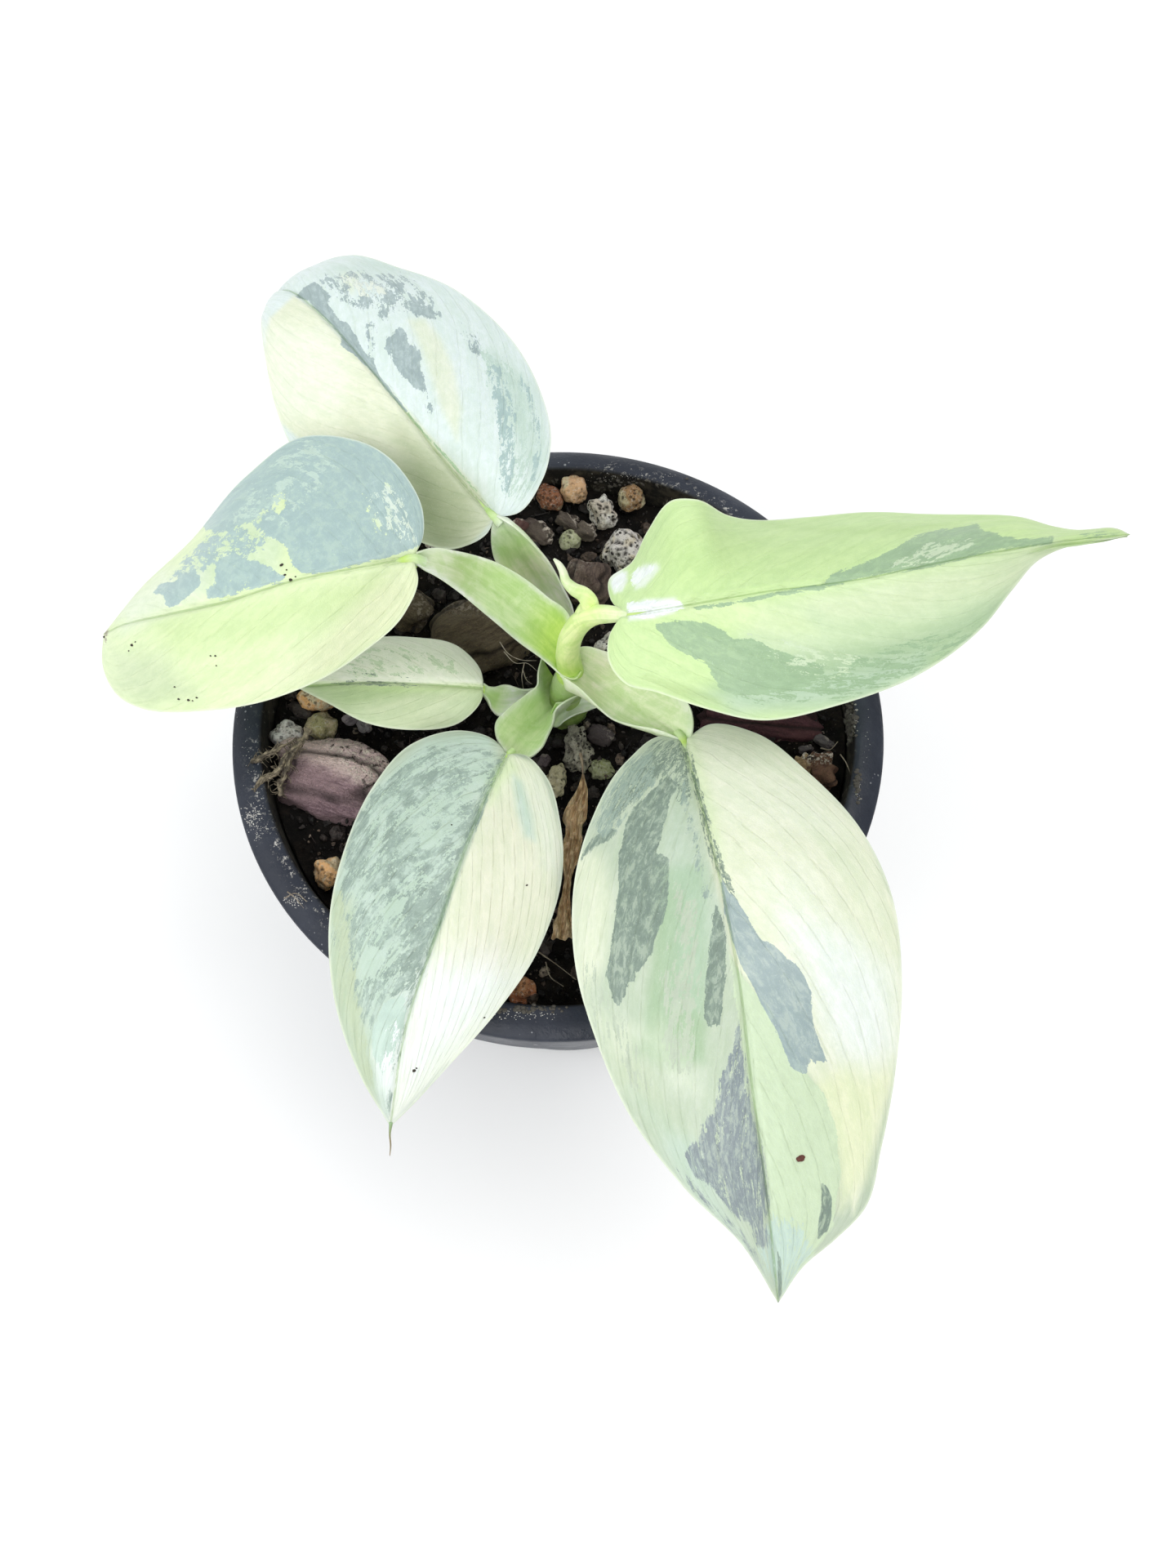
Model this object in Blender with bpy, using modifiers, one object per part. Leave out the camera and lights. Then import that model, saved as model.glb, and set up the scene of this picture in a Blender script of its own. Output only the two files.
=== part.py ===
"""A young variegated philodendron hastatum in a round black nursery pot.

Named values are in millimetres and the model is in metres, +Z up. The origin is the middle of the pot's
underside, +X is the side of the new leaf, and -Y is the front, with the two long leaves.

Every leaf grew as one piece: its blade hangs between a midrib and two margins, and its stalk, a winged
channel, runs on under the blade as the midrib's ridge.
"""

import math
from dataclasses import dataclass

import bmesh
import bpy
import numpy as np
from mathutils import Vector, noise

MM = 0.001
NAME = "potted_philodendron"
GAP = 0.35                     # left between pieces that touch

# Pot
POT_HEIGHT = 90.0
POT_FLOOR = 1.8
LIP_RADIUS = 50.0              # the widest place, a 100 mm pot
CREST_RADIUS = 46.2            # top of the sloping lip
LIP_FALL = 1.5                 # from the crest out to the lip's edge
SKIRT_HEIGHT = 9.7
SKIRT_WALL = 1.1
SKIRT_TUCK = 0.7               # the skirt's foot stands in from the lip's edge
LIP_THICKNESS = 1.2
LIP_ROUND = 0.5
WALL = 1.0
BASE_RADIUS = 35.5
BASE_ROUND = 1.6
CORNER = 2.0                   # slope between floor and wall, inside
BAND_FOOT = 81.0               # the wall is upright above it and tapers below
DRAIN_HOLES = 6
DRAIN_RADIUS = 3.5
DRAIN_RING = 25.0
POT_SIDES = 56

# Growing mix
MIX_LEVEL = 82.3               # in the middle
MIX_DISH = 2.2                 # rise from there to the wall
MIX_ROUGH = 0.9                # height of its lumps
MIX_LUMP = 7.0                 # and their width
MIX_GRAIN = 3.0                # of the small lumps on them
MIX_RINGS = 11
MIX_SIDES = 48

# Stem: its middle line, from its foot in the mix to the crown
STEM_LINE = ((0.8, 3.8, 60), (1.2, 3.6, 80), (1.7, 2.9, 90), (2.1, 2.3, 99))
STEM_RADII = (3.6, 3.3, 2.9, 2.3)
CROWN_REACH = 14.0             # length above the stem that the clasping stalks keep free

# Blades
BLADE_THICKNESS = 0.7
BLADE_ROWS = 20                # lateral veins from base to tip
BLADE_COLUMNS = 3              # from midrib to margin
VEIN_SWEEP = 1.5               # how far the veins lean towards the tip
RIDGE_DEPTH = 0.4              # of the midrib's ridge below the blade's upper face

BLACK_PLASTIC = (0.022, 0.024, 0.028)
DARK_MIX = (0.030, 0.022, 0.017)
STEM_GREEN = (0.42, 0.58, 0.13)
DRY_BROWN = (0.34, 0.25, 0.16)
WHITE_PUMICE = (0.62, 0.60, 0.54)
TAN_PUMICE = (0.52, 0.38, 0.22)
ORANGE_PUMICE = (0.55, 0.27, 0.10)
GREEN_PUMICE = (0.40, 0.38, 0.20)
PURPLE_BARK = (0.17, 0.10, 0.085)
BROWN_BARK = (0.16, 0.11, 0.075)
RED_BARK = (0.12, 0.05, 0.045)


@dataclass(frozen=True)
class Leaf:
    """One leaf; the lines start where the stalk meets the blade and end at the tip."""

    name: str
    colour: tuple
    midrib: tuple
    left: tuple                # margin at the left hand of someone who looks from base to tip
    right: tuple
    stalk: tuple               # stations x, y, z, width, height of the wings, thickness
    arch: float = 1.2          # rise of each half between midrib and margin
    wave: float = 0.3          # of the margins
    waves: float = 3.0
    stalk_up: tuple = (0.0, 0.0, 1.0)


LEAVES = (
    Leaf(
        "leaf_right_new", (0.62, 0.78, 0.30),
        midrib=((9.0, -0.5, 119), (17, -0.6, 121.5), (27, 0.5, 123), (40, 2.5, 123), (54, 7, 121),
                (67, 11.5, 117.5), (80.5, 16, 113)),
        left=((9.0, -0.5, 119), (7.5, 3, 117.5), (7.5, 6.5, 116.5), (10.5, 9.5, 116), (12.5, 13, 118),
              (16, 16, 121), (19, 16, 121), (23.5, 16, 117.5), (35.5, 18, 114.5), (48, 19, 114),
              (58.5, 18, 115), (68.5, 15.5, 115.5), (80.5, 16, 113)),
        right=((9.0, -0.5, 119), (7.3, -3, 117.5), (7.3, -5.5, 115.5), (9.5, -8, 114), (13.5, -9, 113.5),
               (19.5, -11, 113), (26.5, -13, 113.5), (36.5, -11.5, 114), (48, -7, 115), (56.5, -1, 116),
               (63, 5, 116.5), (69.5, 11.5, 115.8), (80.5, 16, 113)),
        stalk=((2.1, 2.2, 99.8, 3.6, 0.3, 2.8), (1.8, 2.2, 105, 3.8, 0.4, 2.8),
               (2.6, 2.0, 110, 3.8, 0.4, 2.6), (4.8, 1.3, 115, 3.4, 0.3, 2.2),
               (7.3, 0.1, 118, 2.8, 0.2, 2.0), (9.0, -0.5, 118.9, 2.4, 0.0, 1.6)),
        arch=1.0, wave=0.35, waves=4.0, stalk_up=(-1.0, -0.2, 0.7)),
    Leaf(
        "leaf_front_right", (0.66, 0.76, 0.52),
        midrib=((18, -10.5, 101.5), (20, -22.5, 105), (22, -35, 107), (23.5, -46, 106.5), (25, -58, 102),
                (27, -69, 95), (29.5, -83, 83)),
        left=((18, -10.5, 101.5), (21.5, -8, 101.5), (28, -9.5, 102), (34.5, -15.5, 103),
              (41, -24, 103.5), (44.5, -33.5, 103), (45.2, -44, 101.5), (43.5, -55, 98), (41, -64.5, 94),
              (38.5, -72.5, 90), (33, -78.5, 86.5), (29.5, -83, 83)),
        right=((18, -10.5, 101.5), (15, -9.5, 101), (10, -13.5, 101.5), (5, -23, 102.5),
               (2.6, -33.5, 103), (3, -43, 102), (5.5, -51.5, 99.5), (10, -61, 96.5), (17, -69.5, 92.5),
               (24.5, -76, 88), (29.5, -83, 83)),
        stalk=((2.4, 3.4, 94.4, 5.5, 1.6, 1.8), (6.4, 2.8, 95, 7.6, 1.6, 1.7),
               (11.2, -1.6, 97.5, 8.2, 1.3, 1.6), (15.4, -6.2, 100, 6.6, 0.9, 1.5),
               (17.6, -9.6, 101.2, 3.0, 0.3, 1.4)),
        arch=1.6, wave=0.25),
    Leaf(
        "leaf_front_left", (0.55, 0.68, 0.50),
        midrib=((-7, -10.5, 97), (-9.5, -17, 98.5), (-13, -28.5, 99.5), (-16, -38.5, 98.5),
                (-19.5, -49.5, 95.5), (-21.6, -61.5, 90)),
        left=((-7, -10.5, 97), (-5, -10.5, 97), (-1.5, -14, 97.5), (0.7, -21, 98), (1, -29.5, 97.5),
              (-2, -39, 96.5), (-7.5, -47.2, 95), (-14, -54.2, 93), (-19, -59.2, 91), (-21.6, -61.5, 90)),
        right=((-7, -10.5, 97), (-9, -8.2, 97), (-13.5, -6.7, 97), (-20.5, -9, 97.5), (-26, -16, 97.5),
               (-29.5, -26.5, 97.5), (-30.5, -37.5, 96.5), (-29.3, -46, 95), (-25.5, -55.5, 92),
               (-21.6, -61.5, 90)),
        stalk=((1.0, 2.6, 87.6, 5.0, 1.6, 1.5), (-1.4, 1.0, 88.2, 7.0, 2.2, 1.4),
               (-3.8, -1.0, 90, 8.2, 2.4, 1.4), (-5.4, -4.8, 93, 7.8, 2.0, 1.4),
               (-6.8, -9.4, 96.5, 2.8, 0.3, 1.3)),
        arch=1.4, wave=0.25),
    Leaf(
        "leaf_left", (0.60, 0.72, 0.42),
        midrib=((-19, 9.5, 117), (-25, 6.5, 119.5), (-33.5, 4.5, 119.5), (-43.5, 3.5, 116),
                (-53.5, 5, 110), (-62.5, 7.5, 103), (-68.2, 9.3, 97)),
        left=((-19, 9.5, 117), (-18.2, 6.5, 116.5), (-20, 2.5, 114.5), (-26.5, -2.5, 111.5),
              (-37.5, -7.3, 108.5), (-49, -7.2, 104.5), (-59, -5, 100.5), (-64.6, -1, 98), (-68, 5, 96.5),
              (-68.2, 9.3, 97)),
        right=((-19, 9.5, 117), (-17.8, 12, 117.5), (-17.8, 16, 118), (-20.8, 22.5, 118),
               (-27.8, 29.3, 116.5), (-37, 31.3, 115), (-44.3, 26.3, 112.5), (-53, 19.3, 107.5),
               (-61.5, 14.2, 102), (-68.2, 9.3, 97)),
        stalk=((1.6, 3.4, 95.8, 5.0, 1.5, 1.8), (-1.4, 5.6, 98.2, 6.2, 1.5, 1.8),
               (-5.2, 7.6, 102.4, 6.4, 1.2, 1.7), (-10.4, 9.2, 109, 6.4, 1.2, 1.6),
               (-15, 9.6, 114, 5.4, 1.0, 1.5), (-18.4, 9.6, 116.6, 2.8, 0.2, 1.4)),
        arch=1.4, wave=0.3),
    Leaf(
        "leaf_back_left", (0.68, 0.74, 0.60),
        midrib=((-8.7, 20, 111.5), (-13.8, 25, 114), (-21, 34, 116), (-27.8, 43.5, 116),
                (-35.2, 54, 114.5), (-43.2, 64.5, 109.5), (-47.5, 70, 101), (-47.5, 70, 93)),
        left=((-8.7, 20, 111.5), (-9.6, 17.8, 111), (-13.7, 15.4, 110.6), (-22, 18.5, 109.5),
              (-30.5, 26, 109.5), (-38.8, 33, 109.5), (-42.5, 41, 109.5), (-45.2, 51, 109.5),
              (-47.2, 60, 107.5), (-49, 67.5, 100.5), (-47.5, 70, 93)),
        right=((-8.7, 20, 111.5), (-5.8, 20.5, 111.5), (-2, 26, 112), (-0.8, 32.5, 112), (-2.8, 43, 112),
               (-7.5, 53, 112), (-15.5, 62, 111.5), (-25, 68.5, 110), (-33.5, 72.8, 109), (-41, 74, 105),
               (-46, 72.5, 98.5), (-47.5, 70, 93)),
        stalk=((2.0, 4.4, 90.6, 5.0, 1.2, 1.6), (0.6, 9.4, 93.4, 7.4, 1.3, 1.5),
               (-1.8, 14.2, 98, 8.0, 1.2, 1.5), (-5.4, 18, 105.5, 6.8, 0.9, 1.4),
               (-8.3, 19.8, 111, 2.8, 0.2, 1.3)),
        arch=1.6, wave=0.3),
    Leaf(
        "leaf_small_left", (0.62, 0.74, 0.50),
        midrib=((-11.2, 2.3, 93), (-16, 2.1, 94), (-21.5, 2.3, 94.3), (-28, 2.8, 93.8), (-34, 3.3, 92.3),
                (-40.4, 4, 90)),
        left=((-11.2, 2.3, 93), (-11.4, 0.3, 93), (-14, -3.3, 93.3), (-21, -5, 93.4), (-28.5, -3.5, 93),
              (-35.5, 0.8, 91.5), (-40.4, 4, 90)),
        right=((-11.2, 2.3, 93), (-11.6, 5, 93), (-15, 9, 93.3), (-22, 10.9, 93.4), (-29.3, 10.5, 93),
               (-35.7, 8, 91.5), (-40.4, 4, 90)),
        stalk=((0.8, 3.7, 85.2, 4.0, 0.8, 1.4), (-2.4, 4.8, 86.0, 4.4, 0.9, 1.4),
               (-5.6, 4.0, 87.8, 4.2, 0.9, 1.3), (-8.5, 2.7, 90.4, 2.2, 0.2, 1.3),
               (-10.9, 2.3, 92.6, 1.8, 0.0, 1.2)),
        arch=0.8, wave=0.2),
)

# The free tip of the new leaf's sheath: a curled spear, as stations like those of a stalk
SHEATH_TIP = (
    (2.9, 2.4, 111.5, 2.2, 0.1, 1.8), (4.4, 1.9, 115.2, 2.4, 0.1, 1.8), (4.5, 2.0, 117.6, 2.2, 0.1, 1.6),
    (2.9, 3.1, 119.2, 1.8, 0.1, 1.4), (1.5, 4.5, 120.6, 1.4, 0.0, 1.1), (0.3, 5.8, 122, 0.8, 0.0, 0.8))

# Loose pieces on the mix: name, middle x and y, size along x, y, z, turn in degrees, colour
PUMICE = (
    ("pumice_far", (2.4, 42.0), (5.0, 4.6, 4.4), 20, TAN_PUMICE),
    ("pumice_far_orange", (-3.4, 42.2), (4.4, 4.0, 3.8), 50, ORANGE_PUMICE),
    ("pumice_far_right", (12.2, 40.4), (4.8, 4.4, 4.2), 10, TAN_PUMICE),
    ("pumice_back_white", (6.9, 38.0), (5.4, 4.6, 4.8), 70, WHITE_PUMICE),
    ("pumice_back_big", (11.2, 32.6), (7.2, 6.4, 6.0), 35, WHITE_PUMICE),
    ("pumice_back_green", (1.6, 34.8), (3.6, 3.4, 3.2), 0, GREEN_PUMICE),
    ("pumice_right_back", (18.2, 37.2), (5.0, 4.4, 4.4), 15, TAN_PUMICE),
    ("pumice_crown_right", (8.0, 15.0), (4.0, 3.6, 3.6), 40, WHITE_PUMICE),
    ("pumice_left_white", (-41.9, -1.8), (4.4, 4.8, 4.6), 60, WHITE_PUMICE),
    ("pumice_left_tan", (-36.8, -0.2), (4.4, 4.2, 4.2), 25, TAN_PUMICE),
    ("pumice_left_orange", (-38.6, 6.0), (5.4, 5.0, 4.8), 5, ORANGE_PUMICE),
    ("pumice_left_front", (-34.4, -24.4), (4.4, 4.4, 4.2), 30, ORANGE_PUMICE),
    ("pumice_centre_grey", (4.8, -3.8), (6.6, 5.6, 5.8), 65, TAN_PUMICE),
    ("pumice_centre_tan", (-0.6, -8.2), (3.2, 4.4, 3.8), 80, TAN_PUMICE),
    ("pumice_centre_green", (9.0, -7.6), (3.8, 3.4, 3.4), 0, GREEN_PUMICE),
    ("pumice_front", (-5.0, -42.0), (4.0, 3.4, 3.4), 45, ORANGE_PUMICE),
    ("pumice_right_deep", (30.5, 14.0), (5.6, 5.0, 4.8), 12, WHITE_PUMICE),
    ("pumice_right_front", (26.0, -20.0), (5.2, 4.8, 4.4), 33, TAN_PUMICE),
    ("pumice_front_right", (12.0, -33.0), (4.8, 4.2, 4.2), 55, WHITE_PUMICE),
    ("pumice_behind_left", (-20.0, 35.0), (5.8, 5.0, 4.8), 18, WHITE_PUMICE),
)
BARK = (
    ("bark_left_purple", (-33.6, -10.4), (17.0, 13.4, 8.4), -12, PURPLE_BARK),
    ("bark_behind_small_leaf", (-12.8, 16.2), (14.6, 12.0, 7.2), 28, BROWN_BARK),
    ("bark_back_left", (-25.6, 21.8), (9.0, 7.6, 5.0), -35, BROWN_BARK),
    ("bark_back", (4.8, 26.4), (8.6, 8.8, 6.2), 15, PURPLE_BARK),
    ("bark_back_long", (-4.6, 36.2), (7.0, 3.2, 3.0), -35, BROWN_BARK),
    ("bark_right_red", (31.6, 0.2), (19.0, 6.4, 5.0), -6, RED_BARK),
    ("bark_right_small", (39.6, -8.0), (6.2, 5.2, 4.6), 40, BROWN_BARK),
    ("bark_front_left", (-17.0, -31.0), (11.0, 7.0, 5.6), 52, BROWN_BARK),
)
STANDING_OUT = 0.15            # of a loose piece's height, from the mix's face to its middle
PUMICE_BOX = 2.3               # 2 is round, more is boxy
PUMICE_ROUGH = 0.35
BARK_BOX = 3.4
BARK_ROUGH = 0.30

# Dry husk lying on the mix between the front leaves: stations of its middle line and its widths
HUSK_LINE = ((4.4, -9.0, 86.6), (3.4, -15.0, 86.4), (2.2, -21.5, 85.4), (1.2, -28.0, 84.6))
HUSK_WIDTHS = (1.6, 4.2, 3.6, 1.2)
HUSK_CURL = 1.0
HUSK_THICKNESS = 0.6

# Dry roots that lie at the left wall, joined in one cluster
ROOT_LINES = (
    ((-39.2, -4.0, 90.0), (-41.0, -6.0, 90.4), (-42.6, -9.4, 89.4), (-42.4, -13.4, 87.4),
     (-40.4, -17.0, 85.6)),
    ((-41.0, -6.0, 90.4), (-38.6, -5.6, 91.0), (-35.8, -6.6, 91.0)),
    ((-42.4, -9.4, 89.4), (-43.2, -6.6, 89.8), (-42.8, -4.0, 89.2)),
)
ROOT_RADIUS = 0.55


def smooth_line(points, fractions):
    """Points at fractions of the length of a smooth line through the given ones."""
    points = np.asarray(points, float)
    steps = np.linalg.norm(np.diff(points[:, :3], axis=0), axis=1)
    along = np.concatenate(([0.0], np.cumsum(steps))) / steps.sum()
    slopes = np.gradient(points, along, axis=0)
    fractions = np.asarray(fractions, float)
    first = np.clip(np.searchsorted(along, fractions, side="right") - 1, 0, len(points) - 2)
    span = (along[first + 1] - along[first])[:, None]
    u = (fractions - along[first])[:, None] / span
    return ((2 * u**3 - 3 * u**2 + 1) * points[first] + (u**3 - 2 * u**2 + u) * span * slopes[first]
            + (3 * u**2 - 2 * u**3) * points[first + 1] + (u**3 - u**2) * span * slopes[first + 1])


def unit(vectors):
    """The same directions with length 1."""
    return vectors / np.maximum(np.linalg.norm(vectors, axis=-1, keepdims=True), 1e-9)


def material(name, colour, roughness=0.5, metallic=0.0):
    """A plain finish of the part's colour."""
    finish = bpy.data.materials.new(name)
    finish.use_nodes = True
    shader = finish.node_tree.nodes["Principled BSDF"]
    shader.inputs["Base Color"].default_value = (*colour, 1.0)
    shader.inputs["Roughness"].default_value = roughness
    shader.inputs["Metallic"].default_value = metallic
    return finish


def collection(name):
    """A new collection in the scene."""
    made = bpy.data.collections.new(name)
    bpy.context.scene.collection.children.link(made)
    return made


def add_object(name, mesh, holder, finish=None):
    """An object of the mesh, in its collection."""
    made = bpy.data.objects.new(name, mesh)
    holder.objects.link(made)
    if finish:
        mesh.materials.clear()
        mesh.materials.append(finish)
    return made


def mesh_from(name, points, faces, outward=True):
    """A mesh from points in millimetres; a closed one gets its faces turned out."""
    mesh = bpy.data.meshes.new(name)
    mesh.from_pydata([Vector(point) * MM for point in points], [], faces)
    shape = bmesh.new()
    shape.from_mesh(mesh)
    bmesh.ops.triangulate(shape, faces=shape.faces[:])
    if outward:
        bmesh.ops.recalc_face_normals(shape, faces=shape.faces[:])
    shape.to_mesh(mesh)
    shape.free()
    return mesh


def applied(made):
    """The object's mesh with its modifiers in it."""
    bpy.context.view_layer.update()
    mesh = bpy.data.meshes.new_from_object(made.evaluated_get(bpy.context.evaluated_depsgraph_get()))
    made.modifiers.clear()
    made.data = mesh
    return made


def boolean(target, others, operation, solver="EXACT"):
    """Joins the others to the target or cuts them from it, and removes them."""
    tools = collection("tools_" + target.name)
    for other in others:
        for holder in list(other.users_collection):
            holder.objects.unlink(other)
        tools.objects.link(other)
    change = target.modifiers.new(operation.lower(), "BOOLEAN")
    change.operation = operation
    change.solver = solver
    change.operand_type = "COLLECTION"
    change.collection = tools
    applied(target)
    for other in list(tools.objects):
        bpy.data.objects.remove(other)
    bpy.data.collections.remove(tools)
    return target


def smooth(made, angle=40.0):
    """Rounds the shading except over edges sharper than the angle."""
    made.data.shade_smooth()
    made.data.set_sharp_from_angle(angle=math.radians(angle))
    return made


def turned(name, profile, sides, holder, finish=None):
    """A solid turned about Z from (radius, height) points that run down its outer side."""
    mesh = bpy.data.meshes.new(name)
    points = [(radius * MM, 0.0, height * MM) for radius, height in profile]
    mesh.from_pydata(points, [(i, i + 1) for i in range(len(points) - 1)], [])
    made = add_object(name, mesh, holder, finish)
    turn = made.modifiers.new("turn", "SCREW")
    turn.steps = sides
    turn.render_steps = sides
    turn.use_merge_vertices = True
    turn.merge_threshold = 0.00001
    return applied(made)


def tube(name, line, radii, holder, rings=8, sides=3):
    """A round rod along a smooth line, with welded caps."""
    curve = bpy.data.curves.new(name, "CURVE")
    curve.dimensions = "3D"
    curve.bevel_depth = MM
    curve.bevel_resolution = sides
    curve.use_fill_caps = True
    run = curve.splines.new("POLY")
    run.points.add(rings - 1)
    stations = np.column_stack((np.asarray(line, float), radii))
    for point, (x, y, z, radius) in zip(run.points, smooth_line(stations, np.linspace(0, 1, rings))):
        point.co = (x * MM, y * MM, z * MM, 1.0)
        point.radius = radius
    guide = add_object(name + "_curve", curve, holder)
    bpy.context.view_layer.update()
    mesh = bpy.data.meshes.new_from_object(guide.evaluated_get(bpy.context.evaluated_depsgraph_get()))
    bpy.data.objects.remove(guide)
    shape = bmesh.new()
    shape.from_mesh(mesh)
    bmesh.ops.remove_doubles(shape, verts=shape.verts[:], dist=0.00001)
    bmesh.ops.recalc_face_normals(shape, faces=shape.faces[:])
    shape.to_mesh(mesh)
    shape.free()
    return add_object(name, mesh, holder)


def channel(name, stations, up, holder, rings=12):
    """A loft along stations (x, y, z, width, wing height, thickness) with a hollowed upper side."""
    run = smooth_line(stations, np.linspace(0, 1, rings))
    middle = run[:, :3]
    ahead = unit(np.gradient(middle, axis=0))
    across = unit(np.cross(ahead, np.asarray(up, float)))
    rise = np.cross(across, ahead)
    points = []
    for centre, side, top, (width, wing, thick) in zip(middle, across, rise, run[:, 3:]):
        half = width / 2
        edge = min(0.35, thick / 2)
        section = ((-half, wing), (-half * 0.5, wing * 0.3), (0, 0), (half * 0.5, wing * 0.3), (half, wing),
                   (half * 0.94, wing - edge * 1.8), (half * 0.55, wing * 0.3 - thick * 0.8), (0, -thick),
                   (-half * 0.55, wing * 0.3 - thick * 0.8), (-half * 0.94, wing - edge * 1.8))
        points += [centre + side * x + top * y for x, y in section]
    count = len(section)
    faces = []
    for start in range(0, (rings - 1) * count, count):
        for i in range(count):
            j = (i + 1) % count
            faces.append((start + i, start + j, start + count + j, start + count + i))
    faces += [tuple(range(count)), tuple(range((rings - 1) * count, rings * count))]
    return add_object(name, mesh_from(name, points, faces), holder)


def blade(leaf, holder):
    """The leaf's thin blade: rows along its lateral veins, from midrib to each margin."""
    rows = np.linspace(0, 1, BLADE_ROWS + 1)
    rib = smooth_line(leaf.midrib, rows**VEIN_SWEEP)
    margins = [smooth_line(line, rows) for line in (leaf.left, leaf.right)]
    upward = unit(np.cross(np.gradient(rib, axis=0), margins[0] - margins[1] + 1e-6))
    upward *= np.sign(upward[:, 2:3] + 1e-9)
    body = np.sin(math.pi * rows)[:, None]
    ripple = leaf.wave * np.sin(2 * math.pi * leaf.waves * rows)[:, None] * body
    points = [tuple(point) for point in rib]
    sides = []
    for sign, margin in zip((1, -1), margins):
        grid = [list(range(BLADE_ROWS + 1))]
        for column in range(1, BLADE_COLUMNS + 1):
            t = column / BLADE_COLUMNS
            bulge = leaf.arch * math.sin(math.pi * t**0.8) * body + sign * ripple * t**2
            line = rib * (1 - t) + margin * t + upward * bulge
            grid.append([0, *range(len(points), len(points) + BLADE_ROWS - 1), BLADE_ROWS])
            points += [tuple(point) for point in line[1:-1]]
        sides.append(grid)
    faces = []
    for sign, grid in zip((1, -1), sides):
        for near, far in zip(grid, grid[1:]):
            for row in range(BLADE_ROWS):
                corners = (near[row], near[row + 1], far[row + 1], far[row])
                ring = tuple(dict.fromkeys(corners))
                if len(ring) > 2:
                    faces.append(ring[::sign])
    mesh = mesh_from(leaf.name + "_blade", points, faces, outward=False)
    made = add_object(leaf.name, mesh, holder)
    if sum(face.normal.z * face.area for face in mesh.polygons) < 0:
        mesh.flip_normals()
    thick = made.modifiers.new("thickness", "SOLIDIFY")
    thick.thickness = BLADE_THICKNESS * MM
    thick.offset = -1.0
    return applied(made)


def ridge(leaf, holder):
    """The stalk and, under the blade, the midrib that it runs on into."""
    fractions = (0.06, 0.2, 0.4, 0.6)
    widths = (2.0, 1.6, 1.3, 1.0)
    depths = (1.3, 1.2, 1.1, 1.0)
    under = smooth_line(leaf.midrib, fractions) - (0, 0, RIDGE_DEPTH)
    run = [(*point, width, 0.0, depth) for point, width, depth in zip(under, widths, depths)]
    return channel(leaf.name + "_ridge", (*leaf.stalk, *run), leaf.stalk_up, holder, rings=20)


def build_pot(holder):
    """The moulded pot, with a rolled lip over a skirt and drain holes round its floor."""
    top = POT_HEIGHT
    edge = top - LIP_FALL
    skirt_foot = edge - SKIRT_HEIGHT
    skirt_radius = LIP_RADIUS - SKIRT_TUCK
    wall = CREST_RADIUS
    inside = (
        (0, POT_FLOOR), (BASE_RADIUS - WALL - CORNER, POT_FLOOR), (BASE_RADIUS - WALL, POT_FLOOR + CORNER),
        (wall - WALL, BAND_FOOT), (wall - WALL, top - LIP_ROUND))
    lip = (
        (wall - WALL + LIP_ROUND, top), (wall, top),
        (LIP_RADIUS - LIP_ROUND, edge + LIP_ROUND / 2), (LIP_RADIUS, edge - LIP_ROUND))
    skirt = (
        (skirt_radius, skirt_foot), (skirt_radius - SKIRT_WALL, skirt_foot),
        (LIP_RADIUS - SKIRT_WALL, edge - LIP_THICKNESS), (wall, top - LIP_THICKNESS))
    outside = (
        (wall, BAND_FOOT), (BASE_RADIUS, BASE_ROUND), (BASE_RADIUS - BASE_ROUND / 2, BASE_ROUND / 4),
        (BASE_RADIUS - BASE_ROUND, 0), (0, 0))
    profile = (*inside, *lip, *skirt, *outside)
    pot = turned("pot", profile, POT_SIDES, holder)
    cutters = []
    for hole in range(DRAIN_HOLES):
        angle = 2 * math.pi * (hole + 0.3) / DRAIN_HOLES
        place = (DRAIN_RING * math.cos(angle), DRAIN_RING * math.sin(angle), POT_FLOOR / 2)
        bpy.ops.mesh.primitive_cylinder_add(
            vertices=16, radius=DRAIN_RADIUS * MM, depth=4 * POT_FLOOR * MM, location=Vector(place) * MM)
        cutters.append(bpy.context.object)
    boolean(pot, cutters, "DIFFERENCE")
    pot.data.materials.clear()
    pot.data.materials.append(material("black_plastic", BLACK_PLASTIC, 0.42))
    return smooth(pot)


def inner_radius(height):
    """The radius of the pot's inner wall at a height."""
    low = POT_FLOOR + CORNER
    slope = (CREST_RADIUS - BASE_RADIUS) / (BAND_FOOT - low)
    return BASE_RADIUS - WALL + (min(height, BAND_FOOT) - low) * slope


def mix_height(x, y):
    """The mix's level at a place, before its lumps: a shallow dish."""
    return MIX_LEVEL + MIX_DISH * min(math.hypot(x, y) / CREST_RADIUS, 1.0)**2


def build_mix(holder, seated, stem_socket):
    """The growing mix, lumpy on top, with a pocket for each loose piece and a hole for the stem."""
    floor = POT_FLOOR + GAP
    side = inner_radius(MIX_LEVEL) - GAP
    rings = [side * ring / MIX_RINGS for ring in range(MIX_RINGS + 1)]
    top = [(radius, mix_height(radius, 0)) for radius in rings]
    foot = inner_radius(floor + CORNER) - GAP
    profile = (*top, (side, BAND_FOOT), (foot, floor + CORNER), (foot - CORNER - GAP, floor), (0, floor))
    mix = turned("growing_mix", profile, MIX_SIDES, holder, material("growing_mix", DARK_MIX, 0.95))
    for vertex in mix.data.vertices:
        x, y, z = vertex.co / MM
        if z > BAND_FOOT + GAP:
            lump = noise.noise(Vector((x, y, 0.0)) / MIX_LUMP)
            grain = noise.noise(Vector((y, x, 0.0)) / MIX_GRAIN)
            vertex.co.z += MIX_ROUGH * (lump + 0.4 * grain) * MM
    boolean(mix, [*(pocket(piece, holder) for piece in seated), stem_socket], "DIFFERENCE")
    return smooth(mix)


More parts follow.
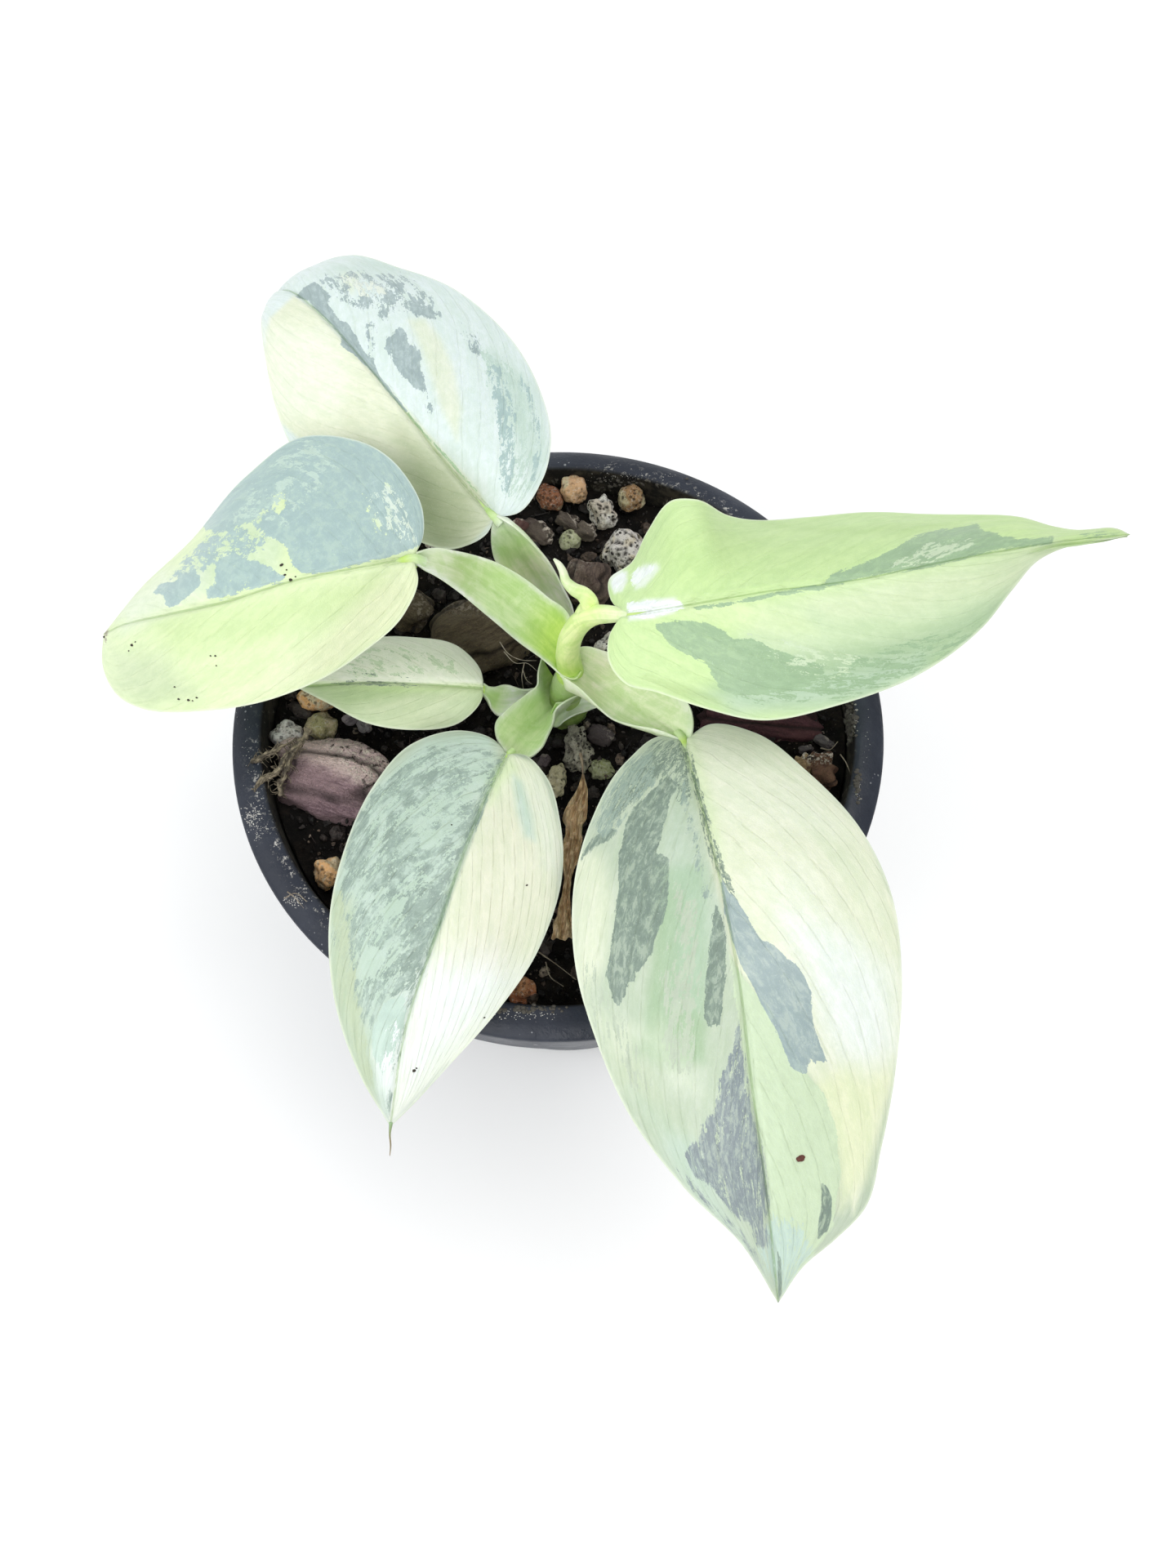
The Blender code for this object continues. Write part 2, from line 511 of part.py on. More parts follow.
def pocket(piece, holder):
    """A copy of a seated piece that is larger by the gap all round."""
    made = add_object(piece.name + "_pocket", piece.data.copy(), holder)
    made.location = piece.location
    made.rotation_euler = piece.rotation_euler
    made.scale = [1 + 2 * GAP * MM / length for length in piece.dimensions]
    return made


def chunk(name, centre, size, turn, finish, holder, box, rough, seed):
    """A broken lump: a round or boxy body with seeded bumps."""
    shape = bmesh.new()
    bmesh.ops.create_icosphere(shape, subdivisions=2, radius=1.0)
    for vertex in shape.verts:
        way = vertex.co.normalized()
        boxy = (abs(way.x)**box + abs(way.y)**box + abs(way.z)**box)**(-1 / box)
        bump = 1 + rough * noise.noise(way * 1.7 + Vector((seed * 3.1, 0, 0)))
        vertex.co = Vector([way[axis] * boxy * bump * size[axis] / 2 * MM for axis in range(3)])
    mesh = bpy.data.meshes.new(name)
    shape.to_mesh(mesh)
    shape.free()
    made = add_object(name, mesh, holder, finish)
    x, y = centre
    made.location = Vector((x, y, mix_height(x, y) + STANDING_OUT * size[2])) * MM
    made.rotation_euler = (0, 0, math.radians(turn))
    bpy.context.view_layer.update()
    return smooth(made, 55)


def build_loose_pieces(holder):
    """The pumice stones and the bark chips that lie half sunk in the mix."""
    pieces = []
    for seed, (name, centre, size, turn, colour) in enumerate(PUMICE):
        finish = material(name, colour, 0.95)
        pieces.append(chunk(name, centre, size, turn, finish, holder, PUMICE_BOX, PUMICE_ROUGH, seed))
    for seed, (name, centre, size, turn, colour) in enumerate(BARK, len(PUMICE)):
        finish = material(name, colour, 0.85)
        pieces.append(chunk(name, centre, size, turn, finish, holder, BARK_BOX, BARK_ROUGH, seed))
    return pieces


def build_stem(holder):
    """The short stem, from its foot in the mix to the crown."""
    stem = tube("stem", STEM_LINE, STEM_RADII, holder, rings=12)
    stem.data.materials.append(material("stem", STEM_GREEN, 0.45))
    return smooth(stem)


def stem_clearance(name, holder, foot_gap=0.0):
    """The room round the stem that the mix and the stalks leave, also above its top."""
    top = np.asarray(STEM_LINE[-1], float)
    line = [np.asarray(STEM_LINE[0], float) - (0, 0, foot_gap), *STEM_LINE[1:], top + (0, 0, CROWN_REACH)]
    radii = [radius + GAP for radius in (*STEM_RADII, STEM_RADII[-1])]
    return tube(name, line, radii, holder, rings=16)


def build_leaf(leaf, holder):
    """One whole leaf: blade and stalk joined, cut back round the stem unless it stands on it."""
    made = blade(leaf, holder)
    parts = [ridge(leaf, holder)]
    on_top = leaf.name == LEAVES[0].name
    if on_top:
        parts.append(channel("sheath_tip", SHEATH_TIP, (0.2, -1.0, 0.3), holder, rings=10))
    boolean(made, parts, "UNION", "MANIFOLD" if on_top else "EXACT")
    if not on_top:
        boolean(made, [stem_clearance("clearance", holder)], "DIFFERENCE")
    made.data.materials.clear()
    made.data.materials.append(material(leaf.name, leaf.colour, 0.35))
    return smooth(made)


def build_husk(holder):
    """The dry papery husk, a curled strip."""
    rows = 9
    columns = 4
    fractions = np.linspace(0, 1, rows)
    run = smooth_line(np.column_stack((HUSK_LINE, HUSK_WIDTHS)), fractions)
    points = []
    for x, y, z, width in run:
        for column in range(columns + 1):
            t = 2 * column / columns - 1
            points.append((x + t * width / 2, y, z + HUSK_CURL * t * t))
    wide = columns + 1
    faces = [(r * wide + c, r * wide + c + 1, (r + 1) * wide + c + 1, (r + 1) * wide + c)
             for r in range(rows - 1) for c in range(columns)]
    mesh = mesh_from("dry_husk", points, faces, outward=False)
    husk = add_object("dry_husk", mesh, holder, material("dry_husk", DRY_BROWN, 0.8))
    shell = husk.modifiers.new("thickness", "SOLIDIFY")
    shell.thickness = HUSK_THICKNESS * MM
    shell.offset = 1.0
    return smooth(applied(husk))


def build_roots(holder):
    """The cluster of dry roots at the left wall."""
    strands = [tube(f"root_{n}", line, [ROOT_RADIUS] * len(line), holder, rings=9, sides=1)
               for n, line in enumerate(ROOT_LINES)]
    cluster = strands[0]
    cluster.name = "dry_roots"
    boolean(cluster, strands[1:], "UNION")
    cluster.data.materials.clear()
    cluster.data.materials.append(material("dry_roots", DRY_BROWN, 0.9))
    return smooth(cluster)


def main():
    """Builds every piece in a fresh scene."""
    for old in list(bpy.data.objects):
        bpy.data.objects.remove(old)
    holder = collection(NAME)
    build_pot(holder)
    build_stem(holder)
    for leaf in LEAVES:
        build_leaf(leaf, holder)
    seated = build_loose_pieces(holder)
    build_mix(holder, seated, stem_clearance("socket", holder, foot_gap=GAP))
    build_husk(holder)
    build_roots(holder)


main()
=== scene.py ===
"""Looks of a young variegated philodendron hastatum in a round black nursery pot.

Lengths are in millimetres until a mesh is made, and every piece lies in the part's own frame: +Z up, the
origin under the pot's middle, -Y towards the two long leaves. Markings are outlined where the photograph
shows them, in its pixels, and each leaf's points look up where the photograph's camera saw them.
"""

import logging
import math
from dataclasses import dataclass, field
from enum import Enum
from functools import reduce

import bmesh
import bpy
import numpy as np
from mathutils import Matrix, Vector, noise


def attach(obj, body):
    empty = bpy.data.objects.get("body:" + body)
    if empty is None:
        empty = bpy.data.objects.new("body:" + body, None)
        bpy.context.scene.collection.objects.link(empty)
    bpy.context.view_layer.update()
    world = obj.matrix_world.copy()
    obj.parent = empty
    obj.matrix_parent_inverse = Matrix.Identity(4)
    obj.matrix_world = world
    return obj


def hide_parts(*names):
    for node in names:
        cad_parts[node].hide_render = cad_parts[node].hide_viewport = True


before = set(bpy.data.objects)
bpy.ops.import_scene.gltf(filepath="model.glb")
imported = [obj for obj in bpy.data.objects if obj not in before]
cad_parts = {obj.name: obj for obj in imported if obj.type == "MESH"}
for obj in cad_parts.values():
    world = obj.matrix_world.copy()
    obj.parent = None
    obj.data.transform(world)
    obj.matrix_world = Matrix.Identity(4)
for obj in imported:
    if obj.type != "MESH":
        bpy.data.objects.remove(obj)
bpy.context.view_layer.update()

MM = 0.001
BODY = "root"
LOG = logging.getLogger("philodendron")
Socket = bpy.types.NodeSocket


# Numbers and lines


def smooth_line(points, fractions) -> np.ndarray:
    """Points at fractions of the length of a smooth line through the given ones.

    Args:
        points: the line's control points; values after x, y and z are carried along.
        fractions: places along the line, from 0 to 1.

    Returns:
        One row for each fraction.
    """
    points = np.asarray(points, float)
    steps = np.linalg.norm(np.diff(points[:, :3], axis=0), axis=1)
    along = np.concatenate(([0.0], np.cumsum(steps))) / steps.sum()
    slopes = np.gradient(points, along, axis=0)
    fractions = np.asarray(fractions, float)
    first = np.clip(np.searchsorted(along, fractions, side="right") - 1, 0, len(points) - 2)
    span = (along[first + 1] - along[first])[:, None]
    u = (fractions - along[first])[:, None] / span
    return ((2 * u**3 - 3 * u**2 + 1) * points[first] + (u**3 - 2 * u**2 + u) * span * slopes[first]
            + (3 * u**2 - 2 * u**3) * points[first + 1] + (u**3 - u**2) * span * slopes[first + 1])


def run_length(line: np.ndarray) -> np.ndarray:
    """How far along the line each of its points lies."""
    return np.concatenate(([0], np.cumsum(np.linalg.norm(np.diff(line, axis=0), axis=1))))


def unit(vectors: np.ndarray) -> np.ndarray:
    """The same directions with length 1."""
    return vectors / np.maximum(np.linalg.norm(vectors, axis=-1, keepdims=True), 1e-9)


def ease(value: np.ndarray) -> np.ndarray:
    """A smooth step from 0 to 1 as the value goes from 0 to 1."""
    value = np.clip(value, 0.0, 1.0)
    return value * value * (3 - 2 * value)


def bell(value: np.ndarray, width: float) -> np.ndarray:
    """A smooth hump: 1 where the value is 0, and near 0 beyond twice the width."""
    return np.exp(-(value / width)**2)


class Lumps:
    """Smooth seeded bumps over space, from a table of random heights."""

    ENTRIES = 4096
    PRIMES = (73856093, 19349663, 83492791)

    def __init__(self, seed: int) -> None:
        """Fills the table."""
        self.table = np.random.default_rng(seed).uniform(-1, 1, self.ENTRIES)

    def at(self, points: np.ndarray, size: float) -> np.ndarray:
        """Heights of the bumps.

        Args:
            points: where, one row for each point.
            size: about how wide a bump is.

        Returns:
            A height from -1 to 1 for each point.
        """
        place = np.asarray(points, float) / size
        base = np.floor(place).astype(np.int64)
        u = ease(place - base)
        total = np.zeros(len(place))
        for corner in range(8):
            step = np.array([corner & 1, corner >> 1 & 1, corner >> 2 & 1])
            key = np.bitwise_xor.reduce((base + step) * self.PRIMES, axis=1)
            weight = np.prod(np.where(step, u, 1 - u), axis=1)
            total += weight * self.table[key & (self.ENTRIES - 1)]
        return total


def add_object(name: str, data: bpy.types.ID) -> bpy.types.Object:
    """Makes an object in the scene, at the origin.

    Args:
        name: its name.
        data: its mesh, light or camera.

    Returns:
        The object.
    """
    made = bpy.data.objects.new(name, data)
    bpy.context.scene.collection.objects.link(made)
    return made


@dataclass(frozen=True)
class PhotoView:
    """The camera that took the photograph, in the part's frame."""

    place: tuple = (4.6, -80.4, 252.3)
    pitch: float = math.radians(67.21)     # below the horizon, towards +Y
    focal: float = 1450.0                  # pixels
    centre: tuple = (720.0, 960.0)
    long_side: float = 1920.0
    sensor: float = 36.0
    nearest: float = 0.01                  # metres

    def ways(self) -> tuple:
        """The directions ahead of it and up in its picture."""
        low, high = math.cos(self.pitch), math.sin(self.pitch)
        return (0.0, low, -high), (0.0, high, low)

    def seen(self, points: np.ndarray) -> np.ndarray:
        """The photograph's pixel for each point, in millimetres."""
        away = np.asarray(points, float) - self.place
        ahead, up = (away @ way for way in self.ways())
        return np.stack([self.centre[0] + self.focal * away[:, 0] / ahead,
                         self.centre[1] - self.focal * up / ahead], axis=1)

    def lifted(self, spots) -> np.ndarray:
        """Carries spots of the photograph into the part's frame.

        Args:
            spots: x and y in pixels and a height in millimetres, for each.

        Returns:
            A point in millimetres for each.
        """
        u, v, z = np.asarray(spots, float).T
        ahead, up = self.ways()
        way = (np.outer(np.ones(len(u)), ahead) + np.outer((u - self.centre[0]) / self.focal, (1.0, 0.0, 0.0))
               - np.outer((v - self.centre[1]) / self.focal, up))
        return self.place + way * ((z - self.place[2]) / way[:, 2])[:, None]

    def build(self) -> None:
        """Makes the scene's camera."""
        data = bpy.data.cameras.new("photo_view")
        data.sensor_width = self.sensor
        data.lens = self.focal * self.sensor / self.long_side
        data.clip_start = self.nearest
        camera = add_object("photo_view", data)
        camera.location = Vector(self.place) * MM
        camera.rotation_euler = (math.pi / 2 - self.pitch, 0, 0)
        bpy.context.scene.camera = camera


VIEW = PhotoView()


# Colours


class Tone(Enum):
    """The plant's colours, with tones for painted shadow and painted highlights, as linear red, green and
    blue.
    """

    CREAM = (0.73, 0.775, 0.60)
    BUTTER = (0.75, 0.80, 0.54)
    IVORY = (0.76, 0.82, 0.72)
    FROST = (0.68, 0.78, 0.755)
    PALE_LIME = (0.68, 0.80, 0.47)
    LIME = (0.57, 0.75, 0.36)
    DEEP_LIME = (0.40, 0.60, 0.19)
    CELERY = (0.57, 0.69, 0.48)
    SAGE = (0.315, 0.465, 0.275)
    PALE_SAGE = (0.455, 0.53, 0.41)
    PALE_FERN = (0.49, 0.575, 0.445)
    MINT = (0.50, 0.64, 0.56)
    MIST = (0.37, 0.505, 0.49)
    FERN = (0.30, 0.395, 0.34)
    MOSS = (0.46, 0.55, 0.38)
    # painted shadow: the shade that leaf_left casts on leaf_back_left
    SHADE = (0.36, 0.42, 0.25)
    MILK = (0.82, 0.86, 0.72)
    # the white of the painted highlights: the lamps' glare on the blades
    CHALK = (0.83, 0.88, 0.86)
    SLATE = (0.195, 0.265, 0.215)
    SLATE_BLUE = (0.325, 0.415, 0.415)
    STEEL = (0.235, 0.285, 0.30)
    OLIVE = (0.22, 0.34, 0.07)
    CROWN = (0.50, 0.72, 0.14)
    REED = (0.45, 0.575, 0.275)
    SHOOT = (0.76, 0.92, 0.38)
    PINK = (0.62, 0.58, 0.46)
    DRY = (0.26, 0.20, 0.12)


def toward(tint: np.ndarray, tone: Tone, share: np.ndarray) -> np.ndarray:
    """The tints moved towards a tone, by a share for each."""
    return tint + (np.array(tone.value) - tint) * share[:, None]


# Node trees


class Graph:
    """A node tree in the making, with short calls for the nodes that the finishes share."""

    def __init__(self, tree: bpy.types.NodeTree) -> None:
        """Keeps the tree."""
        self.tree = tree

    def feed(self, node: bpy.types.Node, inputs: dict) -> bpy.types.Node:
        """Links or sets inputs of a node.

        Args:
            node: the node.
            inputs: sockets or values, by the input's name or number.

        Returns:
            The node.
        """
        for name, value in inputs.items():
            if isinstance(value, Socket):
                self.tree.links.new(value, node.inputs[name])
            else:
                node.inputs[name].default_value = value
        return node

    def node(self, kind: str, inputs: dict | None = None, **settings) -> bpy.types.Node:
        """Adds a node.

        Args:
            kind: Blender's name for the node.
            inputs: sockets or values, by the input's name or number.
            settings: the node's own properties.

        Returns:
            The node.
        """
        made = self.tree.nodes.new(kind)
        for name, value in settings.items():
            setattr(made, name, value)
        return self.feed(made, inputs or {})

    def math(self, operation: str, *values, clamp: bool = False) -> Socket:
        """The result of a Math node."""
        inputs = dict(enumerate(values))
        return self.node("ShaderNodeMath", inputs, operation=operation, use_clamp=clamp).outputs[0]

    def times(self, *values) -> Socket:
        """The product of the values."""
        return reduce(lambda product, value: self.math("MULTIPLY", product, value), values)

    def sloped(self, value, slope, start) -> Socket:
        """The value times a slope, from a start."""
        return self.math("MULTIPLY_ADD", value, slope, start)

    def centred(self, value) -> Socket:
        """The value less a half."""
        return self.math("SUBTRACT", value, 0.5)

    def scaled(self, vector, by) -> Socket:
        """The vector times a number."""
        return self.node("ShaderNodeVectorMath", {0: vector, "Scale": by}, operation="SCALE").outputs[0]

    def mix(self, share, first, second, blend: str = "MIX") -> Socket:
        """A colour between two others."""
        first, second = ((*c, 1.0) if isinstance(c, tuple) and len(c) == 3 else c for c in (first, second))
        inputs = {0: share, 6: first, 7: second}
        return self.node("ShaderNodeMix", inputs, data_type="RGBA", blend_type=blend).outputs[2]

    def shaded(self, colour, by, share=1.0) -> Socket:
        """The colour multiplied by another, by a share."""
        return self.mix(share, colour, by, "MULTIPLY")

    def span(self, value, low: float, high: float, to_low: float = 0.0, to_high: float = 1.0) -> Socket:
        """The value carried smoothly from one range to another."""
        inputs = {0: value, 1: low, 2: high, 3: to_low, 4: to_high}
        return self.node("ShaderNodeMapRange", inputs, interpolation_type="SMOOTHSTEP").outputs[0]

    def stretch(self, vector, scale: tuple = (1, 1, 1), turn: float = 0.0, shift: float = 0.0) -> Socket:
        """The vector scaled along each axis, after a turn about Z, and moved along X."""
        inputs = {"Vector": vector, "Location": (shift, 0, 0), "Rotation": (0, 0, turn), "Scale": scale}
        return self.node("ShaderNodeMapping", inputs).outputs[0]

    def noise(self, vector, scale, detail: float = 2.0, rough: float = 0.5, warp: float = 0.0) -> Socket:
        """A cloudy value about 0.5.

        Args:
            vector: where.
            scale: clouds in a unit of length, or one number for each axis.
            detail: how many finer layers lie on them.
            rough: how strong those are.
            warp: how much it is distorted.

        Returns:
            The value.
        """
        if isinstance(scale, tuple):
            vector, scale = self.stretch(vector, scale), 1.0
        return self.node("ShaderNodeTexNoise", {"Vector": vector, "Scale": scale, "Detail": detail,
                                                "Roughness": rough, "Distortion": warp}).outputs[0]

    def cells(self, vector, scale: float, **settings) -> dict:
        """The outputs of a pattern of cells."""
        return self.node("ShaderNodeTexVoronoi", {"Vector": vector, "Scale": scale}, **settings).outputs

    def attribute(self, name: str, output: str = "Fac") -> Socket:
        """A value that the mesh carries."""
        return self.node("ShaderNodeAttribute", attribute_name=name).outputs[output]

    def place(self) -> Socket:
        """The point's place in its object."""
        return self.node("ShaderNodeTexCoord").outputs["Object"]

    def veins(self) -> Socket:
        """The point's place in the UV map veins."""
        return self.node("ShaderNodeUVMap", uv_map="veins").outputs[0]

    def first(self, colour) -> Socket:
        """The red part of a colour."""
        return self.node("ShaderNodeSeparateColor", {0: colour}).outputs[0]

    def bump(self, height, distance: float, strength: float) -> Socket:
        """A normal bent by a height, in metres for a height of 1."""
        inputs = {"Height": height, "Distance": distance, "Strength": strength}
        return self.node("ShaderNodeBump", inputs).outputs[0]

    def chance(self, seed: int, low, high) -> Socket:
        """A random value for each point.

        Args:
            seed: of the draw.
            low: the least value, a number or a vector.
            high: the most.

        Returns:
            The value.
        """
        vector = isinstance(high, tuple)
        first = 0 if vector else 2
        made = self.node("FunctionNodeRandomValue", data_type="FLOAT_VECTOR" if vector else "FLOAT")
        return self.feed(made, {first: low, first + 1: high, "Seed": seed}).outputs[0 if vector else 1]


class Group:
    """A shader node group with named inputs and outputs."""

    def __init__(self, name: str, inputs: dict, outputs: list) -> None:
        """Makes the group's sockets.

        Args:
            name: the group's name.
            inputs: each input's kind of socket and its value, by name.
            outputs: each output's kind of socket and its name.
        """
        self.tree = bpy.data.node_groups.new(name, "ShaderNodeTree")
        face = self.tree.interface
        for label, (kind, value) in inputs.items():
            socket = face.new_socket(label, in_out="INPUT", socket_type="NodeSocket" + kind)
            if value is not None:
                socket.default_value = value
        for kind, label in outputs:
            face.new_socket(label, in_out="OUTPUT", socket_type="NodeSocket" + kind)
        self.graph = Graph(self.tree)
        self.given = self.tree.nodes.new("NodeGroupInput").outputs
        self.result = self.tree.nodes.new("NodeGroupOutput")

    def give(self, outputs: dict) -> "Group":
        """Links sockets to the group's outputs, by name."""
        self.graph.feed(self.result, outputs)
        return self

    def placed(self, graph: Graph, inputs: dict) -> dict:
        """Places the group in a graph with these inputs and gives its outputs."""
        return graph.node("ShaderNodeGroup", inputs, node_tree=self.tree).outputs


def vein_flow() -> Group:
    """The flow of a leaf's skin along its veins: ragged noise, streaks, grain for the painted glints and the
    lines of the veins.

    Its vector runs in millimetres, across the veins first and along them second; the third parts the halves.

    Returns:
        The group.
    """
    group = Group("vein_flow",
                  {"Vector": ("Vector", None), "Spacing": ("Float", 2.4), "Blot": ("Float", 1.0)},
                  [("Float", name) for name in ("Ragged", "Streak", "Sector", "Camo", "Vein", "Grain")])
    g, vector = group.graph, group.given["Vector"]
    large = g.scaled(vector, group.given["Blot"])
    broad = g.noise(large, (0.80, 0.36, 1.0), 3.0, 0.6, 0.4)
    block = g.first(g.cells(g.stretch(vector, (1.9, 0.60, 1.0)), 1.0, distance="CHEBYCHEV")["Color"])
    crumb = g.noise(vector, (3.2, 1.6, 1.0), 3.0, 0.65)
    chip = g.noise(vector, (7.0, 3.8, 1.0), 2.0, 0.6)
    fine = g.sloped(g.centred(chip), 1.7, g.times(g.centred(crumb), 2.2))
    ragged = g.sloped(g.centred(broad), 3.4, g.sloped(g.centred(block), 1.1, fine))
    cloud = g.sloped(block, 0.10, g.noise(large, (1.15, 0.72, 1.0), 4.0, 0.72, 0.5))
    steps = [g.span(cloud, edge - 0.006, edge + 0.006, 0.0, 1 / 3) for edge in (0.485, 0.56, 0.625)]
    across = g.node("ShaderNodeSeparateXYZ", {0: vector}).outputs[0]
    wobble = g.noise(vector, (0.22, 0.05, 1.0), 3.0, 0.55)
    phase = g.sloped(wobble, 1.3, g.math("DIVIDE", across, group.given["Spacing"]))
    line = g.math("ABSOLUTE", g.centred(g.math("FRACT", phase)))
    dash = g.span(g.noise(vector, (2.2, 0.42, 1.0), 3.0, 0.7), 0.40, 0.56, 0.15, 1.0)
    return group.give({
        "Ragged": ragged,
        "Camo": g.math("ADD", steps[0], g.math("ADD", steps[1], steps[2])),
        "Streak": g.noise(vector, (3.6, 0.22, 1.0), 3.0, 0.6),
        "Sector": g.noise(vector, (0.62, 0.075, 1.0), 3.0, 0.55, 0.3),
        "Vein": g.times(g.span(line, 0.075, 0.0), dash),
        "Grain": g.noise(vector, 5.5, 2.0, 0.7)})


def ragged_coat() -> Group:
    """One colour laid over another where the mesh's field and the ragged noise together are above zero."""
    group = Group("ragged_coat", {
        "Under": ("Color", None), "Tone": ("Color", None), "Field": ("Float", -2.0), "Ragged": ("Float", 0.0),
        "Streak": ("Float", 0.5), "Camo": ("Float", 0.0), "Mottle": ("Float", 0.5)}, [("Color", "Color")])
    g, given = group.graph, group.given
    mask = g.span(g.math("ADD", given["Field"], given["Ragged"]), -0.045, 0.045)
    vary = g.sloped(given["Mottle"], 0.34, 0.04)
    shade = g.times(g.span(given["Streak"], 0.3, 0.7, 0.98, 1.02),
                    g.sloped(g.math("SUBTRACT", given["Camo"], 0.45), vary, 1.0))
    thin = g.times(g.math("POWER", given["Camo"], 2.0), given["Mottle"])
    toned = g.mix(thin, g.scaled(given["Tone"], shade), given["Under"])
    return group.give({"Color": g.mix(mask, given["Under"], toned)})


def dusting() -> Group:
    """Specks of dust: a mask of small irregular spots in drifts."""
    group = Group("dusting", {"Vector": ("Vector", None), "Size": ("Float", 900.0), "Drift": ("Float", 90.0),
                              "Amount": ("Float", 0.5)}, [("Float", "Mask")])
    g, given = group.graph, group.given
    spots = g.cells(given["Vector"], given["Size"])
    reach = g.times(g.span(g.noise(given["Vector"], given["Drift"], 3.0), 0.45, 0.75), given["Amount"])
    near = g.math("SUBTRACT", g.times(reach, g.first(spots["Color"])), spots["Distance"])
    return group.give({"Mask": g.span(near, 0.0, 0.12)})


FLOW, COAT, DUST = vein_flow(), ragged_coat(), dusting()


# Finishes


@dataclass(frozen=True)
class Finish:
    """A material; each kind of finish says what its Principled BSDF is given."""

    name: str

    def sockets(self, g: Graph) -> dict:
        """The shader's links and values, by socket."""
        raise NotImplementedError

    def build(self) -> bpy.types.Material:
        """Makes the material."""
        made = bpy.data.materials.new(self.name)
        made.use_nodes = True
        g = Graph(made.node_tree)
        g.feed(made.node_tree.nodes["Principled BSDF"], self.sockets(g))
        return made


MOTTLED = {Tone.SLATE: 0.42, Tone.FERN: 0.70, Tone.STEEL: 0.42, Tone.SLATE_BLUE: 0.18, Tone.MIST: 0.12,
           Tone.SAGE: 0.12, Tone.CHALK: 0.25}
PLAIN_MOTTLE = 0.15
FLESH = {"Subsurface Weight": 0.12, "Subsurface Radius": (1.0, 1.0, 0.5), "Subsurface Scale": 0.0008,
         "Coat Weight": 0.18, "Coat Roughness": 0.26, "Sheen Weight": 0.06, "Sheen Roughness": 0.5}
PAPER = {"Subsurface Weight": 0.25, "Subsurface Radius": (1.0, 0.6, 0.3), "Subsurface Scale": 0.0006}


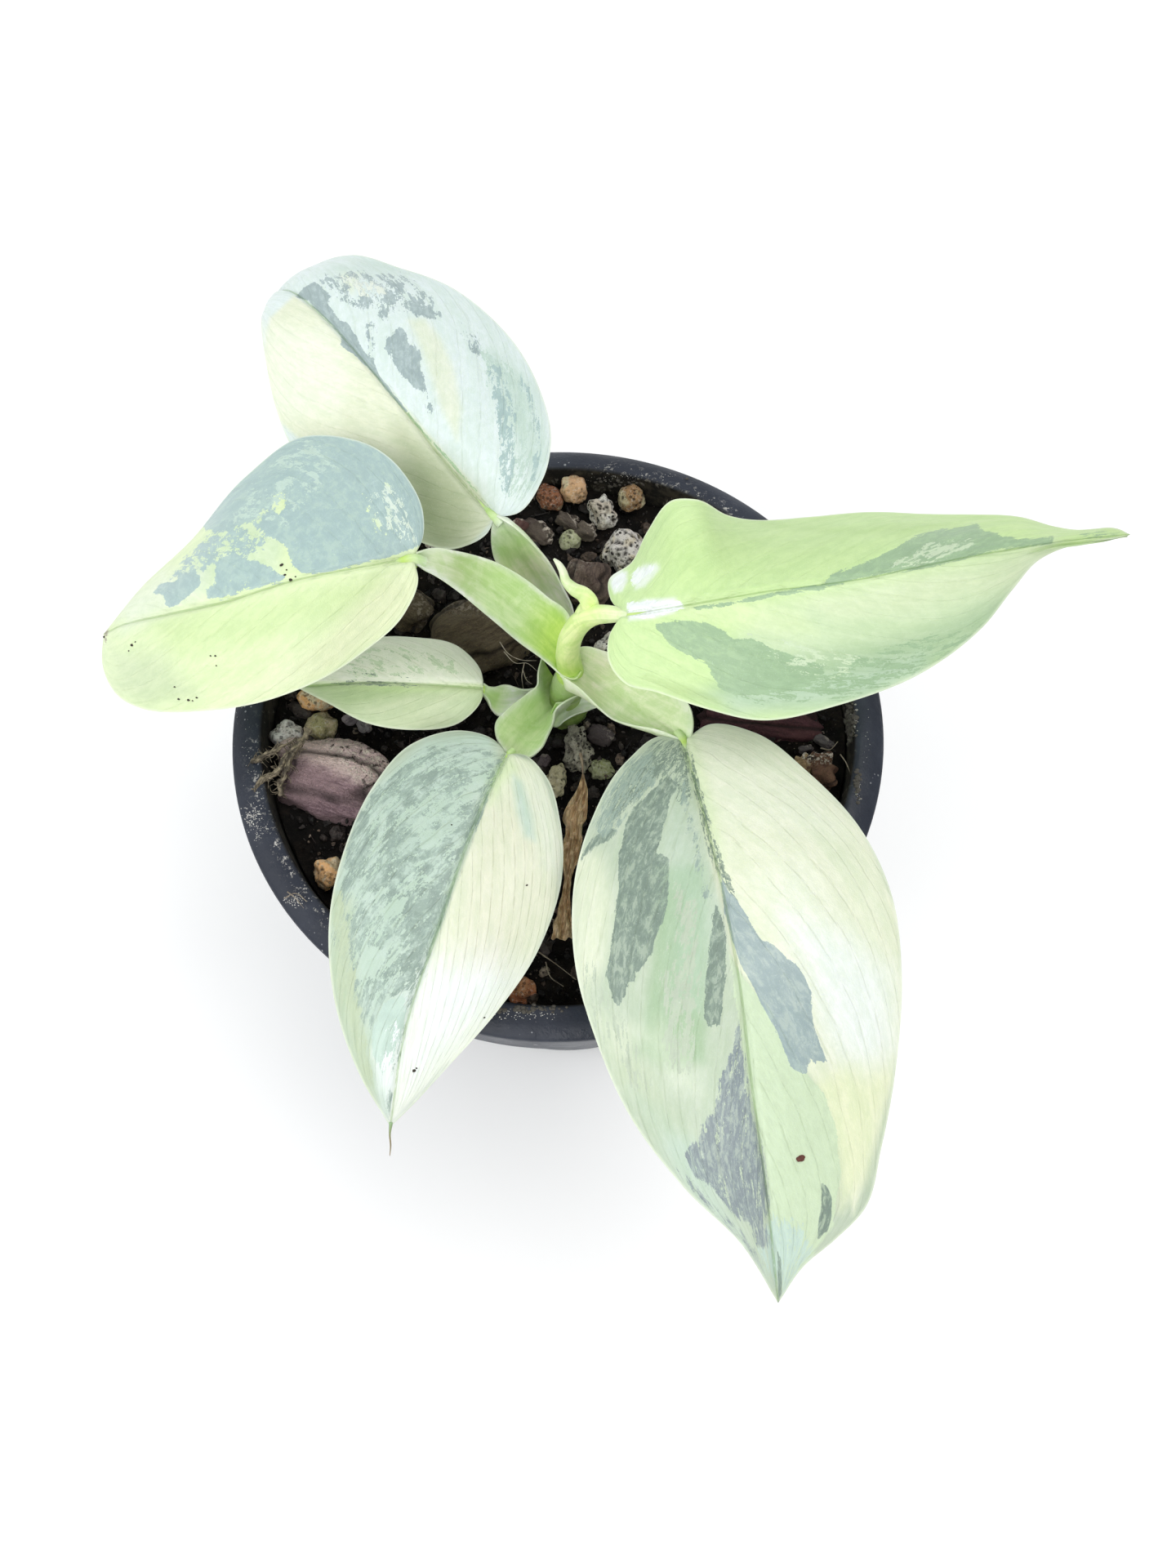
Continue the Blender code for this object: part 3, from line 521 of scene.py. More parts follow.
@dataclass(frozen=True)
class LeafFinish(Finish):
    """A leaf's skin: a wash of tints, ragged coats of other tones, veins, painted glints, a pale rim and a
    satin sheen.
    """

    coats: tuple
    spacing: float = 2.4                   # between lateral veins
    blot: float = 1.0                      # how fine its blotches are
    vein_shade: tuple = (0.80, 0.80, 0.72)
    rib_shade: tuple = (0.62, 0.72, 0.52)
    rim_tone: tuple = (0.80, 0.86, 0.70)
    under_tone: tuple = (0.60, 0.70, 0.50)
    # pale tone of the painted glints: specks that stand in for the lamps' glints on the silvery skin
    painted_glint_tone: tuple = (0.88, 0.93, 0.92)
    roughness: float = 0.40

    def ground(self, g: Graph, flow_map: Socket, flow: dict) -> Socket:
        """The mesh's tints, varied along the veins and in clouds.

        Args:
            g: the material's graph.
            flow_map: the place along the veins.
            flow: the outputs of the group vein_flow.

        Returns:
            The colour.
        """
        streak = g.mix(g.span(flow["Streak"], 0.25, 0.75), (0.985, 0.985, 0.98), (1.012, 1.012, 1.016))
        sector = g.mix(g.span(flow["Sector"], 0.36, 0.62), (0.965, 0.98, 0.955), (1.02, 1.012, 1.015))
        colour = g.shaded(g.shaded(g.attribute("tint", "Color"), streak), sector)
        patchy = g.mix(flow["Camo"], (0.96, 0.975, 0.955), (1.045, 1.035, 1.05))
        cloud = g.span(g.noise(g.place(), 300.0, 4.0, 0.68, 0.5), 0.40, 0.60)
        band = g.span(g.noise(flow_map, (1.5, 0.16, 1.0), 3.0, 0.6), 0.42, 0.60)
        fleshy = g.shaded(g.mix(cloud, (0.91, 0.955, 0.84), (1.09, 1.045, 1.14)),
                          g.mix(band, (0.94, 0.97, 0.90), (1.06, 1.03, 1.08)))
        return g.shaded(colour, g.mix(g.attribute("blade"), fleshy, patchy))

    def midrib(self, g: Graph, flow_map: Socket) -> Socket:
        """Where the midrib's line and the twin lines beside its foot show, as a share."""
        from_rib = g.math("ABSOLUTE", g.attribute("aside"))
        line = g.times(g.span(from_rib, 0.25, 0.08),
                       g.span(g.noise(flow_map, 0.9, 3.0, 0.7), 0.36, 0.52, 0.25, 0.85))
        twin = g.times(g.span(g.math("ABSOLUTE", g.math("SUBTRACT", from_rib, 0.42)), 0.16, 0.03),
                       g.attribute("foot"), g.span(g.noise(flow_map, 1.3, 3.0, 0.7), 0.40, 0.58, 0.0, 0.8))
        return g.math("MAXIMUM", line, twin)

    def sockets(self, g: Graph) -> dict:
        """Its links and values; its mesh carries tint, coat_N, the values of skin() and the UV map veins."""
        along = g.node("ShaderNodeSeparateXYZ", {0: g.veins()}).outputs
        flow_map = g.node("ShaderNodeCombineXYZ", {0: along[0], 1: along[1], 2: g.attribute("side")})
        flow_map = flow_map.outputs[0]
        flow = FLOW.placed(g, {"Vector": flow_map, "Spacing": self.spacing, "Blot": self.blot})
        colour = self.ground(g, flow_map, flow)
        for number, tone in enumerate(self.coats):
            colour = COAT.placed(g, {
                "Under": colour, "Tone": (*tone.value, 1.0), "Field": g.attribute(f"coat_{number}"),
                "Ragged": flow["Ragged"], "Streak": flow["Streak"], "Camo": flow["Camo"],
                "Mottle": MOTTLED.get(tone, PLAIN_MOTTLE)})["Color"]
        vein = g.times(flow["Vein"], g.attribute("blade"))
        colour = g.shaded(colour, self.vein_shade, g.times(vein, 0.8))
        # Painted glints: pale specks where the grain is high, standing in for the lamps' glints on the
        # silvery skin.
        fleck = g.span(flow["Grain"], 0.62, 0.74, 0.0, 0.42)
        colour = g.mix(fleck, colour, g.mix(0.6, colour, self.painted_glint_tone))
        colour = g.mix(g.times(g.span(g.attribute("rim"), 0.45, 0.08), 0.50), colour, self.rim_tone)
        colour = g.shaded(colour, self.rib_shade, self.midrib(g, flow_map))
        under = g.attribute("under")
        colour = g.mix(under, colour, g.mix(0.5, colour, self.under_tone))
        rough = g.span(flow["Grain"], 0.3, 0.7, self.roughness - 0.05, self.roughness + 0.10)
        height = g.sloped(vein, -0.45, g.sloped(flow["Streak"], 0.07, g.times(flow["Grain"], 0.5)))
        return {"Base Color": colour, "Roughness": g.sloped(under, 0.15, rough),
                "Normal": g.bump(height, 0.00010, 0.8), **FLESH}


@dataclass(frozen=True)
class PlasticFinish(Finish):
    """Black moulded plastic, satin, with dust, pale mineral marks and fine scratches."""

    name: str = "black_plastic"
    colour: tuple = (0.008, 0.012, 0.024)
    dust: tuple = (0.32, 0.36, 0.46)
    speck: tuple = (0.42, 0.43, 0.45)
    fleck: tuple = (0.55, 0.55, 0.54)
    lime: tuple = (0.62, 0.60, 0.56)
    wall: tuple = (0.006, 0.005, 0.004)
    soil: tuple = (0.040, 0.034, 0.024)
    scale: tuple = (0.26, 0.24, 0.21)

    def sockets(self, g: Graph) -> dict:
        """Its links and values; its mesh carries inner (1 on the wall inside) and crest (1 on the crest)."""
        place = g.place()
        film = g.span(g.noise(place, 55.0, 4.0, 0.65), 0.35, 0.72, 0.004, 0.075)
        colour = g.mix(film, self.colour, self.dust)
        specks = DUST.placed(g, {"Vector": place, "Size": 1300.0, "Drift": 75.0, "Amount": 0.55})["Mask"]
        flecks = DUST.placed(g, {"Vector": place, "Size": 420.0, "Drift": 130.0, "Amount": 0.30})["Mask"]
        colour = g.mix(g.times(specks, 0.55), colour, self.speck)
        colour = g.mix(g.times(flecks, 0.6), colour, self.fleck)
        lime = g.times(g.span(g.noise(place, 900.0, 5.0, 0.8), 0.55, 0.62), g.attribute("crest"),
                       g.span(g.noise(place, 42.0, 2.0), 0.50, 0.60))
        colour = g.mix(g.times(lime, 0.8), colour, self.lime)
        inner = g.attribute("inner")
        crust = g.span(g.noise(place, 260.0, 5.0, 0.7), 0.44, 0.62)
        colour = g.mix(inner, colour, g.mix(crust, self.wall, self.soil))
        pale = g.span(g.noise(g.stretch(place, (1, 1, 0.35)), 620.0, 4.0, 0.7), 0.60, 0.66)
        colour = g.mix(g.times(inner, pale, 0.5), colour, self.scale)
        rough = g.math("ADD", g.span(g.noise(place, 120.0, 3.0), 0.3, 0.7, 0.36, 0.50),
                       g.sloped(inner, 0.55, g.times(specks, 0.25)), clamp=True)
        marks = g.sloped(lime, 1.5, g.times(g.math("ADD", flecks, crust), 0.6))
        height = g.math("ADD", g.times(g.noise(place, 2600.0, 3.0), 0.35), marks)
        return {"Base Color": colour, "Roughness": rough, "Normal": g.bump(height, 0.00012, 0.5),
                "Specular IOR Level": 0.38}


@dataclass(frozen=True)
class BedFinish(Finish):
    """Near black mix below the crumbs: its own dark colour, painted darker still as the shade between the
    crumbs.
    """

    # deep and high: the mix's own dark colour, with painted shade between the crumbs
    deep: tuple = (0.003, 0.0025, 0.002)
    high: tuple = (0.011, 0.008, 0.006)
    roughness: float = 0.92
    specular: float = 0.25

    def colour(self, g: Graph, place: Socket) -> Socket:
        """The colour before its fibres."""
        return g.mix(g.span(g.noise(place, 230.0, 4.0, 0.7), 0.4, 0.65), self.deep, self.high)

    def sockets(self, g: Graph) -> dict:
        """Its links and values."""
        place = g.place()
        colour = self.colour(g, place)
        fibre = g.span(g.noise(g.stretch(place, (1.0, 2.2, 1.6), 0.5), 900.0, 4.0, 0.7), 0.35, 0.7)
        colour = g.mix(fibre, g.shaded(colour, (0.55, 0.55, 0.55)), g.shaded(colour, (1.5, 1.45, 1.4)))
        return {"Base Color": colour, "Roughness": self.roughness, "Specular IOR Level": self.specular,
                "Normal": g.bump(g.noise(place, 1500.0, 4.0, 0.75), 0.0003, 0.8)}


@dataclass(frozen=True)
class CrumbFinish(BedFinish):
    """Crumbs of bark, coir and grit, from near black to nearly white, each its own shade."""

    shades: tuple = ((0.0, (0.006, 0.005, 0.005)), (0.36, (0.018, 0.015, 0.014)),
                     (0.58, (0.042, 0.034, 0.031)), (0.74, (0.085, 0.062, 0.048)),
                     (0.85, (0.15, 0.115, 0.09)), (0.925, (0.27, 0.225, 0.18)), (0.975, (0.55, 0.52, 0.46)))
    roughness: float = 0.60
    specular: float = 0.40

    def colour(self, g: Graph, place: Socket) -> Socket:
        """The colour before its fibres; the mesh carries shade, from 0 to 1, the same all over a crumb."""
        ramp = g.node("ShaderNodeValToRGB", {0: g.attribute("shade")})
        ramp.color_ramp.interpolation = "CONSTANT"
        stops = ramp.color_ramp.elements
        while len(stops) < len(self.shades):
            stops.new(0.5)
        for stop, (at, colour) in zip(stops, self.shades):
            stop.position = at
            stop.color = (*colour, 1.0)
        return ramp.outputs[0]


@dataclass(frozen=True)
class PumiceFinish(Finish):
    """A pumice stone: chalky, with stains of its own colour, and painted shade in its pits and pores."""

    colour: tuple
    stain: tuple
    seed: float
    holes: float
    chalk: tuple = (0.80, 0.77, 0.70)
    dirt: tuple = (0.30, 0.24, 0.18)
    # near-black colour of the painted shade in pits and pores
    depth: tuple = (0.016, 0.013, 0.011)

    def sockets(self, g: Graph) -> dict:
        """Its links and values; its mesh carries pit, which is 1 deep in a pit, where the painted shade goes.
        """
        place = g.stretch(g.place(), shift=self.seed * 0.013)
        patch = g.span(g.noise(place, 210.0, 4.0, 0.65, 0.6), 0.46, 0.58)
        colour = g.mix(patch, self.colour, self.stain)
        colour = g.shaded(colour, self.dirt, g.span(g.noise(place, 800.0, 5.0, 0.8), 0.53, 0.66, 0.0, 0.55))
        colour = g.mix(g.span(g.noise(place, 2100.0, 3.0, 0.7), 0.52, 0.66, 0.0, 0.35), colour, self.chalk)
        hole = g.times(g.span(g.cells(g.stretch(place, (1.0, 1.25, 0.8)), 1250.0)["Distance"], 0.38, 0.26),
                       g.span(g.noise(place, 340.0, 2.0), 0.40, 0.52))
        pin = g.times(g.span(g.cells(place, 3100.0)["Distance"], 0.30, 0.16),
                      g.span(g.noise(place, 600.0, 2.0), 0.36, 0.50), 0.8)
        hole = g.times(g.math("MAXIMUM", hole, pin), self.holes)
        # Painted shade: pits and pores are darkened towards the near-black depth colour.
        dark = g.math("MAXIMUM", g.attribute("pit"), hole)
        height = g.sloped(hole, -1.0, g.noise(place, 1800.0, 5.0, 0.75))
        return {"Base Color": g.mix(g.times(dark, 0.93), colour, self.depth), "Roughness": 0.95,
                "Specular IOR Level": 0.2, "Normal": g.bump(height, 0.00035, 0.9)}


@dataclass(frozen=True)
class BarkFinish(Finish):
    """A chip of bark: fibrous layers with a sandy crust, dark cracks and painted shade on its near, lower
    side.
    """

    colour: tuple
    crust: tuple
    turn: float
    grain: tuple = (0.44, 0.41, 0.44)
    dust: tuple = (2.0, 1.9, 1.8)
    # colour factor of the painted shade on the near, lower side
    dusk: tuple = (0.46, 0.40, 0.46)
    sand: tuple = (0.66, 0.58, 0.50)
    pock: tuple = (0.03, 0.022, 0.018)
    crack: tuple = (0.016, 0.011, 0.010)

    def sockets(self, g: Graph) -> dict:
        """Its links and values; its mesh carries crack (1 in a groove), crusty (1 where rough) and the share
        of painted shade on its near, lower side.
        """
        place = g.stretch(g.place(), turn=-math.radians(self.turn))
        grain = g.noise(g.stretch(place, (0.45, 1.5, 1.5)), 1500.0, 5.0, 0.75, 0.3)
        broad = g.noise(g.stretch(place, (0.4, 1.0, 1.0)), 200.0, 3.0, 0.6)
        colour = g.mix(g.span(grain, 0.36, 0.64), g.shaded(self.colour, self.grain), self.colour)
        colour = g.mix(g.span(broad, 0.4, 0.62, 0.0, 0.6), colour, self.crust)
        dust = g.span(g.noise(place, 3400.0, 3.0, 0.75), 0.55, 0.63, 0.0, 0.7)
        # Painted shade: darker on the near, lower side, by the mesh's share.
        colour = g.shaded(g.shaded(colour, self.dust, dust), self.dusk, g.attribute("dusk"))
        crusty = g.attribute("crusty")
        sand = g.times(crusty, g.span(g.noise(place, 1500.0, 3.0, 0.7), 0.48, 0.58))
        pock = g.times(crusty, g.span(g.noise(place, 900.0, 3.0, 0.7), 0.55, 0.62), 0.9)
        colour = g.mix(pock, g.mix(sand, colour, self.sand), self.pock)
        colour = g.mix(g.times(g.attribute("crack"), 0.85), colour, self.crack)
        height = g.sloped(dust, 0.8, g.sloped(sand, 0.6, grain))
        return {"Base Color": colour, "Roughness": 0.85, "Specular IOR Level": 0.3,
                "Normal": g.bump(height, 0.0004, 0.9)}


@dataclass(frozen=True)
class DryFinish(Finish):
    """Dead, dry plant stuff: papery or woody, with lengthwise fibres along the UV map veins."""

    light: tuple
    dark: tuple
    papery: bool = False

    def sockets(self, g: Graph) -> dict:
        """Its links and values."""
        fibre = g.noise(g.veins(), (4.0, 0.6, 1.0), 4.0, 0.75, 0.4)
        colour = g.mix(g.span(fibre, 0.32, 0.68), self.dark, self.light)
        colour = g.mix(g.span(g.noise(g.place(), 620.0, 4.0, 0.7), 0.45, 0.66, 0.0, 0.85), colour, self.dark)
        return {"Base Color": colour, "Roughness": 0.75, "Normal": g.bump(fibre, 0.00018, 0.8),
                **(PAPER if self.papery else {})}


@dataclass(frozen=True)
class GrainFinish(Finish):
    """Grains of dirt or lime, darker in places."""

    colour: tuple
    shade: tuple = (0.4, 0.4, 0.4)

    def sockets(self, g: Graph) -> dict:
        """Its links and values."""
        share = g.noise(g.place(), 3000.0)
        return {"Base Color": g.mix(share, self.colour, g.shaded(self.colour, self.shade)), "Roughness": 0.8}


@dataclass(frozen=True)
class FloorFinish(Finish):
    """The studio's pale floor, which glows a little."""

    name: str = "pale_floor"

    def sockets(self, g: Graph) -> dict:
        """Its values."""
        return {"Base Color": (0.96, 0.96, 0.96, 1.0), "Roughness": 0.8,
                "Emission Color": (1.0, 1.0, 1.0, 1.0), "Emission Strength": 0.06}


# Meshes


@dataclass
class Shape:
    """A mesh in the making, in millimetres, with values for its points."""

    points: np.ndarray
    faces: list
    values: dict = field(default_factory=dict)      # name: one number, or a colour, for each point
    flow: np.ndarray | None = None                  # the UV map veins, for each point

    def joined(self, other: "Shape") -> "Shape":
        """This shape and another in one; both carry the same values."""
        start = len(self.points)
        return Shape(np.vstack([self.points, other.points]),
                     self.faces + [tuple(i + start for i in face) for face in other.faces],
                     {name: np.concatenate([self.values[name], other.values[name]]) for name in self.values},
                     None if self.flow is None else np.vstack([self.flow, other.flow]))

    def mesh(self, name: str) -> bpy.types.Mesh:
        """The bare mesh, in metres."""
        made = bpy.data.meshes.new(name)
        made.from_pydata(self.points * MM, [], self.faces)
        return made

    def build(self, name: str, finish: Finish, sharp: float = 60.0) -> bpy.types.Object:
        """Makes the object.

        Args:
            name: the piece's name.
            finish: its finish.
            sharp: edges that turn more than this, in degrees, stay sharp.

        Returns:
            The object, at the origin, with smooth shading and faces that point outwards.
        """
        mesh = self.mesh(name)
        for label, values in self.values.items():
            values = np.asarray(values, np.float32)
            if values.ndim == 2:
                colours = np.column_stack([values, np.ones(len(values))]).ravel()
                mesh.attributes.new(label, "FLOAT_COLOR", "POINT").data.foreach_set("color", colours)
            else:
                mesh.attributes.new(label, "FLOAT", "POINT").data.foreach_set("value", values)
        if self.flow is not None:
            corner = np.empty(len(mesh.loops), np.int64)
            mesh.loops.foreach_get("vertex_index", corner)
            flow = self.flow[corner].astype(np.float32).ravel()
            mesh.uv_layers.new(name="veins").data.foreach_set("uv", flow)
        shape = bmesh.new()
        shape.from_mesh(mesh)
        bmesh.ops.recalc_face_normals(shape, faces=shape.faces[:])
        shape.to_mesh(mesh)
        shape.free()
        mesh.materials.append(finish.build())
        mesh.shade_smooth()
        mesh.set_sharp_from_angle(angle=math.radians(sharp))
        return add_object(name, mesh)


def claim(made: bpy.types.Object, slot: str, own: bool = True) -> bpy.types.Object:
    """Attaches a piece to its body and hides the CAD node that it stands for.

    Args:
        made: the piece.
        slot: the name of the CAD node that it goes with, hidden when own is true.
        own: whether it stands for the CAD node of the slot's name.

    Returns:
        The piece.
    """
    if own:
        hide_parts(slot)
    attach(made, BODY)
    return made


def settle(made: bpy.types.Object) -> bpy.types.Object:
    """Puts the object's modifiers into its mesh and takes them off.

    Args:
        made: the object.

    Returns:
        The same object.
    """
    bpy.context.view_layer.update()
    mesh = bpy.data.meshes.new_from_object(made.evaluated_get(bpy.context.evaluated_depsgraph_get()))
    made.modifiers.clear()
    old, made.data = made.data, mesh
    bpy.data.meshes.remove(old)
    mesh.name = made.name
    return made


def grid_faces(rows: int, columns: int, wrap: bool = False) -> list:
    """Faces of a grid of points that runs column by column in each row.

    Args:
        rows: rows of points.
        columns: points in each row.
        wrap: whether each row closes to a ring.

    Returns:
        The faces, as tuples of the points' numbers.
    """
    faces = []
    for row in range(rows - 1):
        for column in range(columns if wrap else columns - 1):
            a, b = row * columns + column, row * columns + (column + 1) % columns
            faces.append((a, b, b + columns, a + columns))
    return faces


def hose_faces(rings: int, sides: int) -> list:
    """Faces round rings of points, with a lid at each end."""
    lids = [tuple(range(sides)), tuple(range((rings - 1) * sides, rings * sides))]
    return grid_faces(rings, sides, wrap=True) + lids


def drum_shape(rings: np.ndarray, first: tuple, last: tuple) -> Shape:
    """A closed body of rings, whose ends are fans about a middle point.

    Args:
        rings: the points, by ring and by side.
        first: the middle of the first ring's fan.
        last: the middle of the last one's.

    Returns:
        The shape.
    """
    count, sides = rings.shape[:2]
    faces = grid_faces(count, sides, wrap=True)
    for end, start in enumerate((0, (count - 1) * sides)):
        faces += [(start + i, start + (i + 1) % sides, count * sides + end) for i in range(sides)]
    return Shape(np.vstack([rings.reshape(-1, 3), first, last]), faces)


def turned(radii: np.ndarray, sides: int) -> tuple[np.ndarray, np.ndarray]:
    """The x and y of rings of points about the Z axis, by ring and by side."""
    turn = np.linspace(0, 2 * math.pi, sides, endpoint=False)
    return radii[:, None] * np.cos(turn), radii[:, None] * np.sin(turn)


def tube_shape(line, radii, rings: int, sides: int, rough: float = 0.0, seed: int = 1,
               size: float = 1.0) -> Shape:
    """A closed rod along a smooth line.

    Args:
        line: its control points.
        radii: one radius for each of them.
        rings: rings of points along it.
        sides: points in each ring.
        rough: height of its bumps.
        seed: of the bumps.
        size: of the bumps.

    Returns:
        The shape, with a UV map in millimetres, across first.
    """
    run = smooth_line(np.column_stack((np.asarray(line, float), radii)), np.linspace(0, 1, rings))
    ahead = unit(np.gradient(run[:, :3], axis=0))
    across = unit(np.cross(ahead, (0.13, 0.21, 0.97)))
    rise = np.cross(across, ahead)
    turn = np.linspace(0, 2 * math.pi, sides, endpoint=False)
    spread = across[:, None] * np.cos(turn)[None, :, None] + rise[:, None] * np.sin(turn)[None, :, None]
    points = (run[:, None, :3] + spread * run[:, None, 3:4]).reshape(-1, 3)
    if rough:
        points += spread.reshape(-1, 3) * (rough * Lumps(seed).at(points, size))[:, None]
    around = np.tile(turn, rings) * np.repeat(run[:, 3], sides)
    flow = np.column_stack((around, np.repeat(run_length(run[:, :3]), sides)))
    return Shape(points, hose_faces(rings, sides), {}, flow)


def ball_shape(detail: int) -> Shape:
    """A ball of radius 1.

    Args:
        detail: how often its 20 faces are divided, plus one.

    Returns:
        The shape.
    """
    ball = bmesh.new()
    bmesh.ops.create_icosphere(ball, subdivisions=detail, radius=1.0)
    points = unit(np.array([vertex.co[:] for vertex in ball.verts]))
    faces = [tuple(vertex.index for vertex in face.verts) for face in ball.faces]
    ball.free()
    return Shape(points, faces)


def signed_reach(places: np.ndarray, outline: np.ndarray) -> np.ndarray:
    """How far inside a closed outline places lie.

    Args:
        places: x and y of each.
        outline: x and y of its corners.

    Returns:
        The distance to the outline for each place, below zero outside it.
    """
    inside = np.zeros(len(places), bool)
    nearest = np.full(len(places), 1e9)
    for a, b in zip(outline, np.roll(outline, -1, axis=0)):
        edge = b - a
        share = np.clip(((places - a) @ edge) / max(edge @ edge, 1e-9), 0, 1)
        nearest = np.minimum(nearest, np.linalg.norm(places - a - share[:, None] * edge, axis=1))
        if a[1] != b[1]:
            crosses = (a[1] > places[:, 1]) != (b[1] > places[:, 1])
            inside ^= crosses & (places[:, 0] < a[0] + (places[:, 1] - a[1]) * edge[0] / edge[1])
    return np.where(inside, nearest, -nearest)


# Leaves


OUTSIDE = -2.0                     # a coat's field where the coat isn't


@dataclass(frozen=True)
class Mark:
    """A marking on a leaf, outlined in the photograph's pixels."""

    tone: Tone
    outline: tuple                 # x, y, x, y and so on
    cover: float = 1.0             # share of it that has the tone; below 1 it is mottled
    feather: float = 13.0          # pixels over which its edge strays

    def reach(self, places: np.ndarray) -> np.ndarray:
        """How far inside it each place is, in pixels."""
        return signed_reach(places, np.array(self.outline, float).reshape(-1, 2))


class Wash(Mark):
    """A soft tint, without an edge."""

    def over(self, tint: np.ndarray, places: np.ndarray) -> np.ndarray:
        """The tints with this one laid over them."""
        return toward(tint, self.tone, self.cover * ease(self.reach(places) / self.feather + 0.5))


class Patch(Mark):
    """A marking with a ragged edge."""

    def field(self, places: np.ndarray) -> np.ndarray:
        """The marking's field, to which the shader adds its ragged noise.

        Args:
            places: the photograph's pixel for each point.

        Returns:
            A value for each point, above zero where the tone is.
        """
        spare = 0.4 + 1.6 * (1 - abs(2 * self.cover - 1))
        full = -OUTSIDE if self.cover >= 1 else 1.2 * (self.cover - 0.5) * 2 / spare
        width = self.feather * (1.3 if self.feather > 6 else 1.0)
        return OUTSIDE + (full - OUTSIDE) * ease(self.reach(places) / width + 0.5)


class Cut(Patch):
    """A place that its tone leaves free."""


@dataclass(frozen=True)
class Channel:
    """A winged, hollow stalk between two rims; its lines run from the crown to the blade.

    The lines are spots of the photograph with a height: x, y in pixels and z in millimetres.
    """

    near: tuple
    keel: tuple
    far: tuple
    tones: tuple                   # from the crown to the blade
    thick: float = 1.3
    pale: float = 0.5              # of its rims
    heel: float = 0.0              # how much thicker it is at the crown
    rings: int = 90
    columns: int = 21
    rim: float = 0.24              # its thickness at the rims

    def shape(self) -> tuple[Shape, np.ndarray]:
        """The closed channel and its tints."""
        share = np.linspace(0, 1, self.rings)
        near, keel, far = (smooth_line(VIEW.lifted(rail), share) for rail in (self.near, self.keel, self.far))
        x = np.sin(np.linspace(-math.pi / 2, math.pi / 2, self.columns))
        sway = 0.12 * Lumps(11).at(np.vstack([near, far]), 4.0).reshape(2, -1, 1)
        near, far = near + sway[0] * (0, 0.4, 1), far + sway[1] * (0, 0.4, 1)
        upper = (keel[:, None] + (x / 2)[None, :, None] * (far - near)[:, None]
                 + (np.abs(x)**1.8)[None, :, None] * ((far + near) / 2 - keel)[:, None])
        normal = unit(np.cross(np.gradient(upper, axis=0), np.gradient(upper, axis=1)))
        middle = self.columns // 2
        normal *= np.sign(((VIEW.place - upper[:, middle]) * normal[:, middle]).sum(axis=1))[:, None, None]
        upper = upper - normal * (0.10 * bell(x, 0.15))[None, :, None]
        ends = 0.35 + 0.65 * ease(np.minimum(share, 1 - share) / 0.06)
        stout = self.thick - self.rim + self.heel * (1 - ease(share / 0.45))
        depth = self.rim + stout[:, None] * np.maximum(1 - x**2, 0)[None, :]**0.8 * ends[:, None]
        lower = upper - normal * depth[..., None]
        points = np.concatenate([upper, lower[:, ::-1]], axis=1).reshape(-1, 3)
        section = np.concatenate([x, x[::-1]])
        half = np.linalg.norm(far - near, axis=1) / 2
        from_edge = (half[:, None] * (1 - np.abs(section))).ravel()
        length = run_length(keel)[:, None] + 0 * section
        flow = np.stack([half[:, None] * section, length], axis=2).reshape(-1, 2)
        under = np.tile(np.repeat((0.0, 0.4), self.columns), self.rings)
        count = 2 * self.columns
        along = np.repeat(share, count)
        tint = toward(stalk_tint(self.tones, along), Tone.IVORY,
                      self.pale * bell(from_edge, 0.5) * ease(along * 4 + 0.2))
        line = 0.22 * bell(np.tile(section, self.rings), 0.11)
        tint = tint * (1 - line[:, None] * (1 - np.array(Tone.DEEP_LIME.value)))
        return skin(Shape(points, hose_faces(self.rings, count), {}, flow), from_edge + 0.3, under), tint


@dataclass(frozen=True)
class Round:
    """A round stalk, point or knuckle: x, y, z and radius along it, in millimetres."""

    line: tuple
    tones: tuple
    rings: int = 70
    sides: int = 24

    def shape(self) -> tuple[Shape, np.ndarray]:
        """The rod and its tints."""
        line = np.array(self.line, float)
        made = tube_shape(line[:, :3], line[:, 3], self.rings, self.sides, 0.06, 12, 2.5)
        count = len(made.points)
        share = np.repeat(np.linspace(0, 1, self.rings), self.sides)
        return skin(made, np.full(count, 2.0), np.zeros(count)), stalk_tint(self.tones, share)


def stalk_tint(tones: tuple, share: np.ndarray) -> np.ndarray:
    """Tints at shares of a stalk's length, blended between its tones."""
    bands = np.array([tone.value for tone in tones]).T
    return np.stack([np.interp(share, np.linspace(0, 1, len(tones)), band) for band in bands], axis=1)


def skin(shape: Shape, rim: np.ndarray, under: np.ndarray) -> Shape:
    """Gives a shape the values that a leaf's finish reads, for a part that isn't blade.

    Args:
        shape: the part.
        rim: how far each point lies from a rim.
        under: 1 on the underside.

    Returns:
        The same shape.
    """
    none = np.zeros(len(shape.points))
    shape.values = {"rim": rim, "under": under, "side": none, "aside": none + 9, "foot": none, "blade": none}
    return shape


@dataclass
class Sheet:
    """A blade's upper face before its relief, with values for its points."""

    points: np.ndarray
    flow: np.ndarray               # across and along the veins
    rim: np.ndarray                # how far from the margin
    fade: np.ndarray               # share of the way to the tip
    aside: np.ndarray              # how far from the midrib, below zero at the right
    faces: list
    loop: np.ndarray               # the points round the margin


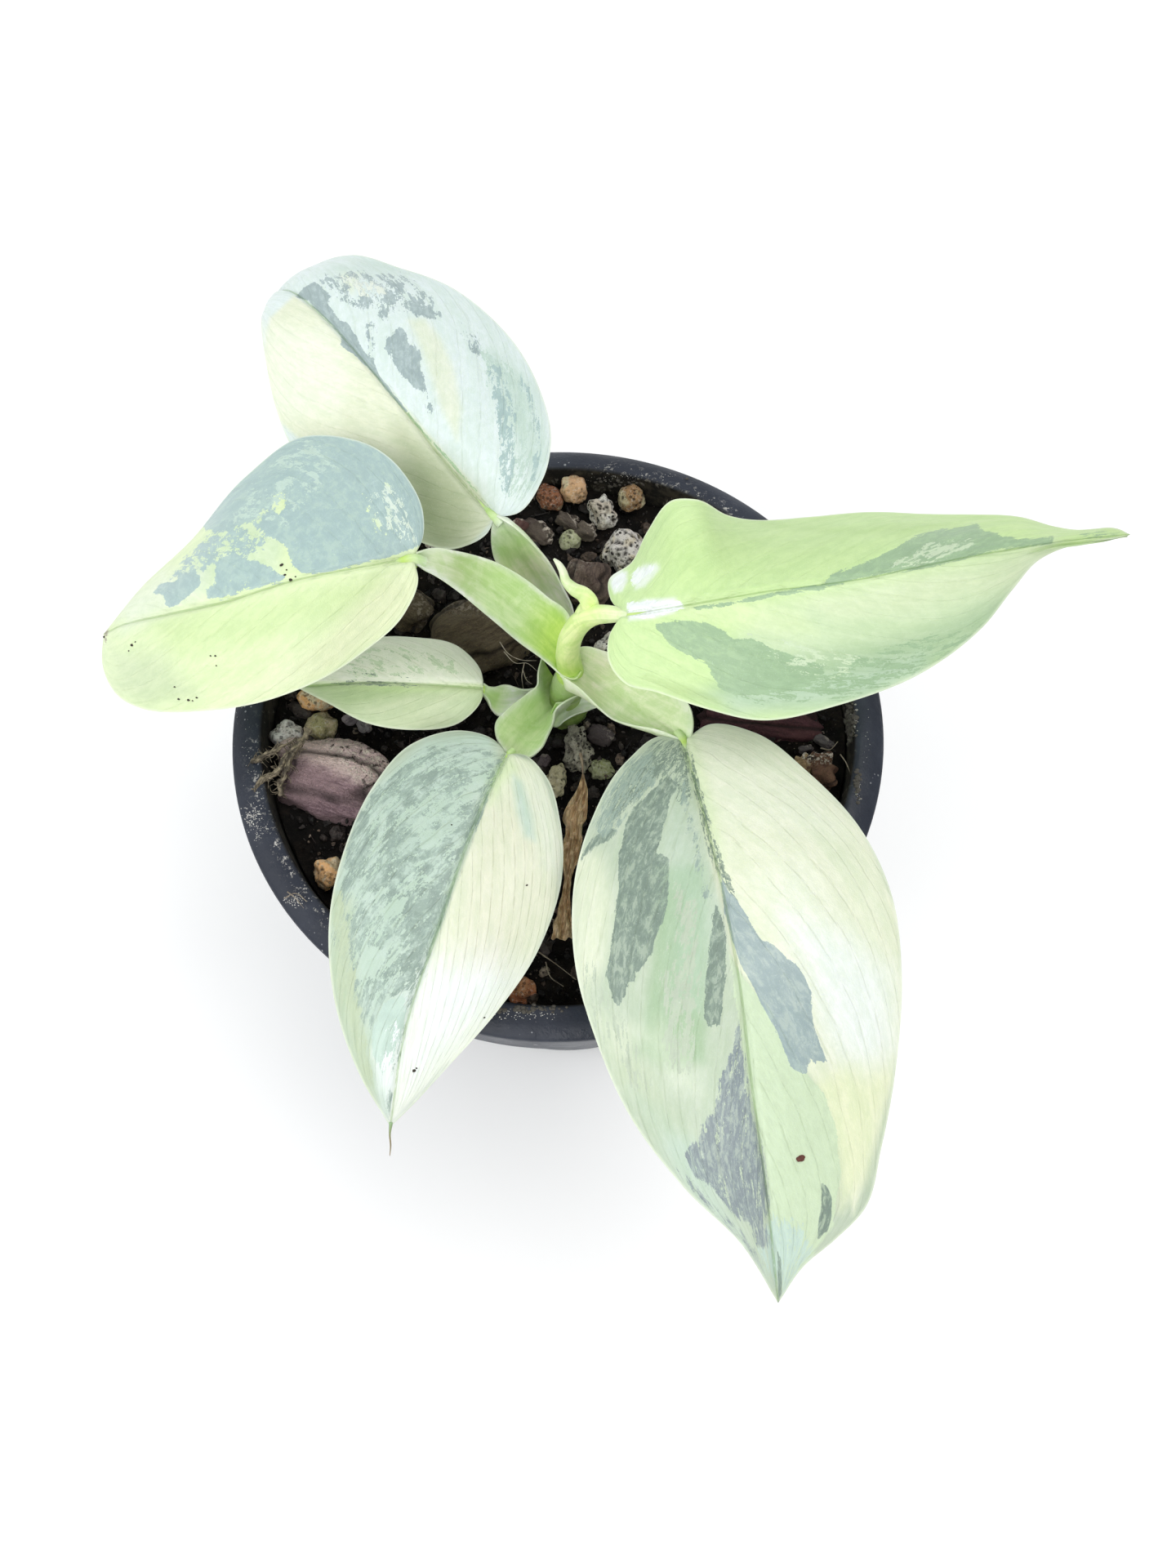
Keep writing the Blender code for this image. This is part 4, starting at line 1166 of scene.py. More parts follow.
@dataclass(frozen=True)
class Leaf:
    """One leaf: lines from the blade's base to its tip in millimetres, its stalk's parts, and its colours."""

    name: str
    ground: Tone
    midrib: tuple
    left: tuple
    right: tuple
    stalk: tuple
    marks: tuple
    arch: float = 1.2
    wave: float = 0.3
    waves: float = 3.0
    spacing: float = 2.4
    blot: float = 1.0
    rows: int = 170
    columns: int = 44
    vein_shade: tuple = (0.88, 0.90, 0.84)
    sweeps: tuple = (0.45, 0.45)   # how far forward the veins run to each margin, as shares of the midrib
    edge: float = 0.30             # thickness at the margin
    body: float = 0.22             # how much thicker it is inside
    groove: float = 0.24           # depth of the midrib's groove
    shoulder: float = 0.10         # height beside the groove
    quilt: float = 0.018           # swelling between lateral veins
    ridge: float = 1.15            # the midrib's height below, at its foot
    ridge_end: float = 0.12        # and at its tip

    def coats(self) -> tuple:
        """The tones of its patches, in the order in which they are laid on."""
        return tuple(dict.fromkeys(mark.tone for mark in self.marks if isinstance(mark, Patch)))

    def coloured(self, shape: Shape, tint: np.ndarray | None = None) -> Shape:
        """Gives a shape its tints and the fields of its coats.

        Args:
            shape: the blade, or a part of the stalk.
            tint: the part's tints, or none for the blade's ground with its washes.

        Returns:
            The same shape.
        """
        places = VIEW.seen(shape.points)
        if tint is None:
            tint = np.tile(np.array(self.ground.value), (len(places), 1))
            for mark in self.marks:
                if isinstance(mark, Wash):
                    tint = mark.over(tint, places)
        shape.values["tint"] = tint
        blade = shape.values["blade"]
        for number, tone in enumerate(self.coats()):
            value = np.full(len(places), OUTSIDE)
            for mark in self.marks:
                if isinstance(mark, Cut) and mark.tone is tone:
                    value = np.minimum(value, -mark.field(places))
                elif isinstance(mark, Patch) and mark.tone is tone:
                    value = np.maximum(value, mark.field(places))
            shape.values[f"coat_{number}"] = value * blade + OUTSIDE * (1 - blade)
        return shape

    def sheet(self) -> Sheet:
        """The arched and rippled upper face, from the midrib out to each margin."""
        rows, columns = self.rows, self.columns
        s = np.linspace(0, 1, rows + 1)
        s = 0.5 * s + 0.5 * ease(s)
        rib = smooth_line(self.midrib, s**1.5)
        margins = [smooth_line(line, s) for line in (self.left, self.right)]
        upward = unit(np.cross(np.gradient(rib, axis=0), margins[0] - margins[1] + 1e-6))
        upward *= np.sign(upward[:, 2:3] + 1e-9)
        full = np.sin(math.pi * s)[:, None]
        ripple = self.wave * np.sin(2 * math.pi * self.waves * s)[:, None] * full
        length = run_length(rib)[-1]
        points, rim, fade, aside = [rib], [np.full(rows + 1, 9.0)], [s], [np.zeros(rows + 1)]
        flow = [np.column_stack((s**1.25 * length * 0.5, s * length))]
        index = [[np.arange(rows + 1)], [np.arange(rows + 1)]]
        count = rows + 1
        for side, (sign, margin, sweep) in enumerate(zip((1, -1), margins, self.sweeps)):
            width = np.linalg.norm(margin - rib, axis=1)
            for column in range(1, columns + 1):
                t = (column / columns)**1.25
                bulge = self.arch * math.sin(math.pi * t**0.8) * full + sign * ripple * t**2
                across = (s**1.25 - sweep * (0.75 * t + 0.25 * t**5)) * length * 0.5
                along = (t * width**2 + s * sweep * length**2) / np.hypot(width, sweep * length)
                for values, value in ((points, rib * (1 - t) + margin * t + upward * bulge), (fade, s),
                                      (flow, np.column_stack((across, along))), (rim, width * (1 - t)),
                                      (aside, sign * t * width)):
                    values.append(value[1:-1])
                index[side].append(np.concatenate(([0], np.arange(count, count + rows - 1), [rows])))
                count += rows - 1
        faces = []
        for sign, grid in zip((1, -1), index):
            for near, far in zip(grid, grid[1:]):
                for row in range(rows):
                    corners = (near[row], near[row + 1], far[row + 1], far[row])
                    ring = tuple(dict.fromkeys(int(corner) for corner in corners))
                    if len(ring) > 2:
                        faces.append(ring[::sign])
        loop = np.concatenate((index[0][-1], index[1][-1][-2:0:-1]))
        return Sheet(*(np.concatenate(part) for part in (points, flow, rim, fade, aside)), faces, loop)

    def blade(self) -> Shape:
        """The blade: both faces, with veins, the midrib's groove and ridge, and a rounded rim."""
        sheet = self.sheet()
        points, rim, fade, loop = sheet.points, sheet.rim, sheet.fade, sheet.loop
        normals = self.normals(points, sheet.faces)
        from_rib = np.abs(sheet.aside)
        ends = ease(fade / 0.05) * ease((1 - fade) / 0.06)
        lift = Lumps(3).at(points, 9.0) * 0.16 + Lumps(4).at(points, 3.5) * 0.05
        groove = -self.groove * bell(from_rib, 0.42) + self.shoulder * bell(from_rib - 1.1, 0.5)
        phase = sheet.flow[:, 0] / self.spacing + 0.25 * Lumps(7).at(points * (1, 1, 0), 12.0)
        quilt = self.quilt * np.cos(2 * math.pi * phase) * ease(from_rib / 2) * ease(rim / 2)
        relief = (lift * ease(rim / 1.5) + groove * (1 - 0.5 * fade) + quilt) * ends
        points = points + normals * relief[:, None]
        ridge = (self.ridge * (1 - fade)**1.2 + self.ridge_end) * bell(from_rib, 0.9 - 0.45 * fade)
        lower = points - normals * (self.edge + self.body * ease(rim / 1.6) + ridge * ends)[:, None]
        total, size = len(points), len(loop)
        band = []
        for i in range(size):
            j = (i + 1) % size
            band.append((int(loop[i]), int(loop[j]), 2 * total + j, 2 * total + i))
            band.append((2 * total + i, 2 * total + j, int(loop[j]) + total, int(loop[i]) + total))
        under = [tuple(i + total for i in face[::-1]) for face in sheet.faces]
        aside = np.concatenate([sheet.aside, sheet.aside, sheet.aside[loop]])
        values = {"rim": np.concatenate([rim, rim, np.zeros(size)]),
                  "under": np.concatenate([np.zeros(total), np.ones(total), np.full(size, 0.3)]),
                  "side": np.clip(aside / 0.8, -1, 1) * 3, "aside": aside,
                  "foot": 1 - ease(np.concatenate([fade, fade, fade[loop]]) / 0.45),
                  "blade": np.ones(2 * total + size)}
        everywhere = np.vstack([points, lower, (points[loop] + lower[loop]) / 2])
        flow = np.vstack([sheet.flow, sheet.flow, sheet.flow[loop]])
        return self.coloured(Shape(everywhere, sheet.faces + under + band, values, flow))

    @staticmethod
    def normals(points: np.ndarray, faces: list) -> np.ndarray:
        """Upward normals of a sheet.

        Args:
            points: its points.
            faces: its faces.

        Returns:
            A normal at each point.
        """
        mesh = bpy.data.meshes.new("probe")
        mesh.from_pydata(points, [], faces)
        found = np.empty(len(points) * 3, np.float32)
        mesh.vertex_normals.foreach_get("vector", found)
        bpy.data.meshes.remove(mesh)
        found = found.reshape(-1, 3).astype(float)
        return found * (1 if found[:, 2].sum() > 0 else -1)

    def build(self) -> bpy.types.Object:
        """The whole leaf as one piece, in place of its CAD node."""
        below = smooth_line(self.midrib, (0.0, 0.03, 0.12, 0.22)) - (0, 0, 1.15)
        ridge = Round(tuple((*place, radius) for place, radius in zip(below, (0.9, 0.9, 0.6, 0.3))),
                      (Tone.CROWN, Tone.CELERY, Tone.CELERY), rings=30, sides=14)
        parts = [self.coloured(*part.shape()) for part in (*self.stalk, ridge)]
        finish = LeafFinish(self.name, self.coats(), self.spacing, self.blot, self.vein_shade)
        return claim(reduce(Shape.joined, parts, self.blade()).build(self.name + "_grown", finish), self.name)


LEAVES = (
    Leaf(
        "leaf_right_new", Tone.LIME,
        midrib=((9.0, -0.5, 119), (17, -0.6, 121.5), (27, 0.5, 123), (40, 2.5, 123), (54, 7, 121),
            (67, 11.5, 117.5), (80.5, 16, 113)),
        left=((9.0, -0.5, 119), (7.5, 3, 117.5), (7.5, 6.5, 116.5), (10.5, 9.5, 116), (12.5, 13, 118),
            (16, 16, 121), (19, 16, 121), (23.5, 16, 117.5), (35.5, 18, 114.5), (48, 19, 114),
            (58.5, 18, 115), (64.5, 17, 115.5), (69, 16, 115), (72, 15.5, 115), (75, 16, 114.5),
            (77.5, 16.5, 114), (79, 16.5, 113.5), (80.5, 16, 113)),
        right=((9.0, -0.5, 119), (7.3, -3, 117.5), (7.3, -5.5, 115.5), (9.5, -8, 114), (13.5, -9, 113.5),
            (19.5, -11, 113), (26.5, -13, 113.5), (36.5, -11.5, 114), (48, -7, 115), (56.5, -1, 116),
            (61.5, 5, 116.5), (66, 10, 116), (69.5, 12, 115.5), (72.5, 13, 115), (75.5, 14, 114.5),
            (78, 15, 113.5), (80.5, 16, 113)),
        stalk=(
            Round(((2.0, 3.0, 95, 2.1), (1.9, 2.9, 98, 2.0), (1.7, 2.7, 102, 1.75), (2.1, 2.5, 107.5, 1.65),
                (3.9, 2.1, 113, 1.5), (6.1, 1.0, 116.5, 1.3), (7.8, 0.2, 117.9, 1.1),
                (9.8, -0.5, 118.4, 0.7)), (Tone.CROWN, Tone.CROWN, Tone.SHOOT, Tone.SHOOT, Tone.SHOOT,
                Tone.PALE_LIME)),
            Round(((3.0, 2.5, 110.5, 1.1), (4.3, 2.7, 114, 1.35), (4.8, 2.9, 116.3, 1.2),
                (4.0, 3.3, 117.8, 1.0), (2.7, 3.5, 118.8, 0.82), (1.7, 4.1, 119.8, 0.62),
                (1.3, 5.0, 120.7, 0.48), (0.8, 5.5, 121.6, 0.36), (0.2, 5.8, 122.3, 0.12)), (Tone.SHOOT,
                Tone.SHOOT, Tone.SHOOT, Tone.PALE_LIME, Tone.CREAM)),
        ),
        marks=(
            Wash(Tone.DEEP_LIME, (790, 640, 950, 630, 1200, 625, 1230, 650, 1100, 660, 1000, 700, 860, 730,
                820, 700), 0.25, 70),
            Wash(Tone.CELERY, (930, 745, 1100, 705, 1290, 665, 1285, 700, 1200, 790, 1060, 860, 900, 870,
                900, 780), 0.75, 44),
            Wash(Tone.BUTTER, (980, 735, 1100, 705, 1200, 690, 1290, 665, 1285, 690, 1240, 720, 1120, 745,
                1020, 760), 0.30, 34),
            Wash(Tone.PALE_LIME, (800, 740, 900, 735, 980, 745, 1000, 775, 930, 775, 850, 760), 0.6, 26),
            Wash(Tone.SAGE, (960, 800, 1050, 790, 1130, 772, 1240, 725, 1290, 690, 1240, 760, 1150, 820,
                1050, 862, 900, 872, 850, 850), 0.62, 34),
            Wash(Tone.MINT, (880, 850, 1000, 830, 1130, 800, 1130, 830, 1000, 870, 900, 870), 0.4, 40),
            Wash(Tone.DEEP_LIME, (930, 640, 1050, 648, 1120, 640, 1180, 642, 1110, 654, 1000, 652), 0.5,
                14),
            Wash(Tone.OLIVE, (790, 828, 830, 840, 880, 858, 830, 850), 0.35, 16),
            Patch(Tone.SAGE, (800, 765, 830, 760, 855, 762, 880, 770, 900, 782, 925, 782, 945, 792,
                970, 802, 1000, 812, 1012, 822, 990, 838, 960, 845, 930, 850, 900, 852, 880, 842, 868, 815,
                840, 800, 815, 785), 1.0, 9),
            Patch(Tone.SAGE, (870, 850, 960, 835, 1000, 806, 1080, 800, 1140, 780, 1200, 752, 1235, 730,
                1200, 785, 1120, 830, 1050, 858, 960, 868, 900, 866), 0.50, 22),
            Patch(Tone.SAGE, (1040, 800, 1100, 786, 1160, 768, 1150, 790, 1090, 812, 1040, 820), 0.6, 14),
            # Painted highlights: the chalk-white washes and patches below are the lamps' glare on the blade
            # near its base.
            Wash(Tone.CHALK, (747, 700, 756, 697, 768, 700, 768, 712, 762, 724, 752, 727, 747, 716), 0.8,
                5),
            Wash(Tone.CHALK, (776, 702, 788, 692, 804, 690, 808, 696, 800, 706, 790, 718, 778, 722), 0.75,
                7),
            Wash(Tone.CHALK, (768, 742, 790, 734, 826, 732, 832, 740, 826, 750, 800, 757, 770, 760), 0.85,
                7),
            Patch(Tone.CHALK, (748, 708, 762, 700, 770, 704, 764, 716, 750, 722), 0.85, 7),
            Patch(Tone.CHALK, (770, 702, 784, 692, 806, 688, 800, 700, 786, 712, 774, 720), 0.75, 9),
            Patch(Tone.CHALK, (766, 738, 800, 734, 832, 736, 840, 744, 818, 752, 790, 757, 770, 756), 0.90,
                8),
            Patch(Tone.SAGE, (1318, 652, 1345, 645, 1375, 650, 1372, 662, 1330, 664), 0.45, 12),
            Patch(Tone.SAGE, (1000, 722, 1020, 700, 1050, 692, 1075, 680, 1100, 668, 1120, 655, 1150, 648,
                1195, 641, 1207, 650, 1240, 658, 1290, 658, 1290, 668, 1250, 670, 1215, 675, 1190, 682,
                1160, 690, 1130, 697, 1100, 701, 1060, 707, 1030, 715), 0.9, 9),
            Patch(Tone.CELERY, (1085, 695, 1112, 676, 1140, 662, 1190, 656, 1195, 668, 1160, 684,
                1120, 696), 0.55, 9),
            Patch(Tone.SAGE, (850, 743, 900, 735, 950, 724, 1000, 715, 1010, 722, 950, 731, 900, 741,
                850, 748), 0.80, 4),
            Patch(Tone.CELERY, (905, 770, 960, 775, 1010, 792, 1060, 800, 1040, 830, 980, 830, 930, 800),
                0.32, 16),
        ),
        arch=1.0, wave=0.35, waves=4.0, spacing=3.2, blot=0.8, vein_shade=(0.965, 0.97, 0.95)),
    Leaf(
        "leaf_front_right", Tone.PALE_FERN,
        midrib=((18, -10.5, 101.5), (20, -22.5, 105), (22, -35, 107), (23.5, -46, 106.5), (25, -58, 102),
            (27, -69, 95), (29.5, -83, 83)),
        left=((18, -10.5, 101.5), (21.5, -8, 101.5), (28, -9.5, 102), (34.5, -15.5, 103), (41, -24, 103.5),
            (44.5, -33.5, 103), (45.2, -44, 101.5), (44.2, -55, 98), (42.2, -64.5, 94.2),
            (40.2, -71.8, 90.6), (36.6, -75.4, 88.6), (32.6, -78.6, 86.6), (29.5, -83, 83)),
        right=((18, -10.5, 101.5), (15, -9.5, 101), (10, -13.5, 101.5), (5, -23, 102.5), (2.6, -33.5, 103),
            (3, -43, 102), (5.5, -51.5, 99.5), (10, -61, 96.5), (17, -69.5, 92.5), (24.5, -76, 88),
            (29.5, -83, 83)),
        stalk=(
            Channel(
                near=((686, 826, 99.0), (696, 833, 99.2), (710, 843, 98.8), (730, 862, 98.4),
                    (750, 879, 99.0), (776, 888, 100.0), (804, 893, 101.0), (828, 902, 101.5),
                    (840, 909, 101.5)),
                keel=((700, 812, 97.0), (712, 820, 97.0), (742, 842, 97.2), (772, 862, 98.2),
                    (800, 880, 99.4), (824, 896, 100.5), (841, 910, 101.0)),
                far=((704, 798, 98.4), (712, 793, 98.4), (744, 798, 99.0), (790, 814, 101.0),
                    (828, 846, 102.6), (846, 870, 102.9), (848, 890, 102.4), (843, 908, 101.6)),
                tones=(Tone.PALE_LIME, Tone.BUTTER, Tone.PALE_LIME, Tone.PALE_LIME, Tone.PALE_LIME,
                    Tone.LIME), pale=0.45, heel=2.6),
            Round(((17.2, -8.8, 100.7, 0.7), (18.0, -10.4, 101.1, 0.75), (18.3, -12.0, 101.4, 0.30)),
                (Tone.LIME, Tone.LIME, Tone.CROWN, Tone.CELERY), rings=26, sides=18),
        ),
        marks=(
            Wash(Tone.CREAM, (838, 903, 870, 885, 930, 895, 1000, 955, 1060, 1020, 1100, 1120, 1110, 1250,
                1080, 1370, 1045, 1490, 1030, 1400, 1010, 1340, 985, 1310, 945, 1240, 897, 1180, 880, 1100,
                862, 1020), 1.0, 8),
            Wash(Tone.IVORY, (980, 1060, 1040, 1140, 1080, 1240, 1070, 1320, 1020, 1300, 985, 1180,
                930, 1080), 0.4, 60),
            Wash(Tone.CELERY, (950, 960, 1010, 1010, 1060, 1090, 1080, 1130, 1040, 1080, 980, 1010), 0.25,
                30),
            Wash(Tone.MILK, (850, 900, 930, 900, 1000, 960, 1040, 1020, 960, 1020, 900, 1000, 870, 960),
                0.5, 50),
            Wash(Tone.BUTTER, (1000, 1330, 1060, 1290, 1090, 1320, 1060, 1440, 1030, 1480, 1020, 1400),
                0.85, 30),
            Wash(Tone.LIME, (838, 903, 850, 900, 880, 1010, 890, 1080, 870, 1040), 0.35, 24),
            # Painted highlight: the lamps' glare on the right half of the blade.
            Wash(Tone.CHALK, (960, 1120, 1040, 1150, 1090, 1190, 1098, 1280, 1060, 1310, 1015, 1270,
                990, 1190), 0.8, 60),
            Wash(Tone.CREAM, (700, 1040, 735, 1045, 750, 1100, 740, 1180, 715, 1220, 700, 1180), 0.75, 30),
            Wash(Tone.CREAM, (720, 1230, 770, 1260, 800, 1340, 760, 1330), 0.45, 40),
            Wash(Tone.SAGE, (806, 1060, 866, 1060, 864, 1300, 820, 1310, 780, 1290, 800, 1180), 0.75, 24),
            Wash(Tone.MINT, (770, 1330, 850, 1400, 900, 1500, 940, 1570, 830, 1440), 0.5, 30),
            Wash(Tone.MINT, (830, 960, 870, 1090, 885, 1120, 860, 1240, 820, 1230, 825, 1100, 810, 1040),
                0.28, 40),
            Wash(Tone.MILK, (770, 1260, 810, 1250, 840, 1300, 860, 1340, 820, 1330), 0.30, 40),
            Patch(Tone.PALE_SAGE, (826, 1060, 840, 1090, 858, 1100, 860, 1240, 850, 1330, 820, 1320,
                800, 1260, 806, 1190, 824, 1130), 0.50, 20),
            Patch(Tone.PALE_SAGE, (705, 1170, 735, 1180, 760, 1240, 800, 1300, 800, 1360, 760, 1330,
                715, 1240), 0.42, 24),
            Wash(Tone.MOSS, (740, 1290, 790, 1300, 840, 1380, 800, 1400), 0.45, 40),
            Patch(Tone.CELERY, (893, 1165, 905, 1190, 945, 1240, 985, 1310, 1010, 1340, 1024, 1385,
                1030, 1440, 1020, 1500, 990, 1545, 960, 1598, 948, 1540, 944, 1490, 938, 1420, 922, 1350,
                912, 1300, 903, 1240), 1.0, 9),
            Patch(Tone.MINT, (944, 1480, 985, 1500, 1000, 1530, 960, 1598, 935, 1560, 925, 1530), 0.8, 30),
            Patch(Tone.SLATE, (820, 950, 826, 958, 822, 975, 815, 1000, 808, 1030, 800, 1048, 812, 1045,
                818, 1052, 819, 1075, 817, 1100, 812, 1130, 802, 1150, 798, 1168, 788, 1182, 782, 1190,
                777, 1185, 777, 1200, 768, 1203, 764, 1220, 758, 1232, 750, 1225, 747, 1205, 742, 1195,
                745, 1175, 748, 1160, 752, 1130, 755, 1110, 758, 1090, 757, 1060, 757, 1045, 762, 1035,
                765, 1008, 775, 990, 790, 975, 805, 962), 0.97, 7),
            Patch(Tone.SLATE, (800, 915, 770, 935, 752, 962, 742, 990, 738, 1012, 752, 1008, 768, 996,
                785, 980, 800, 962, 818, 938), 0.82, 12),
            Patch(Tone.SLATE, (728, 1022, 750, 1012, 758, 1018, 748, 1030, 730, 1036, 718, 1048, 710, 1056,
                714, 1040), 0.9, 8),
            Patch(Tone.SLATE, (838, 903, 800, 905, 780, 925, 800, 955, 828, 985, 850, 980, 846, 930), 0.62,
                10),
            Patch(Tone.FERN, (800, 912, 765, 930, 735, 975, 722, 1015, 735, 1030, 757, 1022, 775, 990,
                806, 960), 0.62, 10),
            Patch(Tone.FERN, (834, 940, 850, 990, 862, 1050, 872, 1100, 862, 1105, 846, 1060, 838, 1010,
                830, 970), 0.45, 8),
            Patch(Tone.SLATE, (876, 1105, 884, 1120, 889, 1150, 889, 1190, 885, 1230, 882, 1256, 866, 1256,
                862, 1245, 865, 1200, 869, 1160, 872, 1120), 0.93, 7),
            Patch(Tone.STEEL, (904, 1240, 911, 1285, 919, 1340, 928, 1385, 938, 1425, 942, 1460, 943, 1485,
                938, 1500, 944, 1520, 938, 1532, 925, 1525, 918, 1502, 900, 1492, 885, 1475, 868, 1455,
                850, 1440, 838, 1418, 840, 1405, 852, 1395, 858, 1375, 870, 1360, 880, 1340, 880, 1320,
                889, 1300, 895, 1275), 0.80, 11),
            Patch(Tone.STEEL, (820, 1425, 850, 1445, 880, 1475, 905, 1500, 930, 1530, 945, 1580, 925, 1560,
                895, 1515, 850, 1470), 0.45, 16),
            Patch(Tone.SLATE, (1006, 1447, 1014, 1455, 1019, 1470, 1018, 1492, 1012, 1508, 1002, 1518,
                1002, 1500, 1005, 1480), 0.97, 6),
            Patch(Tone.SLATE, (952, 1530, 957, 1545, 958, 1580, 953, 1598, 952, 1570), 0.9, 5),
            Patch(Tone.SLATE, (845, 905, 858, 960, 872, 1010, 886, 1050, 898, 1085, 908, 1108, 896, 1104,
                884, 1080, 868, 1050, 858, 1010, 846, 950), 0.62, 5),
            Patch(Tone.SLATE_BLUE, (882, 1075, 893, 1092, 905, 1105, 915, 1122, 925, 1140, 935, 1152,
                950, 1158, 960, 1170, 975, 1182, 985, 1195, 993, 1215, 992, 1230, 995, 1250, 1000, 1265,
                1006, 1285, 1011, 1299, 1000, 1302, 992, 1298, 989, 1313, 978, 1313, 968, 1305, 962, 1290,
                955, 1272, 945, 1250, 930, 1225, 918, 1200, 905, 1175, 896, 1150, 887, 1115), 1.0, 6),
        ),
        arch=1.6, wave=0.25, spacing=3.3, blot=0.85, vein_shade=(0.88, 0.89, 0.85), sweeps=(0.5, 0.6)),
    Leaf(
        "leaf_front_left", Tone.PALE_SAGE,
        midrib=((-7, -10.5, 97), (-9.5, -17, 98.5), (-13, -28.5, 99.5), (-16, -38.5, 98.5),
            (-19.5, -49.5, 95.5), (-21.6, -61.5, 90)),
        left=((-7, -10.5, 97), (-5, -10.5, 97), (-1.5, -14, 97.5), (0.7, -21, 98), (1, -29.5, 97.5),
            (-2, -39, 96.5), (-7.5, -47.2, 95), (-14, -54.2, 93), (-19, -59.2, 91), (-21.6, -61.5, 90)),
        right=((-7, -10.5, 97), (-9, -8.2, 97), (-13.5, -6.7, 97), (-20.5, -9, 97.5), (-26, -16, 97.5),
            (-29.5, -26.5, 97.5), (-30.5, -37.5, 96.5), (-29.3, -46, 95), (-25.5, -55.5, 92),
            (-21.6, -61.5, 90)),
        stalk=(
            Channel(
                near=((664, 806, 94.0), (660, 822, 93.6), (658, 840, 93.4), (648, 848, 93.6),
                    (620, 870, 94.6), (608, 884, 95.4), (608, 900, 96.0), (615, 914, 96.6),
                    (621, 922, 96.9)),
                keel=((690, 845, 89.5), (684, 855, 88.6), (668, 874, 89.0), (650, 890, 91.0),
                    (634, 906, 94.0), (623, 922, 96.4)),
                far=((708, 850, 93.6), (692, 858, 93.2), (680, 868, 92.8), (676, 884, 93.0),
                    (670, 900, 93.8), (662, 916, 95.0), (646, 927, 96.2), (628, 926, 96.9)),
                tones=(Tone.OLIVE, Tone.LIME, Tone.LIME, Tone.LIME, Tone.REED), pale=0.6),
            Channel(
                near=((672, 886, 89.5), (680, 890, 89.0), (690, 882, 89.2), (702, 875, 89.6),
                    (718, 870, 90.4), (729, 865, 91.2)),
                keel=((676, 874, 90.4), (686, 874, 89.4), (697, 868, 89.0), (710, 862, 89.8),
                    (721, 861, 90.6), (730, 864, 91.1)),
                far=((681, 862, 92.2), (692, 861, 92.2), (702, 857, 91.8), (711, 851, 91.6),
                    (723, 854, 91.8), (731, 862, 91.3)),
                tones=(Tone.DEEP_LIME, Tone.CELERY, Tone.CELERY, Tone.IVORY), thick=0.6, pale=0.5, rings=50,
                    columns=15),
            Round(((-6.3, -9.4, 95.9, 0.5), (-7.0, -10.6, 96.4, 0.65), (-7.6, -12.0, 96.7, 0.25)),
                (Tone.LIME, Tone.LIME, Tone.CROWN, Tone.CELERY), rings=26, sides=18),
            Round(((-21.5, -60.9, 90.2, 0.30), (-21.7, -62.4, 89.4, 0.17), (-21.6, -63.8, 88.8, 0.12),
                (-21.7, -65.0, 88.3, 0.07)), (Tone.SAGE, Tone.DRY, Tone.DRY), rings=24, sides=10),
        ),
        marks=(
            Wash(Tone.MINT, (600, 895, 520, 905, 450, 970, 410, 1080, 400, 1150, 430, 1290, 475, 1375,
                500, 1250, 560, 1080, 610, 940), 0.75, 20),
            Wash(Tone.CREAM, (622, 923, 660, 935, 690, 1030, 680, 1110, 640, 1200, 600, 1260, 540, 1310,
                476, 1378, 485, 1310, 502, 1245, 522, 1185, 543, 1128, 555, 1090, 578, 1030, 596, 980), 1.0,
                7),
            # Painted highlight: the white glare on the lower part of the blade.
            Wash(Tone.CHALK, (498, 1250, 518, 1180, 600, 1170, 640, 1200, 540, 1310, 478, 1378), 1.0, 90),
            Wash(Tone.IVORY, (655, 925, 690, 1010, 690, 1090, 665, 1060, 645, 980), 0.5, 30),
            Wash(Tone.PINK, (590, 980, 650, 980, 670, 1100, 620, 1200, 550, 1180), 0.28, 60),
            Wash(Tone.MOSS, (402, 1090, 430, 1100, 435, 1200, 452, 1280, 460, 1350, 440, 1330, 405, 1200),
                0.85, 24),
            Wash(Tone.LIME, (622, 923, 632, 940, 615, 960, 602, 985, 600, 960), 0.5, 20),
            Patch(Tone.FERN, (622, 925, 570, 905, 520, 912, 455, 965, 425, 1030, 408, 1100, 402, 1150,
                415, 1200, 436, 1250, 455, 1285, 480, 1250, 505, 1235, 522, 1183, 543, 1128, 577, 1030,
                600, 980), 0.60, 14),
            Patch(Tone.FERN, (500, 1105, 520, 1098, 545, 1090, 555, 1092, 543, 1128, 530, 1160, 520, 1185,
                508, 1210, 490, 1205, 485, 1170, 505, 1150, 490, 1140), 0.84, 12),
            Patch(Tone.FERN, (455, 1045, 470, 1000, 500, 1000, 530, 1035, 500, 1080, 480, 1095, 455, 1080),
                0.75, 16),
            Patch(Tone.FERN, (425, 1020, 440, 985, 456, 998, 452, 1050, 432, 1070, 418, 1064), 0.85, 10),
            Patch(Tone.MOSS, (404, 1080, 418, 1080, 430, 1140, 440, 1220, 458, 1290, 466, 1340, 450, 1330,
                425, 1270, 406, 1180), 0.55, 12),
            Patch(Tone.FERN, (590, 985, 560, 1010, 545, 1030, 560, 1035, 580, 1020, 592, 1000), 0.85, 10),
            Patch(Tone.FERN, (486, 1250, 500, 1245, 492, 1290, 485, 1310, 478, 1320, 478, 1290), 0.55, 8),
            Patch(Tone.FERN, (478, 1330, 482, 1340, 478, 1375, 472, 1370, 470, 1345), 0.55, 8),
            Cut(Tone.FERN, (462, 1015, 464, 998, 476, 990, 474, 1012), 0.9, 8),
            Cut(Tone.FERN, (512, 1038, 522, 1025, 545, 1010, 542, 1026, 528, 1040), 0.9, 9),
            Cut(Tone.FERN, (565, 965, 590, 950, 600, 960, 575, 972), 0.9, 8),
            Cut(Tone.FERN, (432, 1200, 430, 1170, 450, 1155, 478, 1160, 470, 1185, 450, 1205), 0.85, 14),
